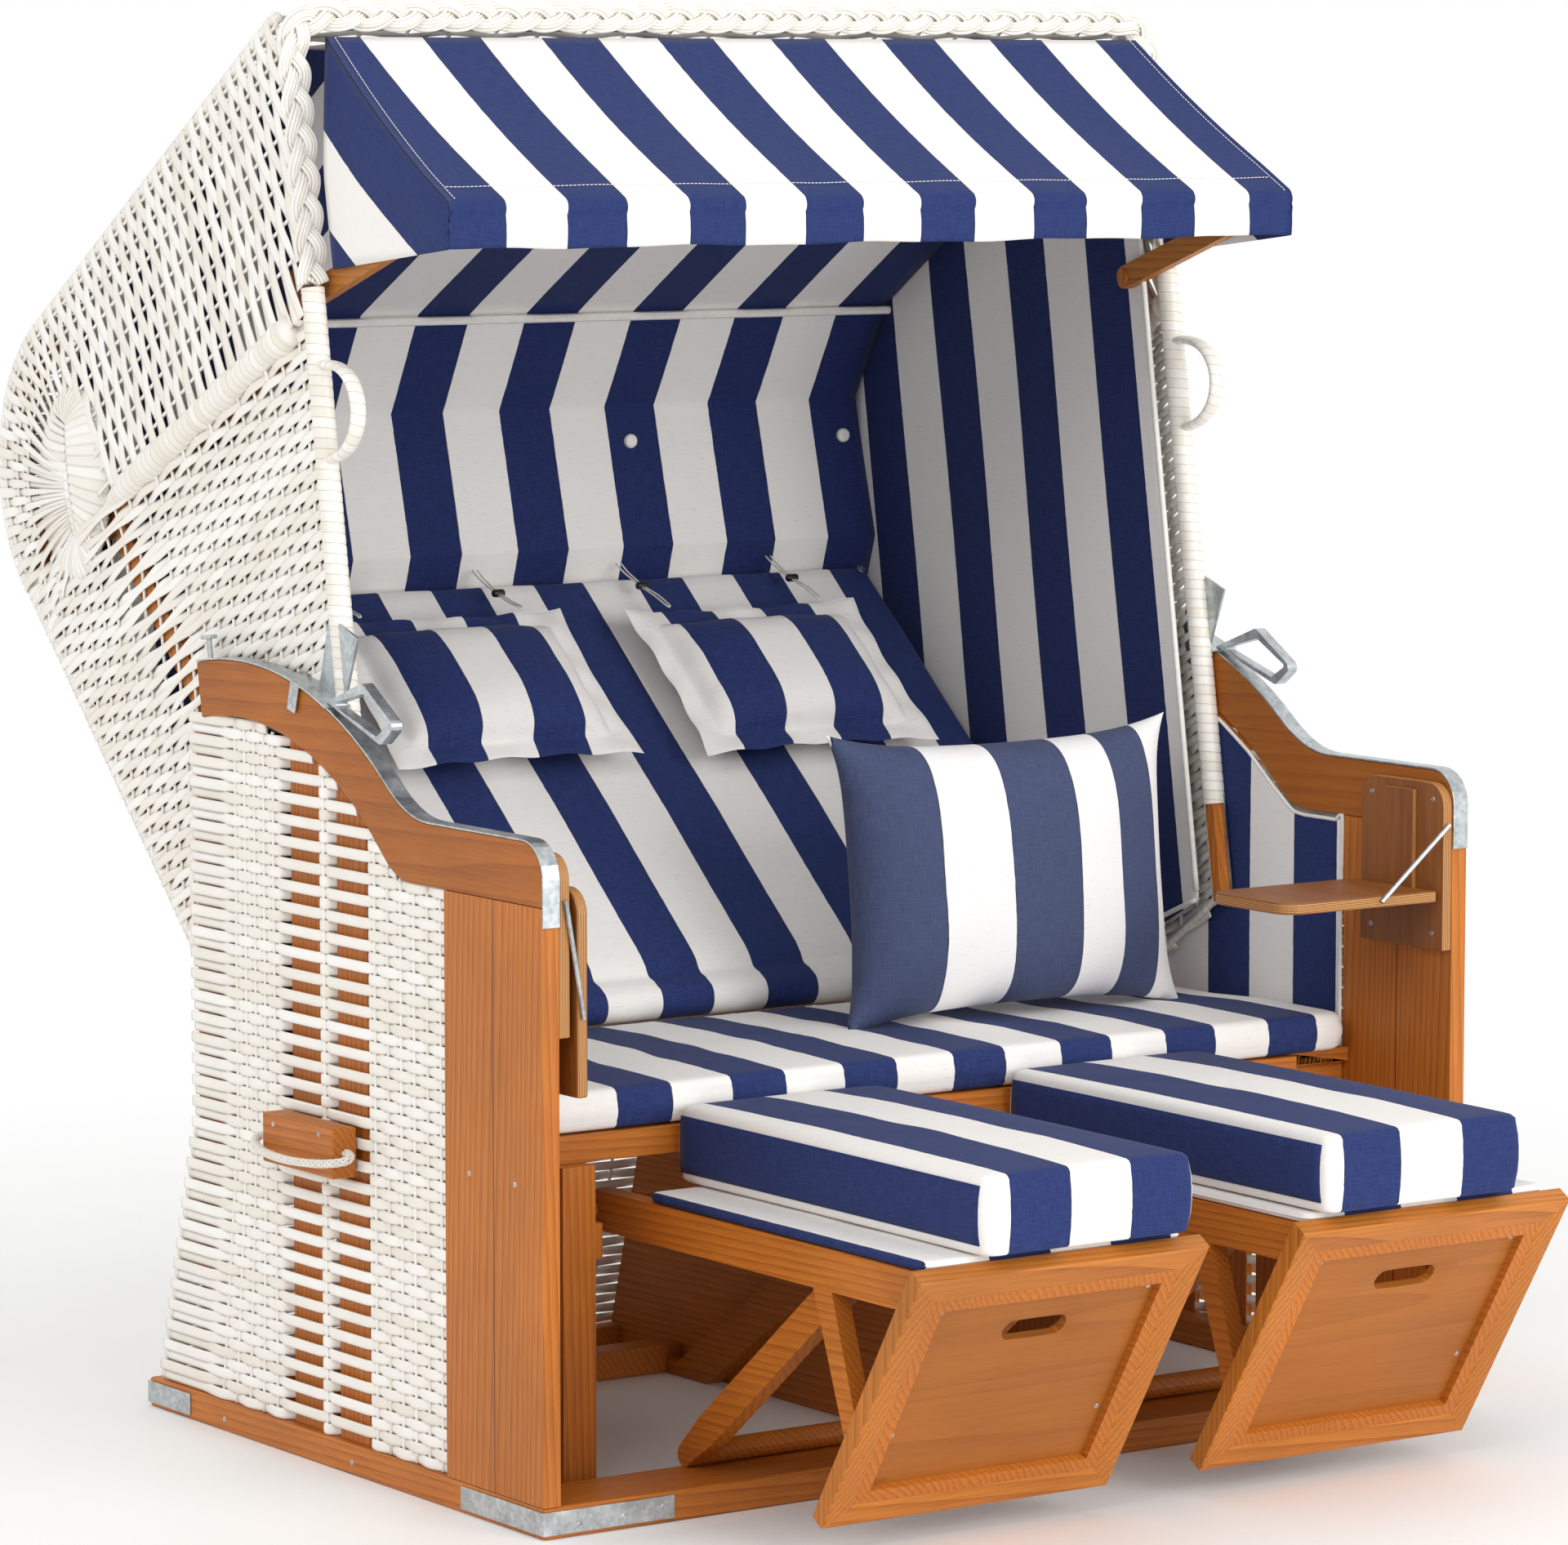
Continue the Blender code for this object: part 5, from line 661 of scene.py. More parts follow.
def side_height(points):
    """How far out the weave stands: flat at the edges, raised along the ridge and most at the mound."""
    offset = points - RIDGE_START
    along = np.clip(offset @ RIDGE, 0.0, 0.47)
    gap = np.linalg.norm(offset - along[..., None] * RIDGE, axis=-1)
    above = (offset @ BELOW) < 0
    ridge = 0.011 * np.exp(-(gap / np.where(above, 0.12, 0.035)) ** 2)
    from_mound = np.linalg.norm((points - (0.640, 1.005)) / (0.055, 0.085), axis=-1)
    mound = 0.010 * np.exp(-from_mound ** 2)
    return 0.5720 + ridge + mound


def side_strands(name, side, points, run, signs, half, body, out_size=0.0024, thick=0.0008, number=0):
    """Strands laid on the hood's side from their (y, z) lines and their swing in and out."""
    x = side_height(points) + out_size * signs
    centre = np.concatenate([side * x[..., None], points], -1)
    along = np.gradient(centre, axis=1)
    along /= np.linalg.norm(along, axis=-1, keepdims=True)
    out = np.zeros_like(centre) + (side, 0.0, 0.0)
    across = np.cross(out, along)
    across /= np.linalg.norm(across, axis=-1, keepdims=True)
    return woven(name, centre, across * half[..., None], out * thick, body, number)


upper_runs = (np.arange(88) + 0.45) * 0.0121
edge_points, inward = outline_at(upper_runs)
end_runs = [0.5556, 0.6137, 0.70, 0.78, 0.86, 0.93, 0.985, 1.07]
end_y = [0.484, 0.606, 0.622, 0.630, 0.630, 0.624, 0.614, 0.600]
end_z = [1.003, 1.082, 1.052, 1.022, 0.996, 0.972, 0.950, 0.934]
ridge_reach = ((RIDGE_START - edge_points) @ BELOW) / (inward @ BELOW)
front_gap = (edge_points - FOOT) @ BEHIND - 0.0060
front_reach = np.where(inward @ BEHIND < 0, front_gap / np.maximum(-(inward @ BEHIND), 1e-6), 9.0)
straight = edge_points + inward * np.minimum(ridge_reach, front_reach)[:, None]
curved = np.stack([np.interp(upper_runs, end_runs, end_y), np.interp(upper_runs, end_runs, end_z)], 1)
crest_top, crest_low = np.array([0.612, 1.078]), np.array([0.582, 0.952])
crest_at = crest_top + (crest_low - crest_top) * np.clip((upper_runs[:, None] - 0.60) / 0.44, 0, 1)
curved += (crest_at - curved) * np.clip((upper_runs[:, None] - 0.60) / 0.10, 0, 1) * 0.72
ends = np.where((upper_runs < 0.5556)[:, None], straight, curved)
lengths = np.linalg.norm(ends - edge_points, axis=1)
stakes_down = [0.016, 0.046, 0.076, 0.118, 0.160, 0.202, 0.244]
share = np.linspace(0, 1, 90)
points = edge_points[:, None] + (ends - edge_points)[:, None] * share[None, :, None]
run = lengths[:, None] * share[None]
signs, halves = [], []
for number, length in enumerate(lengths):
    fan = np.clip((upper_runs[number] - 0.60) / 0.06, 0, 1)
    places = [d for d in stakes_down if d < length - 0.012 and (fan < 0.5 or d < 0.080)]
    sign = [(1 if (k + number) % 2 else -1) for k in range(len(places))]
    knots = [0.0] + places + [max(length, (places[-1] if places else 0) + 0.01)]
    wave = over_under(run[number], knots, [0] + sign + [0])
    crowd = np.interp(run[number] / max(length, 1e-3), [0, 1], [1.0, 1.0 - 0.80 * fan])
    thin = np.clip(-wave, 0, 1) ** 1.3
    signs.append(wave)
    halves.append((0.0064 - 0.0021 * thin * (1 - 0.5 * fan)) * crowd)
signs, halves = np.array(signs), np.array(halves)

lower_rows, LOWER_PITCH = 68, 0.0100
offsets = 0.001 + np.arange(lower_rows) * LOWER_PITCH
heads = RIDGE_START + offsets[:, None] * BELOW
limits = [(FOOT + BEHIND * 0.0060, BEHIND), (TAIL, BACK_INWARD), (TAIL, FLOOR_INWARD)]
low = np.full(lower_rows, -2.0)
high = np.full(lower_rows, 2.0)
for base, normal in limits:
    rate = RIDGE @ normal
    room = (heads - base) @ normal
    cross = -room / rate
    if rate > 0:
        low = np.maximum(low, cross)
    else:
        high = np.minimum(high, cross)
keep = high - low > 0.02
heads, low, high, offsets = heads[keep], low[keep], high[keep], offsets[keep]
share = np.linspace(0, 1, 110)
lower_run = low[:, None] + (high - low)[:, None] * share[None]
lower_points = heads[:, None] + lower_run[..., None] * RIDGE
KNEE_WINDOW, KNEE_PUSH = 0.062, 0.0033
knee_top, knee_low = np.array([0.525, 0.970]), np.array([0.115, 0.575])
knee = (knee_low - knee_top) / np.linalg.norm(knee_low - knee_top)
knee_normal = np.array([-knee[1], knee[0]])
lower_signs, lower_halves = [], []
for number in range(len(heads)):
    behind_at = (heads[number] - FOOT) @ BEHIND
    rate = RIDGE @ BEHIND
    at_knee = ((knee_top - heads[number]) @ knee_normal) / (RIDGE @ knee_normal)
    on_knee = (heads[number] + at_knee * RIDGE)[1] > 0.52
    places = [(STAKE_START + STAKE_STEP * k - behind_at) / rate for k in range(STAKES)]
    pairs = [(p, 1 if (k + number) % 2 else -1) for k, p in enumerate(places) if low[number] + 0.004 < p
             < high[number] - 0.006]
    if on_knee:
        pairs = [(p, s) for p, s in pairs if abs(p - at_knee) > 0.050]
        pairs += [(at_knee - 0.032, 1), (at_knee + 0.032, 1)]
    pairs.sort()
    knots = [low[number] - 0.001] + [p for p, _ in pairs] + [high[number] + 0.001]
    wave = over_under(lower_run[number], knots, [0] + [s for _, s in pairs] + [0])
    from_knee = np.clip((lower_run[number] - at_knee) / KNEE_WINDOW, -1, 1)
    near_knee = np.cos(from_knee * math.pi / 2) ** 2 * on_knee
    lower_points[number] += (-KNEE_PUSH if number % 2 else KNEE_PUSH) * near_knee[:, None] * BELOW
    lower_signs.append(wave)
    thin = np.clip(-wave, 0, 1)
    lower_halves.append(0.0052 - 0.0013 * thin ** 1.3 * (1 - near_knee) - 0.0021 * near_knee)
lower_signs, lower_halves = np.array(lower_signs), np.array(lower_halves)

wound, tree, shader = new_material("wicker_wound")
# Flat strand wound round a bar: the same warm white, with a thin shadow line between turns every 11 mm.
place = add(tree, "UVMap", uv_map="cut").outputs[0]
parts = add(tree, "SeparateXYZ", {0: place})
turns = maths(tree, "DIVIDE", parts.outputs[0], 0.011)
lean = maths(tree, "MULTIPLY_ADD", parts.outputs[1], 1.0, turns)
line = maths(tree, "FRACT", lean)
gap = maths(tree, "LESS_THAN", line, 0.07)
own = add(tree, "TexWhiteNoise", {"W": maths(tree, "FLOOR", lean)},
          noise_dimensions="1D").outputs[0]
body_tone = blended(tree, own, linear("#EBE5D8"), linear("#F7F4EE"))
paint(tree, shader, blended(tree, gap, body_tone, linear("#C9BFAE")), 0.36)
relief(tree, shader, line, 0.35, 0.0012)

for side, word in SIDES:
    upper = side_strands("hood_weave_upper_" + word, side, points, run, signs, halves, "hood", number=200)
    lower = side_strands("hood_weave_lower_" + word, side, lower_points, lower_run, lower_signs,
                         lower_halves,
                         "hood", number=300)
    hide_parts("hood_side_" + word)
    paths = []
    for depth in stakes_down:
        last = 0.60 if depth > 0.080 else 0.975
        runs = np.linspace(0.0, last, 120)
        base, way = outline_at(runs)
        line = base + way * depth
        ok = ((line - FOOT) @ BEHIND > 0.014) & ((line - RIDGE_START) @ BELOW < -0.004)
        line = line[ok]
        pick = np.linspace(0, len(line) - 1, 90).astype(int)
        line = line[pick]
        paths.append(np.concatenate([side * side_height(line)[:, None], line], 1))
    strands("hood_stakes_upper_" + word, paths, 0.0020, wicker, "hood", 6, start=(1, 0, 0))
    paths = []
    for k in range(STAKES):
        foot = FOOT + BEHIND * (STAKE_START + STAKE_STEP * k)
        to_ridge = ((RIDGE_START - foot) @ BELOW) / (UP @ BELOW)
        cuts = [(-((foot - TAIL) @ n) / (UP @ n), UP @ n > 0) for n in (FLOOR_INWARD, BACK_INWARD)]
        start_at = max(cut for cut, rising in cuts if rising)
        end_at = min([to_ridge] + [cut for cut, rising in cuts if not rising])
        if end_at - start_at < 0.03:
            continue
        t = np.linspace(start_at + 0.003, end_at - 0.004, 60)
        line = foot + t[:, None] * UP
        paths.append(np.concatenate([side * side_height(line)[:, None], line], 1))
    strands("hood_stakes_lower_" + word, paths, 0.0020, wicker, "hood", 6, start=(1, 0, 0))

    a = np.linspace(0, 2 * math.pi, 46, endpoint=False)[:, None]
    out_to = np.array([0.606, 1.008]) + np.stack([0.080 * np.cos(a), 0.108 * np.sin(a)], -1)[:, 0]
    focus = crest_low + (crest_top - crest_low) * np.clip((out_to[:, 1:] - 0.915) / 0.185, 0.02, 0.98)
    share = np.linspace(0.012, 1.0, 24)
    points_on = focus[:, None] + (out_to - focus)[:, None] * share[None, :, None]
    apart = np.linalg.norm((points_on - (0.606, 1.008)) / (0.082, 0.110), axis=-1)
    high = 0.5690 + 0.0165 * np.sqrt(np.clip(1 - apart ** 2, 0, 1)) + 0.0022 * np.sin(share * math.pi)
    centre = np.concatenate([side * high[..., None], points_on], -1)
    step = 0.0006 + np.linalg.norm(np.roll(points_on, -1, 0) - points_on, axis=-1)
    around = np.roll(out_to, -1, 0) - np.roll(out_to, 1, 0)
    around /= np.linalg.norm(around, axis=1, keepdims=True)
    flat = np.concatenate([np.zeros((46, 1)), around], 1)[:, None] * step[..., None] * 0.62
    flat[..., 0] = side * 0.0011
    woven("hood_mound_" + word, centre, flat, np.zeros_like(centre) + (side * 0.0010, 0, 0), "hood", 800)

    t = np.linspace(-0.045, 0.405, 260)
    line = RIDGE_START + t[:, None] * RIDGE
    fade = np.clip((0.405 - t) / 0.06, 0, 1) ** 0.5
    fade = fade * (1 + 0.10 * np.sin(t * 71) * np.sin(t * 29 + side) + 0.05 * np.sin(t * 233))
    middle = at_x(side * 0.5800, line)
    tube_piece("ridge_roll_" + word, middle, 0.004 + 0.0125 * fade, wound, "hood", 14, start=(1, 0, 0))

    runs = np.linspace(0.0, 1.712, 420)
    base, way = outline_at(runs)
    line = base + way * 0.0062
    rim = at_x(side * 0.5672, line)
    tube_piece("hood_rim_" + word, rim, 0.0060 + 0.0003 * np.sin(runs / 0.0121 * 2 * math.pi), wound,
               "hood", 10,
               start=(1, 0, 0))
    foot_line = np.stack([np.full(40, side * 0.5700), np.linspace(-0.006, 0.206, 40),
                          np.interp(np.linspace(-0.006, 0.206, 40), (-0.006, 0.206), (0.523, 0.373))], 1)
    tube_piece("hood_foot_rim_" + word, foot_line, 0.0045, wound, "hood", 8, start=(1, 0, 0))

    t = np.linspace(0.02, np.linalg.norm(knee_low - knee_top) - 0.01, 30)
    slab = knee_top + t[:, None] * knee
    ring = []
    for a, b in ((-0.016, 0.5618), (0.016, 0.5618), (0.016, 0.5682), (0.0145, 0.5694), (-0.0145, 0.5694),
                 (-0.016, 0.5682)):
        ring.append(np.concatenate([np.full((30, 1), side * b), slab + knee_normal * a], 1))
    grid = np.stack(ring, 1)
    knee_board = piece("knee_rib_" + word, grid, [grid_faces(30, 6, True), [[5, 4, 3, 2, 1, 0]],
                       [[174, 175, 176, 177, 178, 179]]], wood("knee_wood_" + word, "#C8803A", "#8A4A1C",
                                                               along=2),
                       "hood")
    knee_board.data.shade_flat()

# Hood roof and back: strands across the whole width over stakes 57 mm apart, closed round the two rims.
BACK_ROWS, BACK_PITCH, STAKE_PITCH = 138, 0.0124, 0.0561
runs = np.arange(BACK_ROWS) * BACK_PITCH + 0.009
base, way = outline_at(runs)
steps = np.linspace(-0.561, 0.561, 110)
wave = np.cos(steps[None] / STAKE_PITCH * math.pi + np.arange(BACK_ROWS)[:, None] * math.pi)
depth = 0.0045 - 0.0022 * wave
yz = base[:, None] + way[:, None] * depth[..., None]
centre = np.concatenate([np.broadcast_to(steps[None, :, None], (BACK_ROWS, 110, 1)), yz], -1)
tangent = np.stack([-way[:, 1], way[:, 0]], 1)
half = 0.0058 - 0.0022 * np.clip(-wave, 0, 1)
across = np.concatenate([np.zeros((BACK_ROWS, 110, 1)), tangent[:, None] * half[..., None]], -1)
outward = np.broadcast_to(-way[:, None] * 0.0009, (BACK_ROWS, 110, 2))
out = np.concatenate([np.zeros((BACK_ROWS, 110, 1)), outward], -1)
roof = woven("hood_back_weave", centre, across, out, "hood", 500)
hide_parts("hood_shell")
runs = np.linspace(0.004, 1.708, 160)
base, way = outline_at(runs)
line = base + way * 0.0045
paths = [at_x(k * STAKE_PITCH, line) for k in range(-9, 10)]
strands("hood_back_stakes", paths, 0.0021, wicker, "hood", 6, start=(1, 0, 0))

dress("hood_frame", wood("hood_frame_wood", "#C07A36", "#8A4A1C", along=2), 0.0015)


# Hood front: a steel tube wound with flat strand, a thick three-strand plait round its upper part, each
# strand of four canes, and a wound grab loop on either side.
TUBE_X, BRAID_X, BEND, CANE_PITCH = 0.5665, 0.5661, 0.040, 0.0037
top = np.array([0.135, 1.5235])
line = []
start = FOOT + UP * (1.243 - 0.525) / 0.9883
inner_x = BRAID_X - BEND
corner = top - UP * BEND
for a in np.linspace(0, 1, 40, endpoint=False):
    line.append((BRAID_X, *(start + (corner - start) * a)))
for a in np.linspace(0, math.pi / 2, 20, endpoint=False):
    line.append((inner_x + BEND * math.cos(a), *(corner + UP * BEND * math.sin(a))))
half_line = np.array(line)
across_top = np.stack([np.linspace(inner_x, -inner_x, 80), np.full(80, top[0]), np.full(80, top[1])], 1)
whole = np.concatenate([half_line, across_top, half_line[::-1] * (-1, 1, 1)])
whole = smooth_line(whole, 620)
run = run_along(whole)
ahead = np.array([0.0, *-BEHIND])
way = np.gradient(whole, axis=0)
way /= np.linalg.norm(way, axis=1, keepdims=True)
wide = np.cross(way, ahead)
period = run[-1] / round(run[-1] / 0.114)
canes = []
for strand in range(3):
    turn = run / period * 2 * math.pi + strand * 2 * math.pi / 3
    sway = 0.0112 * np.sin(turn)
    rise = 0.0050 * np.sin(2 * turn)
    slope = np.gradient(sway, run)
    for cane in range(4):
        off = (cane - 1.5) * CANE_PITCH
        lateral = sway + off / np.sqrt(1 + slope ** 2)
        back = -off * slope / np.sqrt(1 + slope ** 2)
        lift = rise + 0.0014 * (1 - ((cane - 1.5) / 1.5) ** 2) + 0.0015
        canes.append(whole + wide * lateral[:, None] + ahead * lift[:, None] + way * back[:, None])
braid = strands("hood_braid", canes, 0.0021, wicker, "hood", 6)
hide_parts("hood_front_bar")
core = whole - ahead * 0.0125
tube_piece("hood_braid_core", core, 0.0060, wound, "hood", 12)
for side, word in SIDES:
    run = np.linspace(0.108, 0.722, 420)
    line = FOOT + UP * run[:, None]
    step = (run / 0.011) % 1.0
    size = 0.0118 + 0.0009 * np.sqrt(1 - (2 * step - 1) ** 4)
    tube_piece("hood_tube_" + word, at_x(side * TUBE_X, line), size, wound,
               "hood", 18, start=(1, 0, 0))
    run = np.linspace(-0.004, 0.112, 6)
    line = FOOT + UP * run[:, None]
    low_bar = tube_piece("hood_tube_foot_" + word, at_x(side * TUBE_X, line), 0.0108,
                         pine_up, "hood", 4, start=(1, 0.9, 0))
    low_bar.data.shade_flat()
    plate = []
    for a, b in ((-0.013, 0.0), (0.020, 0.0), (0.020, 0.0016), (-0.013, 0.0016)):
        spot = FOOT + UP * np.array([[0.004], [0.118]]) + BEHIND * a
        plate.append(at_x(side * (0.5702 + b), spot))
    plate = piece("hood_foot_plate_" + word, np.stack(plate, 1), [grid_faces(2, 4, True), [[3, 2, 1, 0]],
                  [[4, 5, 6, 7]]], steel, "hood")
    plate.data.shade_flat()
    centre = FOOT + UP * (1.108 - 0.525) / 0.9883
    t = np.linspace(0, math.pi, 60)
    out = 0.072 * np.sin(t) ** 0.8
    loop = centre - BEHIND * out[:, None] + UP * (0.050 * np.cos(t))[:, None]
    grid, over, other = swept(at_x(side * TUBE_X, loop), 1.0, 14, start=(1, 0, 0))
    turn = np.linspace(0, 2 * math.pi, 14, endpoint=False)
    ring = (over[:, None] * (np.cos(turn) * 0.0092)[:, None] + other[:, None] * (np.sin(turn) * 0.0050)[:,
                                                                                                        None])
    middle = at_x(side * TUBE_X, loop)
    length = run_along(middle)
    uv = np.stack(np.broadcast_arrays(length[:, None], np.arange(14)[None] / 14), -1)
    piece("grab_loop_" + word, middle[:, None] + ring, [grid_faces(60, 14, True)], wound, "hood", uv)


# Hood liner: striped canvas stretched inside the frame, one length from the top bar over the white batten and
# down behind the back rest's upper edge, and one panel on each side with white piping along its front.
LINER_X = 0.5466
# The liner's navy, white and deep navy are a little darker than those of the other canvases: painted shade of
# the hood's inside.
LINER_SHADED_COLOURS = ("#24336A", "#EFECE8", "#18234F")
liner_front = (0.1483, 1.4875)
back_points = [liner_front, (0.620, 1.186), (0.684, 1.070), (0.641, 0.905), (0.660, 0.846)]
back_line = []
for (y0, z0), (y1, z1) in zip(back_points, back_points[1:]):
    t = np.linspace(0, 1, 24, endpoint=False)
    back_line.append(np.stack([y0 + (y1 - y0) * t, z0 + (z1 - z0) * t], 1))
back_line = np.concatenate(back_line + [np.array(back_points[-1:])])
run = run_along(back_line)
xs = np.linspace(-LINER_X, LINER_X, 60)
waves = 0.0022 * np.sin(run[:, None] * 16 + 1.3 * np.sin(xs[None] * 5)) * (1 - (xs[None] / LINER_X) ** 8)
sag = -0.010 * np.sin(np.clip(run / 0.560, 0, 1) * math.pi)[:, None] * (1 - (xs[None] / LINER_X) ** 4)
grid = np.stack(np.broadcast_arrays(xs[None], back_line[:, :1] - 0.0015 + 0.4 * waves,
                                    back_line[:, 1:] - 0.0015
                                    + sag + 0.5 * waves), -1)
uv = np.stack(np.broadcast_arrays(xs[None], run[:, None]), -1)
liner = piece("liner_back", grid, [grid_faces(len(run), 60)], striped("canvas_liner", 0.033, 0.148, 0.070,
              *LINER_SHADED_COLOURS), "hood", uv, facing=(0, -1, 0.2))
liner.modifiers.new("cloth", "SOLIDIFY").thickness = 0.0009
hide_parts("hood_liner")
wall_coat = striped("canvas_liner_side", 0.030, 0.157, 0.075, *LINER_SHADED_COLOURS)
front_low = np.array([-0.0006, 0.5220])
wall_back = [(0.205, 0.4157), (0.668, 0.850), (0.684, 1.070), (0.620, 1.186), liner_front]
wall_share = [0.0, 0.50, 0.66, 0.78, 1.0]
share = np.linspace(0, 1, 70)
back_y = np.interp(share, wall_share, [p[0] for p in wall_back])
back_z = np.interp(share, wall_share, [p[1] for p in wall_back])
front_y = front_low[0] + (liner_front[0] - front_low[0]) * share
front_z = front_low[1] + (liner_front[1] - front_low[1]) * share
deep = np.linspace(0, 1, 40)[None]
y = front_y[:, None] + (back_y - front_y)[:, None] * deep
z = front_z[:, None] + (back_z - front_z)[:, None] * deep
for side, word in SIDES:
    x = side * (LINER_X - 0.0020 * np.sin(y * 11 + z * 6) * np.sin(np.pi * deep) * np.sin(np.pi * share)[:,
                                                                                                        None])
    grid = np.stack([x, y, z], -1)
    uv = np.stack([y - 0.155 * (z - 0.525), z], -1)
    panel = piece("liner_side_" + word, grid, [grid_faces(70, 40)], wall_coat, "hood", uv,
                  facing=(-side, 0, 0))
    panel.modifiers.new("cloth", "SOLIDIFY").thickness = 0.0009
    edge = np.stack([np.full(50, side * 0.5450), np.linspace(0.001, 0.1440, 50),
                     np.linspace(0.533, 1.470, 50)], 1)
    tube_piece("liner_piping_" + word, edge, 0.0033, piping_coat, "hood", 8, start=(1, 0, 0))
    edge = np.array([(side * 0.5450, 0.003, 0.5215), (side * 0.5450, 0.06, 0.498),
                     (side * 0.5450, 0.130, 0.466)])
    tube_piece("liner_low_piping_" + word, smooth_line(edge, 16), 0.0030, piping_coat, "hood", 8,
               start=(1, 0, 0))
dress("liner_batten", piping_coat)


# Seat and back cushions: foam in striped acrylic canvas. The back rest ends below in a stitched roll; the
# seat cushion is one boxed length, a little narrower where the hood's sides pass.
def rounded_plan(half_x, half_y, radius, arc=6, flat=16):
    """Points round a rectangle with rounded corners, counter-clockwise."""
    line = []
    for cx, cy, turn in ((1, 1, 0), (-1, 1, 1), (-1, -1, 2), (1, -1, 3)):
        a = np.linspace(0, math.pi / 2, arc) + turn * math.pi / 2
        bend = np.stack([cx * (half_x - radius) + radius * np.cos(a),
                         cy * (half_y - radius) + radius * np.sin(a)], 1)
        if line:
            line.append(line[-1][-1] + (bend[0] - line[-1][-1]) * np.linspace(0, 1, flat)[1:-1, None])
        line.append(bend)
    line.append(line[-1][-1] + (line[0][0] - line[-1][-1]) * np.linspace(0, 1, flat)[1:-1, None])
    return np.concatenate(line)


def boxed_cushion(name, low, high, coat, body, edge=0.012, radius=0.018, crown=0.006, draw=0.010,
                  belly=0.003):
    """A boxed cushion: crowned above, seams drawn tight round its rims, sides that belly between them and
    pull in between the corners."""
    low, high = np.asarray(low, float), np.asarray(high, float)
    middle, half = (low + high) / 2, (high - low) / 2
    plan = rounded_plan(half[0], half[1], radius)
    rings = []
    tall = 2 * half[2] - crown
    for share in (0.0, 0.35, 0.7, 0.9, 1.0):
        rings.append((share, edge, 0.0))
    for turn in np.radians((30, 60)):
        rings.append((1.0, edge * (1 - math.sin(turn)), edge * (1 - math.cos(turn))))
    for share in np.linspace(0, 1, 6):
        rings.append((1.0, -belly * math.sin(math.pi * share) + 0.0007 * (share in (0, 1)),
                      edge + (tall - 2 * edge) * share))
    for turn in np.radians((60, 30)):
        rings.append((1.0, edge * (1 - math.sin(turn)), tall - edge * (1 - math.cos(turn))))
    for share in (1.0, 0.95, 0.88, 0.78, 0.64, 0.5, 0.35, 0.2, 0.0):
        rings.append((share, edge, tall))
    grid = []
    for share, inset, height in rings:
        ring = plan * (1 - inset / half[:2]) * share
        u, v = ring[:, 0] / half[0], ring[:, 1] / half[1]
        pull = 1 - draw * np.stack([(1 - v ** 2) * np.abs(u) / (half[0] / half[1]) ** 0.5,
                                    (1 - u ** 2) * np.abs(v)], 1)
        ring = ring * pull
        bulge = np.clip(1 - u ** 2, 0, 1) * np.clip(1 - v ** 2, 0, 1) if height > tall * 0.6 else 0.0
        swell = 0.0012 * np.sin(u * 7 + v * 3) * np.sin(v * 9) * bulge if height > tall * 0.6 else 0.0
        z = low[2] + height + crown * (bulge ** 0.6 if height > tall * 0.6 else 0.0) + swell
        grid.append(np.column_stack([ring + middle[:2], np.broadcast_to(z, len(ring))]))
    grid = np.array(grid)
    count = len(plan)
    uv = np.stack([grid[..., 0], grid[..., 1] + grid[..., 2]], -1)
    made = piece(name, grid, [grid_faces(len(rings), count, True)], coat, body, uv)
    weld = made.modifiers.new("poles", "WELD")
    weld.merge_threshold = 0.00001
    return made


seat_coat = striped("canvas_seat", 0.020, 0.1433, 0.068)
seat = boxed_cushion("seat_pad", (-0.5635, -0.2498, 0.3784), (0.5635, 0.1345, 0.4245), seat_coat, None,
                     edge=0.010,
                     radius=0.020, crown=0.004, draw=0.004, belly=0.0015)
points = np.empty(len(seat.data.vertices) * 3, np.float32)
seat.data.vertices.foreach_get("co", points)
points = points.reshape(-1, 3)
share = np.clip((points[:, 1] + 0.125) / 0.096, 0, 1)
points[:, 0] *= 1 + (0.5396 / 0.5635 - 1) * share * share * (3 - 2 * share)
seat.data.vertices.foreach_set("co", points.ravel())
seat.data.update()
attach(seat, "root")
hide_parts("seat_cushion")

REST_LOW = np.array([0.145, 0.455])
REST_UP = np.array([0.7583, 0.6520])
REST_OUT = np.array([-0.6520, 0.7583])
REST_LENGTH = 0.6396
ring = [(0.0208 * math.cos(a), -0.0215 + 0.0208 * math.sin(a)) for a in np.radians(np.linspace(-95, -265,
                                                                                               14))]
ring += [(0.012, -0.0030), (0.020, -0.0062), (0.024, -0.0070), (0.028, -0.0062), (0.036, -0.0030)]
ring += [(s, -0.0010 + 0.0012 * math.sin(s * 9)) for s in np.linspace(0.05, 0.615, 26)]
ring += [(REST_LENGTH - 0.0135 + 0.0132 * math.sin(a), -0.0145 + 0.0135 * math.cos(a))
         for a in np.radians((20, 45, 70, 90))]
ring += [(REST_LENGTH - 0.001, -0.022), (REST_LENGTH - 0.0003, -0.030), (REST_LENGTH - 0.004, -0.038),
         (REST_LENGTH - 0.012, -0.0425), (0.4, -0.0436), (0.2, -0.0436), (0.05, -0.0430), (0.018, -0.0420)]
ring = np.array(ring)
xs = np.concatenate([[-0.5245, -0.5238, -0.5215, -0.517], np.linspace(-0.508, 0.508, 70),
                     [0.517, 0.5215, 0.5238,
                                                                                             0.5245]])
tight = np.interp(np.abs(xs), (0.508, 0.517, 0.5215, 0.5238, 0.5245), (0, 0.0012, 0.004, 0.008, 0.013))
grid, uvs = [], []
length = run_along(ring)
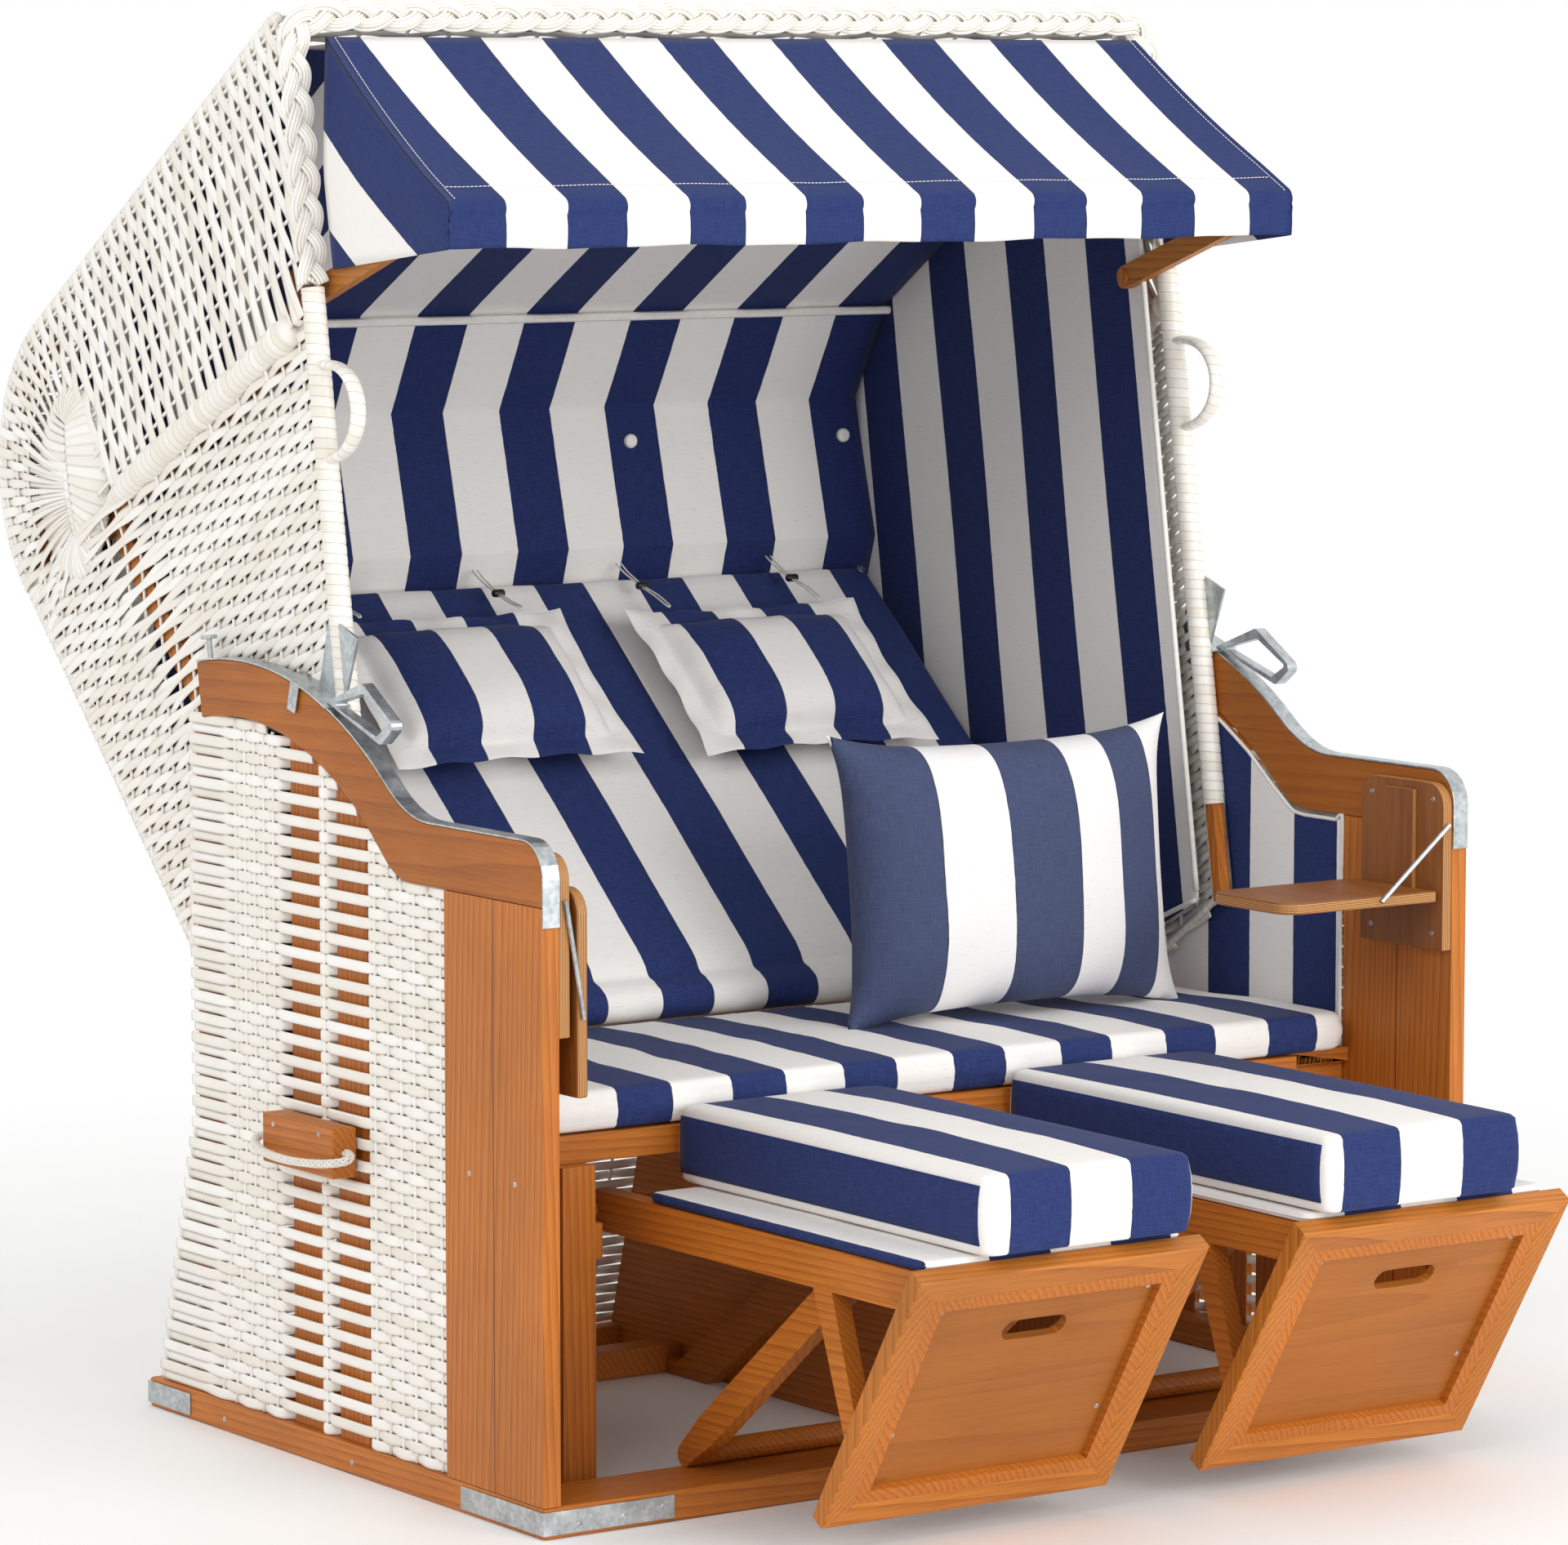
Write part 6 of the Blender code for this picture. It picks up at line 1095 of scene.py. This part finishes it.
for x, inset in zip(xs, tight):
    face = ring.copy()
    deep = np.clip(face[:, 1], -0.0436 + inset, -0.0002 - inset)
    slide = np.clip(face[:, 0], -0.0208 + inset, REST_LENGTH - 0.0003 - inset)
    dimple = 0.0016 * math.sin(x * 21) * np.sin(face[:, 0] * 12) * (face[:, 1] > -0.012)
    flat = REST_LOW + REST_UP * slide[:, None] + REST_OUT * (deep - np.abs(dimple))[:, None]
    grid.append(np.column_stack([np.full(len(ring), x), flat]))
    uvs.append(np.column_stack([np.full(len(ring), x), length]))
grid = np.array(grid)
count = len(ring)
caps = [np.arange(count)[None, ::-1], np.arange(count)[None] + (len(xs) - 1) * count]
rest = piece("back_rest", grid, [grid_faces(len(xs), count, True)] + caps,
             striped("canvas_rest", 0.045, 0.141, 0.068),
             "hood", np.array(uvs))
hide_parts("backrest")


# Pillows: two head pillows with a flat stitched flange hang on cords over the back rest, and a plump loose
# one in washed out navy leans on the seat.
# Sewing thread: off-white, twisted, a little shiny.
thread, tree, shader, grain = mottled("thread_white", 900.0, 2.0, "#E4E0D8", "#FAF8F4", 0.5)


def stitches(name, line, body, reach=0.0034, gap=0.0016, radius=0.00050):
    """A row of stitches on a seam line, each a short bent thread."""
    line = np.asarray(line, float)
    run = run_along(line)
    heads = np.arange(0.002, run[-1] - reach, reach + gap)
    paths = []
    for head in heads:
        at = np.linspace(head, head + reach, 3)
        paths.append(np.stack([np.interp(at, run, line[:, k]) for k in range(3)], 1))
    return strands(name, paths, radius, thread, body, 5)


def screws(name, places, out, body, radius=0.0034):
    """Countersunk screw heads in one piece: a shallow recess inside a bright rim, all facing the way out."""
    out = np.asarray(out, float) / np.linalg.norm(out)
    side = np.cross(out, (0.31, 0.52, 0.79))
    side /= np.linalg.norm(side)
    up = np.cross(out, side)
    a = np.linspace(0, 2 * math.pi, 18, endpoint=False)[:, None]
    profile = ((0.0, -0.0004), (0.30, -0.0004), (0.36, 0.0002), (0.84, 0.0003), (1.0, -0.0003))
    points, faces = [], []
    for number, place in enumerate(places):
        for share, height in profile:
            circle = (side * np.cos(a) + up * np.sin(a)) * radius * share
            points.append(np.asarray(place, float) + circle + out * height)
        faces.append(grid_faces(5, 18, True, number * 90))
    return piece(name, np.concatenate(points), [np.concatenate(faces)], steel, body, facing=tuple(out))


def pillow(name, half, flange, thin, coat, body, matrix, rise, seed, ears=0.0, cut=None):
    """A stuffed form from two sheets closed at their rim, in its own directions, placed by a matrix of rows
    (right, up, out, centre). Inside a flange of some width it swells by rise. cut pairs places across it with
    places across the flat canvas, where the filling draws the stripes closer."""
    u = np.sin(np.linspace(-1, 1, 61) * math.pi / 2)
    v = np.sin(np.linspace(-1, 1, 45) * math.pi / 2)
    uu, vv = np.meshgrid(u, v, indexing="ij")
    inner_u = np.clip(np.abs(uu) / (1 - flange / half[0]), 0, 1)
    inner_v = np.clip(np.abs(vv) / (1 - flange / half[1]), 0, 1)
    full = np.sqrt(np.clip(1 - inner_u ** 3.2, 0, 1) * np.clip(1 - inner_v ** 3.2, 0, 1))
    rng = np.random.default_rng(seed)
    crease = np.zeros_like(full)
    for _ in range(9):
        a, b, c, d = rng.uniform(-1, 1, 4)
        crease += 0.12 * np.sin((uu * a + vv * b) * 9 + c * 6) * np.exp(-((uu - a) ** 2 + (vv - d) ** 2) * 2)
    full = full * (1 + 0.16 * crease)
    corner = (np.abs(uu) * np.abs(vv)) ** 6
    x = uu * half[0] * (1 - 0.045 * (1 - vv ** 2) * uu ** 2 + ears * corner)
    y = vv * half[1] * (1 - 0.055 * (1 - uu ** 2) * vv ** 2 + ears * corner)
    seam = np.exp(-((np.maximum(inner_u, inner_v) - 0.985) / 0.02) ** 2) * (flange > 0)
    wave = 0.0022 * np.sin(uu * 13 + seed) * np.sin(vv * 11) * (1 - full)
    rim = 1 - np.maximum(np.abs(uu), np.abs(vv)) ** 30
    above = (thin * rim + rise[1] * full - 0.0008 * seam) + wave * (flange > 0)
    under = -(thin * rim + rise[0] * full) + wave * (flange > 0)
    count = uu.size
    points = []
    for z in (above, under):
        points.append(matrix[3] + x[..., None] * matrix[0] + y[..., None] * matrix[1] + z[...,
                                                                                          None] * matrix[2])
    upper = grid_faces(61, 45)
    index = np.arange(count).reshape(61, 45)
    rim_line = np.concatenate([index[:-1, 0], index[-1, :-1], index[:0:-1, -1], index[0, :0:-1]])
    after = np.roll(rim_line, -1)
    side_faces = np.stack([rim_line, after, after + count, rim_line + count], 1)
    mark = x if cut is None else np.interp(x, *cut)
    uv = np.stack([mark, y], -1).reshape(-1, 2)
    made = piece(name, np.concatenate([p.reshape(-1, 3) for p in points]),
                 [upper, upper[:, ::-1] + count, side_faces[:, ::-1]], coat, body, np.concatenate([uv, uv]))
    made.modifiers.new("smooth", "SUBSURF").levels = 1
    made.modifiers["smooth"].render_levels = 1
    seams = []
    for sign in (1, -1):
        column = int(np.argmin(np.abs(v - sign * (1 - flange / half[1]) * 0.995)))
        line = points[0][8:-8, column] + matrix[2] * 0.0006
        seams.append(line)
    return made, seams


head_coat = striped("canvas_head", -0.112, 0.1385, 0.0695)
for x, up, word in ((-0.139, 0.434, "left"), (0.272, 0.424, "right")):
    centre = np.array([x, *(REST_LOW + REST_UP * up + REST_OUT * 0.0393)])
    frame_rows = (np.array([1.0, 0, 0]), np.array([0, *REST_UP]), np.array([0, *REST_OUT]), centre)
    made, seams = pillow("head_cushion_" + word, (0.1640, 0.1175), 0.030, 0.0022, head_coat, "hood",
                         frame_rows,
                         (0.0345, 0.0345), 3 if word == "left" else 5)
    stitches("head_seam_upper_" + word, seams[0], "hood")
    stitches("head_seam_lower_" + word, seams[1], "hood")
    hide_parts("head_pillow_" + word)
lean = math.radians(6.0)
centre = np.array([0.240, -0.045, 0.4243 + 0.003 + 0.1525])
frame_rows = (np.array([1.0, 0, 0]), np.array([0, math.sin(lean), math.cos(lean)]),
              np.array([0, -math.cos(lean), math.sin(lean)]), centre)
drawn = ((-0.226, -0.125, -0.036, 0.059, 0.118, 0.178, 0.226),
         (0.0, 0.088, 0.172, 0.260, 0.344, 0.432, 0.480))
made, _ = pillow("loose_cushion", (0.215, 0.1525), 0.0, 0.002,
                 striped("canvas_faded", 0.0, 0.172, 0.088, "#4A5373",
              "#EFEDEC", "#3C4564"), "root", frame_rows, (0.062, 0.062), 11, ears=0.085, cut=drawn)
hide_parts("throw_pillow")


# Cords and fittings: the head pillows hang from the rest's upper edge on thin looped cords with black cord
# stops; the liner is held by two white buttons, and screws show in the pine and the steel.
# Moulded plastic: near black, satin, with a faint grain.
stop_coat, tree, shader, grain = mottled("stop_black", 400.0, 2.0, "#0E0E10", "#232326", 0.38)
for number, (x, up) in enumerate(((-0.247, 0.5515), (-0.030, 0.5515), (0.170, 0.5415), (0.385, 0.5415))):
    at = ((0.0035, 0.652, 0.006), (0.003, 0.632, 0.010), (0.0022, 0.605, 0.019), (0.0022, 0.590, 0.025),
          (0.003, 0.570, 0.034), (0.0026, up + 0.004, 0.0425), (0.0012, up - 0.001, 0.0436))
    loop = [(x - a, *(REST_LOW + REST_UP * s + REST_OUT * o)) for a, s, o in at]
    loop += [(x + a, *(REST_LOW + REST_UP * s + REST_OUT * o)) for a, s, o in at[::-1]]
    line = smooth_line(loop, 90)
    length = float(np.linalg.norm(np.diff(line, axis=0), axis=1).sum())
    cord = tube_piece("pillow_cord_" + str(number), line, 0.0010, rope_coat, "hood", 8)
    spot = REST_LOW + REST_UP * 0.598 + REST_OUT * 0.0220
    barrel = np.stack([np.linspace(x - 0.0085, x + 0.0085, 12), np.full(12, spot[0]), np.full(12, spot[1])],
                      1)
    size = 0.0048 * np.sqrt(np.clip(1 - np.linspace(-0.985, 0.985, 12) ** 6, 0.02, 1))
    stop = tube_piece("cord_stop_" + str(number), barrel, size, stop_coat, "hood", 12)
a = np.linspace(0, 2 * math.pi, 24, endpoint=False)[:, None]
for number, (x, z) in enumerate(((0.210, 1.027), (0.519, 1.0245))):
    y = 0.684 + (0.640 - 0.684) * (1.070 - z) / 0.165 - 0.003
    rings = [np.concatenate([x + 0.0085 * u * np.cos(a), np.full((24, 1), y - 0.0045 * h),
                             z + 0.0085 * u * np.sin(a)], 1)
             for u, h in ((1.0, -0.4), (1.0, 0.25), (0.94, 0.6), (0.8, 0.85), (0.5, 1.0), (0.25, 0.95),
                          (0.0, 0.93))]
    piece("liner_button_" + str(number), np.array(rings), [grid_faces(7, 24, True)], piping_coat, "hood",
          facing=(0, -1, 0))
snap = REST_LOW + REST_UP * 0.628
screws("rest_snap", [(0.513, *(snap + REST_OUT * 0.0004))], (0, *REST_OUT), "hood", 0.0055)
for side, word in SIDES:
    x = side * 0.6020
    screws("bracket_screws_" + word, [(x, y, z) for y, z in ((-0.270, 0.0150), (-0.323, 0.0156),
                                                             (-0.377, 0.0170),
           (0.381, 0.0162), (0.335, 0.0149))], (side, 0, 0), "root")
    screws("bracket_front_screws_" + word, [(side * a, -0.4070, b) for a, b in ((0.559, 0.0110),
                                                                                (0.505, 0.0130),
           (0.457, 0.0170))], (0, -1, 0), "root")
    screws("side_screws_" + word, [(side * 0.6003, y, z) for y, z in ((0.240, 0.0125), (-0.029, 0.0125),
           (-0.266, 0.353), (-0.353, 0.354))], (side, 0, 0), "root", 0.0030)
    screws("block_screws_" + word, [(side * 0.6305, y, z) for y, z in ((0.077, 0.3605), (-0.017, 0.3620),
           (0.078, 0.3300), (-0.017, 0.3310))], (side, 0, 0), "root", 0.0028)
    screws("plate_screws_" + word, [(side * 0.5667, y, z) for y, z in ((-0.387, 0.672), (-0.283, 0.672),
           (-0.387, 0.524), (-0.283, 0.524))], (-side, 0, 0), "root", 0.0032)


# Awning: striped canvas from the hood's top bar over a wooden bar on two swinging arms, with a hem that hangs
# in front and a gusset at either side.
dress("awning_arms", wood("awning_wood", "#C07A30", "#8C4C1C", along=1), 0.002)
bar = np.array([-0.1442, 1.3244])
top = np.array([0.112, 1.500])
reach = (bar - top) / np.linalg.norm(bar - top)
lift = np.array([reach[1], -reach[0]])
lift = lift if lift[1] > 0 else -lift
clear = 0.0118
shoulder = bar + lift * clear
profile, shares = [], []
for t in np.linspace(0, 1, 26):
    profile.append(top + (shoulder - top) * t - lift * 0.006 * math.sin(math.pi * t))
    shares.append(t)
for turn in np.radians((18, 36, 54, 72)):
    profile.append(bar + (lift * math.cos(turn) + reach * math.sin(turn)) * clear)
    shares.append(1.0)
front = bar + reach * clear
for t in np.linspace(0, 1, 8):
    profile.append(front + np.array([-0.0015 * math.sin(t * 3), -0.0345]) * np.array([1, t]))
    shares.append(1.0)
profile = np.array(profile)
shares = np.array(shares)
run = run_along(profile)
half = np.interp(profile[:, 1], (1.36, 1.50), (0.5495, 0.535))
across = np.linspace(-1, 1, 110)
x = half[:, None] * across[None]
ripple = 0.0016 * np.sin(across[None] * 31 + run[:, None] * 9) * np.clip(run[:, None] / 0.3, 0, 1)
ripple += 0.0035 * np.sin(across[None] * 14 + 2) * np.clip((run[:, None] - 0.31) / 0.03, 0, 1)
grid = np.stack(np.broadcast_arrays(x, profile[:, :1] + ripple * reach[0] * 0.6,
                                    profile[:, 1:] + ripple * 0.3), -1)
shift = 0.012 * np.clip(run / 0.31, 0, 1)
uv = np.stack(np.broadcast_arrays(x - shift[:, None], run[:, None]), -1)
points = [grid.reshape(-1, 3)]
uvs = [uv.reshape(-1, 2)]
faces = [grid_faces(len(run), 110)]
first = grid[..., 0].size
back_low = top - UP * 0.245
for side in (-1, 1):
    column = 0 if side < 0 else -1
    edge = grid[:, column]
    deep = np.linspace(0, 1, 14)
    drop = back_low + (profile[-1] - back_low) * shares[:, None]
    rows_of = []
    uv_rows = []
    for t in deep:
        yz = edge[:, 1:] + (drop - edge[:, 1:]) * t
        wide_at = np.interp(yz[:, 1], (1.36, 1.50),
                            (0.5495, 0.535)) + 0.0016 * np.sin(t * math.pi) * (shares < 1)
        rows_of.append(np.column_stack([side * wide_at, yz]))
        away = 0.729 * np.linalg.norm(yz - edge[:, 1:], axis=1)
        first_cut = -0.4945 - away if side < 0 else 0.478 + away
        uv_rows.append(np.column_stack([first_cut, run]))
    last = len(profile) - 1
    patch = np.array(rows_of)[:, :last]
    points.append(patch.reshape(-1, 3))
    uvs.append(np.array(uv_rows)[:, :last].reshape(-1, 2))
    quads = grid_faces(14, last, first=first)
    faces.append(quads if side > 0 else quads[:, ::-1])
    first += patch[..., 0].size
awning_coat = striped("canvas_awning", 0.030, 0.149, 0.072, "#2B3B70", "#F1EEEA", "#202D5E")
cloth = piece("awning_canvas", np.concatenate(points), faces, awning_coat, None, np.concatenate(uvs),
              facing=(0, -0.5, 1))
join = cloth.modifiers.new("join", "WELD")
join.merge_threshold = 0.0004
cloth.modifiers.new("cloth", "SOLIDIFY").thickness = 0.0011
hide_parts("awning_cloth")
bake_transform(cloth)
stitches("awning_hem_seam", grid[23, 1:-1] + np.array([0.0, *(lift * 0.0009)]), "awning")
for side, word in SIDES:
    column = 1 if side < 0 else -2
    seam = stitches("awning_fold_seam_" + word, grid[:27, column] + np.array([0.0, *(lift * 0.0009)]), None)
    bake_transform(seam)


# Side tables: birch plywood stained brown, its plies seen in the edges, on sliders in the same stained
# plywood and on galvanised stays.
def plywood(name, axis, origin, thickness):
    """Stained plywood: the plies are thin light and dark layers across the board, the faces have a calm
    grain."""
    coat, tree, shader = new_material(name)
    place = add(tree, "TexCoord").outputs["Object"]
    depth = add(tree, "SeparateXYZ", {0: place}).outputs[axis]
    depth = maths(tree, "SUBTRACT", depth, origin)
    layer = maths(tree, "MULTIPLY", depth, 7.0 / thickness)
    layer = maths(tree, "FRACT", layer)
    glue = maths(tree, "LESS_THAN", layer, 0.36)
    scale = [1.0, 1.0, 0.06] if axis == 0 else [1.0, 0.06, 1.0]
    grain = add(tree, "Mapping", {"Vector": place, "Scale": scale}).outputs[0]
    fibre = noise(tree, 160.0, 4.0, grain)
    cloud = noise(tree, 14.0, 2.0, grain)
    tone = maths(tree, "ADD", fibre, cloud)
    plain = blended(tree, ramp(tree, tone, 0.7, 1.3), linear("#A06126"), linear("#80481A"))
    normal = add(tree, "SeparateXYZ", {0: add(tree, "NewGeometry").outputs["Normal"]}).outputs[axis]
    face = maths(tree, "GREATER_THAN", maths(tree, "ABSOLUTE", normal), 0.7)
    edge = blended(tree, glue, linear("#C98D4B"), linear("#4A2610"))
    paint(tree, shader, blended(tree, face, edge, plain), 0.45)
    relief(tree, shader, fibre, 0.12, 0.0005)
    return coat


for side, word in SIDES:
    low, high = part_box("table_backplate_" + word)
    dress("table_backplate_" + word, plywood("ply_plate_" + word, 0, low[0], high[0] - low[0]), 0.0012)
    low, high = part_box("table_board_" + word)
    axis = int(np.argmin(np.array(high) - np.array(low)))
    dress("table_board_" + word, plywood("ply_board_" + word, axis, low[axis], high[axis] - low[axis]),
          0.0025, 3)
    dress("table_slider_" + word, plywood("ply_slider_" + word, 0, low[0], 0.005), 0.0006)
    dress("table_stay_" + word, steel)


# Footrests: pine rails, a hinged prop, a thin pad under a boxed cushion, and in front four mitred mouldings
# round a stained plywood field with a hand slot.
foot_coat = wood("footrest_wood", along=1)
mould_across = wood("mould_across", "#C67A2C", "#8F4A15", along=0)
mould_up = wood("mould_up", "#C67A2C", "#8F4A15", along=2)
field_coat = wood("panel_field", "#AC6726", "#97571B", along=0, rate=16.0)
pad_coat, tree, shader = new_material("canvas_plain")
# Plain off-white canvas: a fine visible weave and small grey flecks.
place = add(tree, "TexCoord").outputs["Object"]
weave = noise(tree, 700.0, 2.0, place)
fleck = noise(tree, 60.0, 3.0, place)
tree.links.new(blended(tree, ramp(tree, fleck, 0.35, 0.7), linear("#F1EEEA"), linear("#E2DDD5")),
               shader.inputs["Base Color"])
relief(tree, shader, weave, 0.3, 0.0004)
shader.inputs["Roughness"].default_value = 0.85
navy_coat = striped("canvas_navy_panel", -5.0, 100.0, 90.0)
mat_coat = striped("canvas_mat", 0.1290, 0.1490, 0.0740)
for side, word in SIDES:
    body = "footrest_" + word
    dress("footrest_frame_" + word, foot_coat, 0.0025)
    dress("footrest_prop_" + word, pine_deep, 0.002)
    dress("footrest_runner_" + word, pine_across, 0.001)
    tilt = math.radians(31.5)
    down = np.array([0.0, math.sin(tilt), -math.cos(tilt)])
    face_out = -np.array([0.0, math.cos(tilt), math.sin(tilt)])
    right = np.array([1.0, 0.0, 0.0])
    wide, tall, field_back = 0.1765, 0.159, -0.0082
    middle = np.array([side * 0.2375, -0.791, 0.301]) + down * tall
    shape = [(-0.0006, -0.0185), (-0.0006, 0.0002), (0.0012, 0.0014), (0.024, 0.0012), (0.0265, 0.0002),
             (0.030, -0.0022),
             (0.034, -0.0062), (0.0395, -0.0078), (0.0420, -0.0086)]
    corners_at = [(-1, -1), (1, -1), (1, 1), (-1, 1)]
    for number in range(4):
        a, b = corners_at[number], corners_at[(number + 1) % 4]
        grid = []
        for c, trim in ((a, 1), (b, -1)):
            row = []
            for inset, height in shape:
                flat_at = right * c[0] * (wide - inset) + down * c[1] * (tall - inset)
                row.append(middle + flat_at + face_out * height)
            grid.append(row)
        grid = np.array(grid)
        steps = np.linspace(0, 1, 12)[:, None, None]
        grid = grid[0][None] + (grid[1] - grid[0])[None] * steps
        coat = mould_across if number % 2 == 0 else mould_up
        bead = piece("footrest_mould_" + word + "_" + str(number), grid, [grid_faces(12, len(shape))], coat,
                     body,
                     facing=tuple(face_out))
        bead.data.set_sharp_from_angle(angle=math.radians(30))
    count = 72
    a = np.linspace(0, 2 * math.pi, count, endpoint=False)
    slot = np.stack([np.clip(np.cos(a) * 3, -1, 1) * 0.026 + np.cos(a) * 0.013, np.sin(a) * 0.013], 1)
    slot[:, 1] -= tall - 0.088
    field = np.stack([np.clip(np.cos(a) * 1.5, -1, 1), np.clip(np.sin(a) * 1.5, -1, 1)], 1)
    field = field * (wide - 0.0415, tall - 0.0415)
    grid = []
    for share, height in ((0.0, -0.0175), (0.0, -0.0090), (0.02, field_back), (0.3, field_back),
                          (0.65, field_back), (1.0, field_back)):
        flat = slot + (field - slot) * share
        grid.append(middle + right * flat[:, :1] + down * flat[:, 1:] + face_out * height)
    board = piece("footrest_field_" + word, np.array(grid), [grid_faces(6, count, True)], field_coat, body,
                  facing=tuple(face_out))
    board.data.set_sharp_from_angle(angle=math.radians(40))
    x0, x1 = sorted((side * 0.079, side * 0.397))
    pad = boxed_cushion("footrest_mat_" + word, (x0, -0.7725, 0.3065), (x1, -0.2855, 0.3178), mat_coat,
                        body,
                        edge=0.0045, radius=0.012, crown=0.0008, draw=0.003, belly=0.0005)
    field_screws = [middle + right * a * 0.127 + down * b + face_out * -0.0079
                    for a in (-1, 1) for b in (-0.108, 0.052)]
    screws("panel_screws_" + word, field_screws, tuple(face_out), body, 0.0030)
    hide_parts("footrest_pad_" + word)
    x0, x1 = sorted((side * 0.0855, side * 0.3415))
    start, period, navy = (0.104, 0.158, 0.0755) if side > 0 else (-0.3135, 0.1495, 0.0745)
    cushion = boxed_cushion("footrest_top_" + word, (x0, -0.7995, 0.3186), (x1, -0.2565, 0.4043),
                            striped("canvas_foot_" + word, start, period, navy), "footrest_cushion_" + word,
                            edge=0.008, radius=0.014, crown=0.006, draw=0.008, belly=0.002)
    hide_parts("footrest_cushion_" + word)
    for face in (x0, x1):
        outward = -1 if face == x0 else 1
        ys = np.linspace(-0.787, -0.266, 40)
        zs = np.linspace(0.3295, 0.3890, 8)
        v = (ys + 0.528) / 0.2715
        belly = 0.0019 * np.sin(np.clip((zs - 0.3266) / 0.0630, 0, 1) * math.pi)
        pull = (1 - 0.008 * (1 - v[:, None] ** 2) / (0.128 / 0.2715) ** 0.5)
        x = (x0 + x1) / 2 + outward * ((x1 - x0) / 2 + belly[None]) * pull + outward * 0.0006
        grid = np.stack(np.broadcast_arrays(x, ys[:, None], zs[None]), -1)
        uv = np.stack(np.broadcast_arrays(zs[None], ys[:, None]), -1)
        panel = piece("footrest_panel_" + word + ("_a" if face == x0 else "_b"), grid, [grid_faces(40, 8)],
                      navy_coat,
                      "footrest_cushion_" + word, uv, facing=(outward, 0, 0))
        panel.modifiers.new("cloth", "SOLIDIFY").thickness = 0.0012
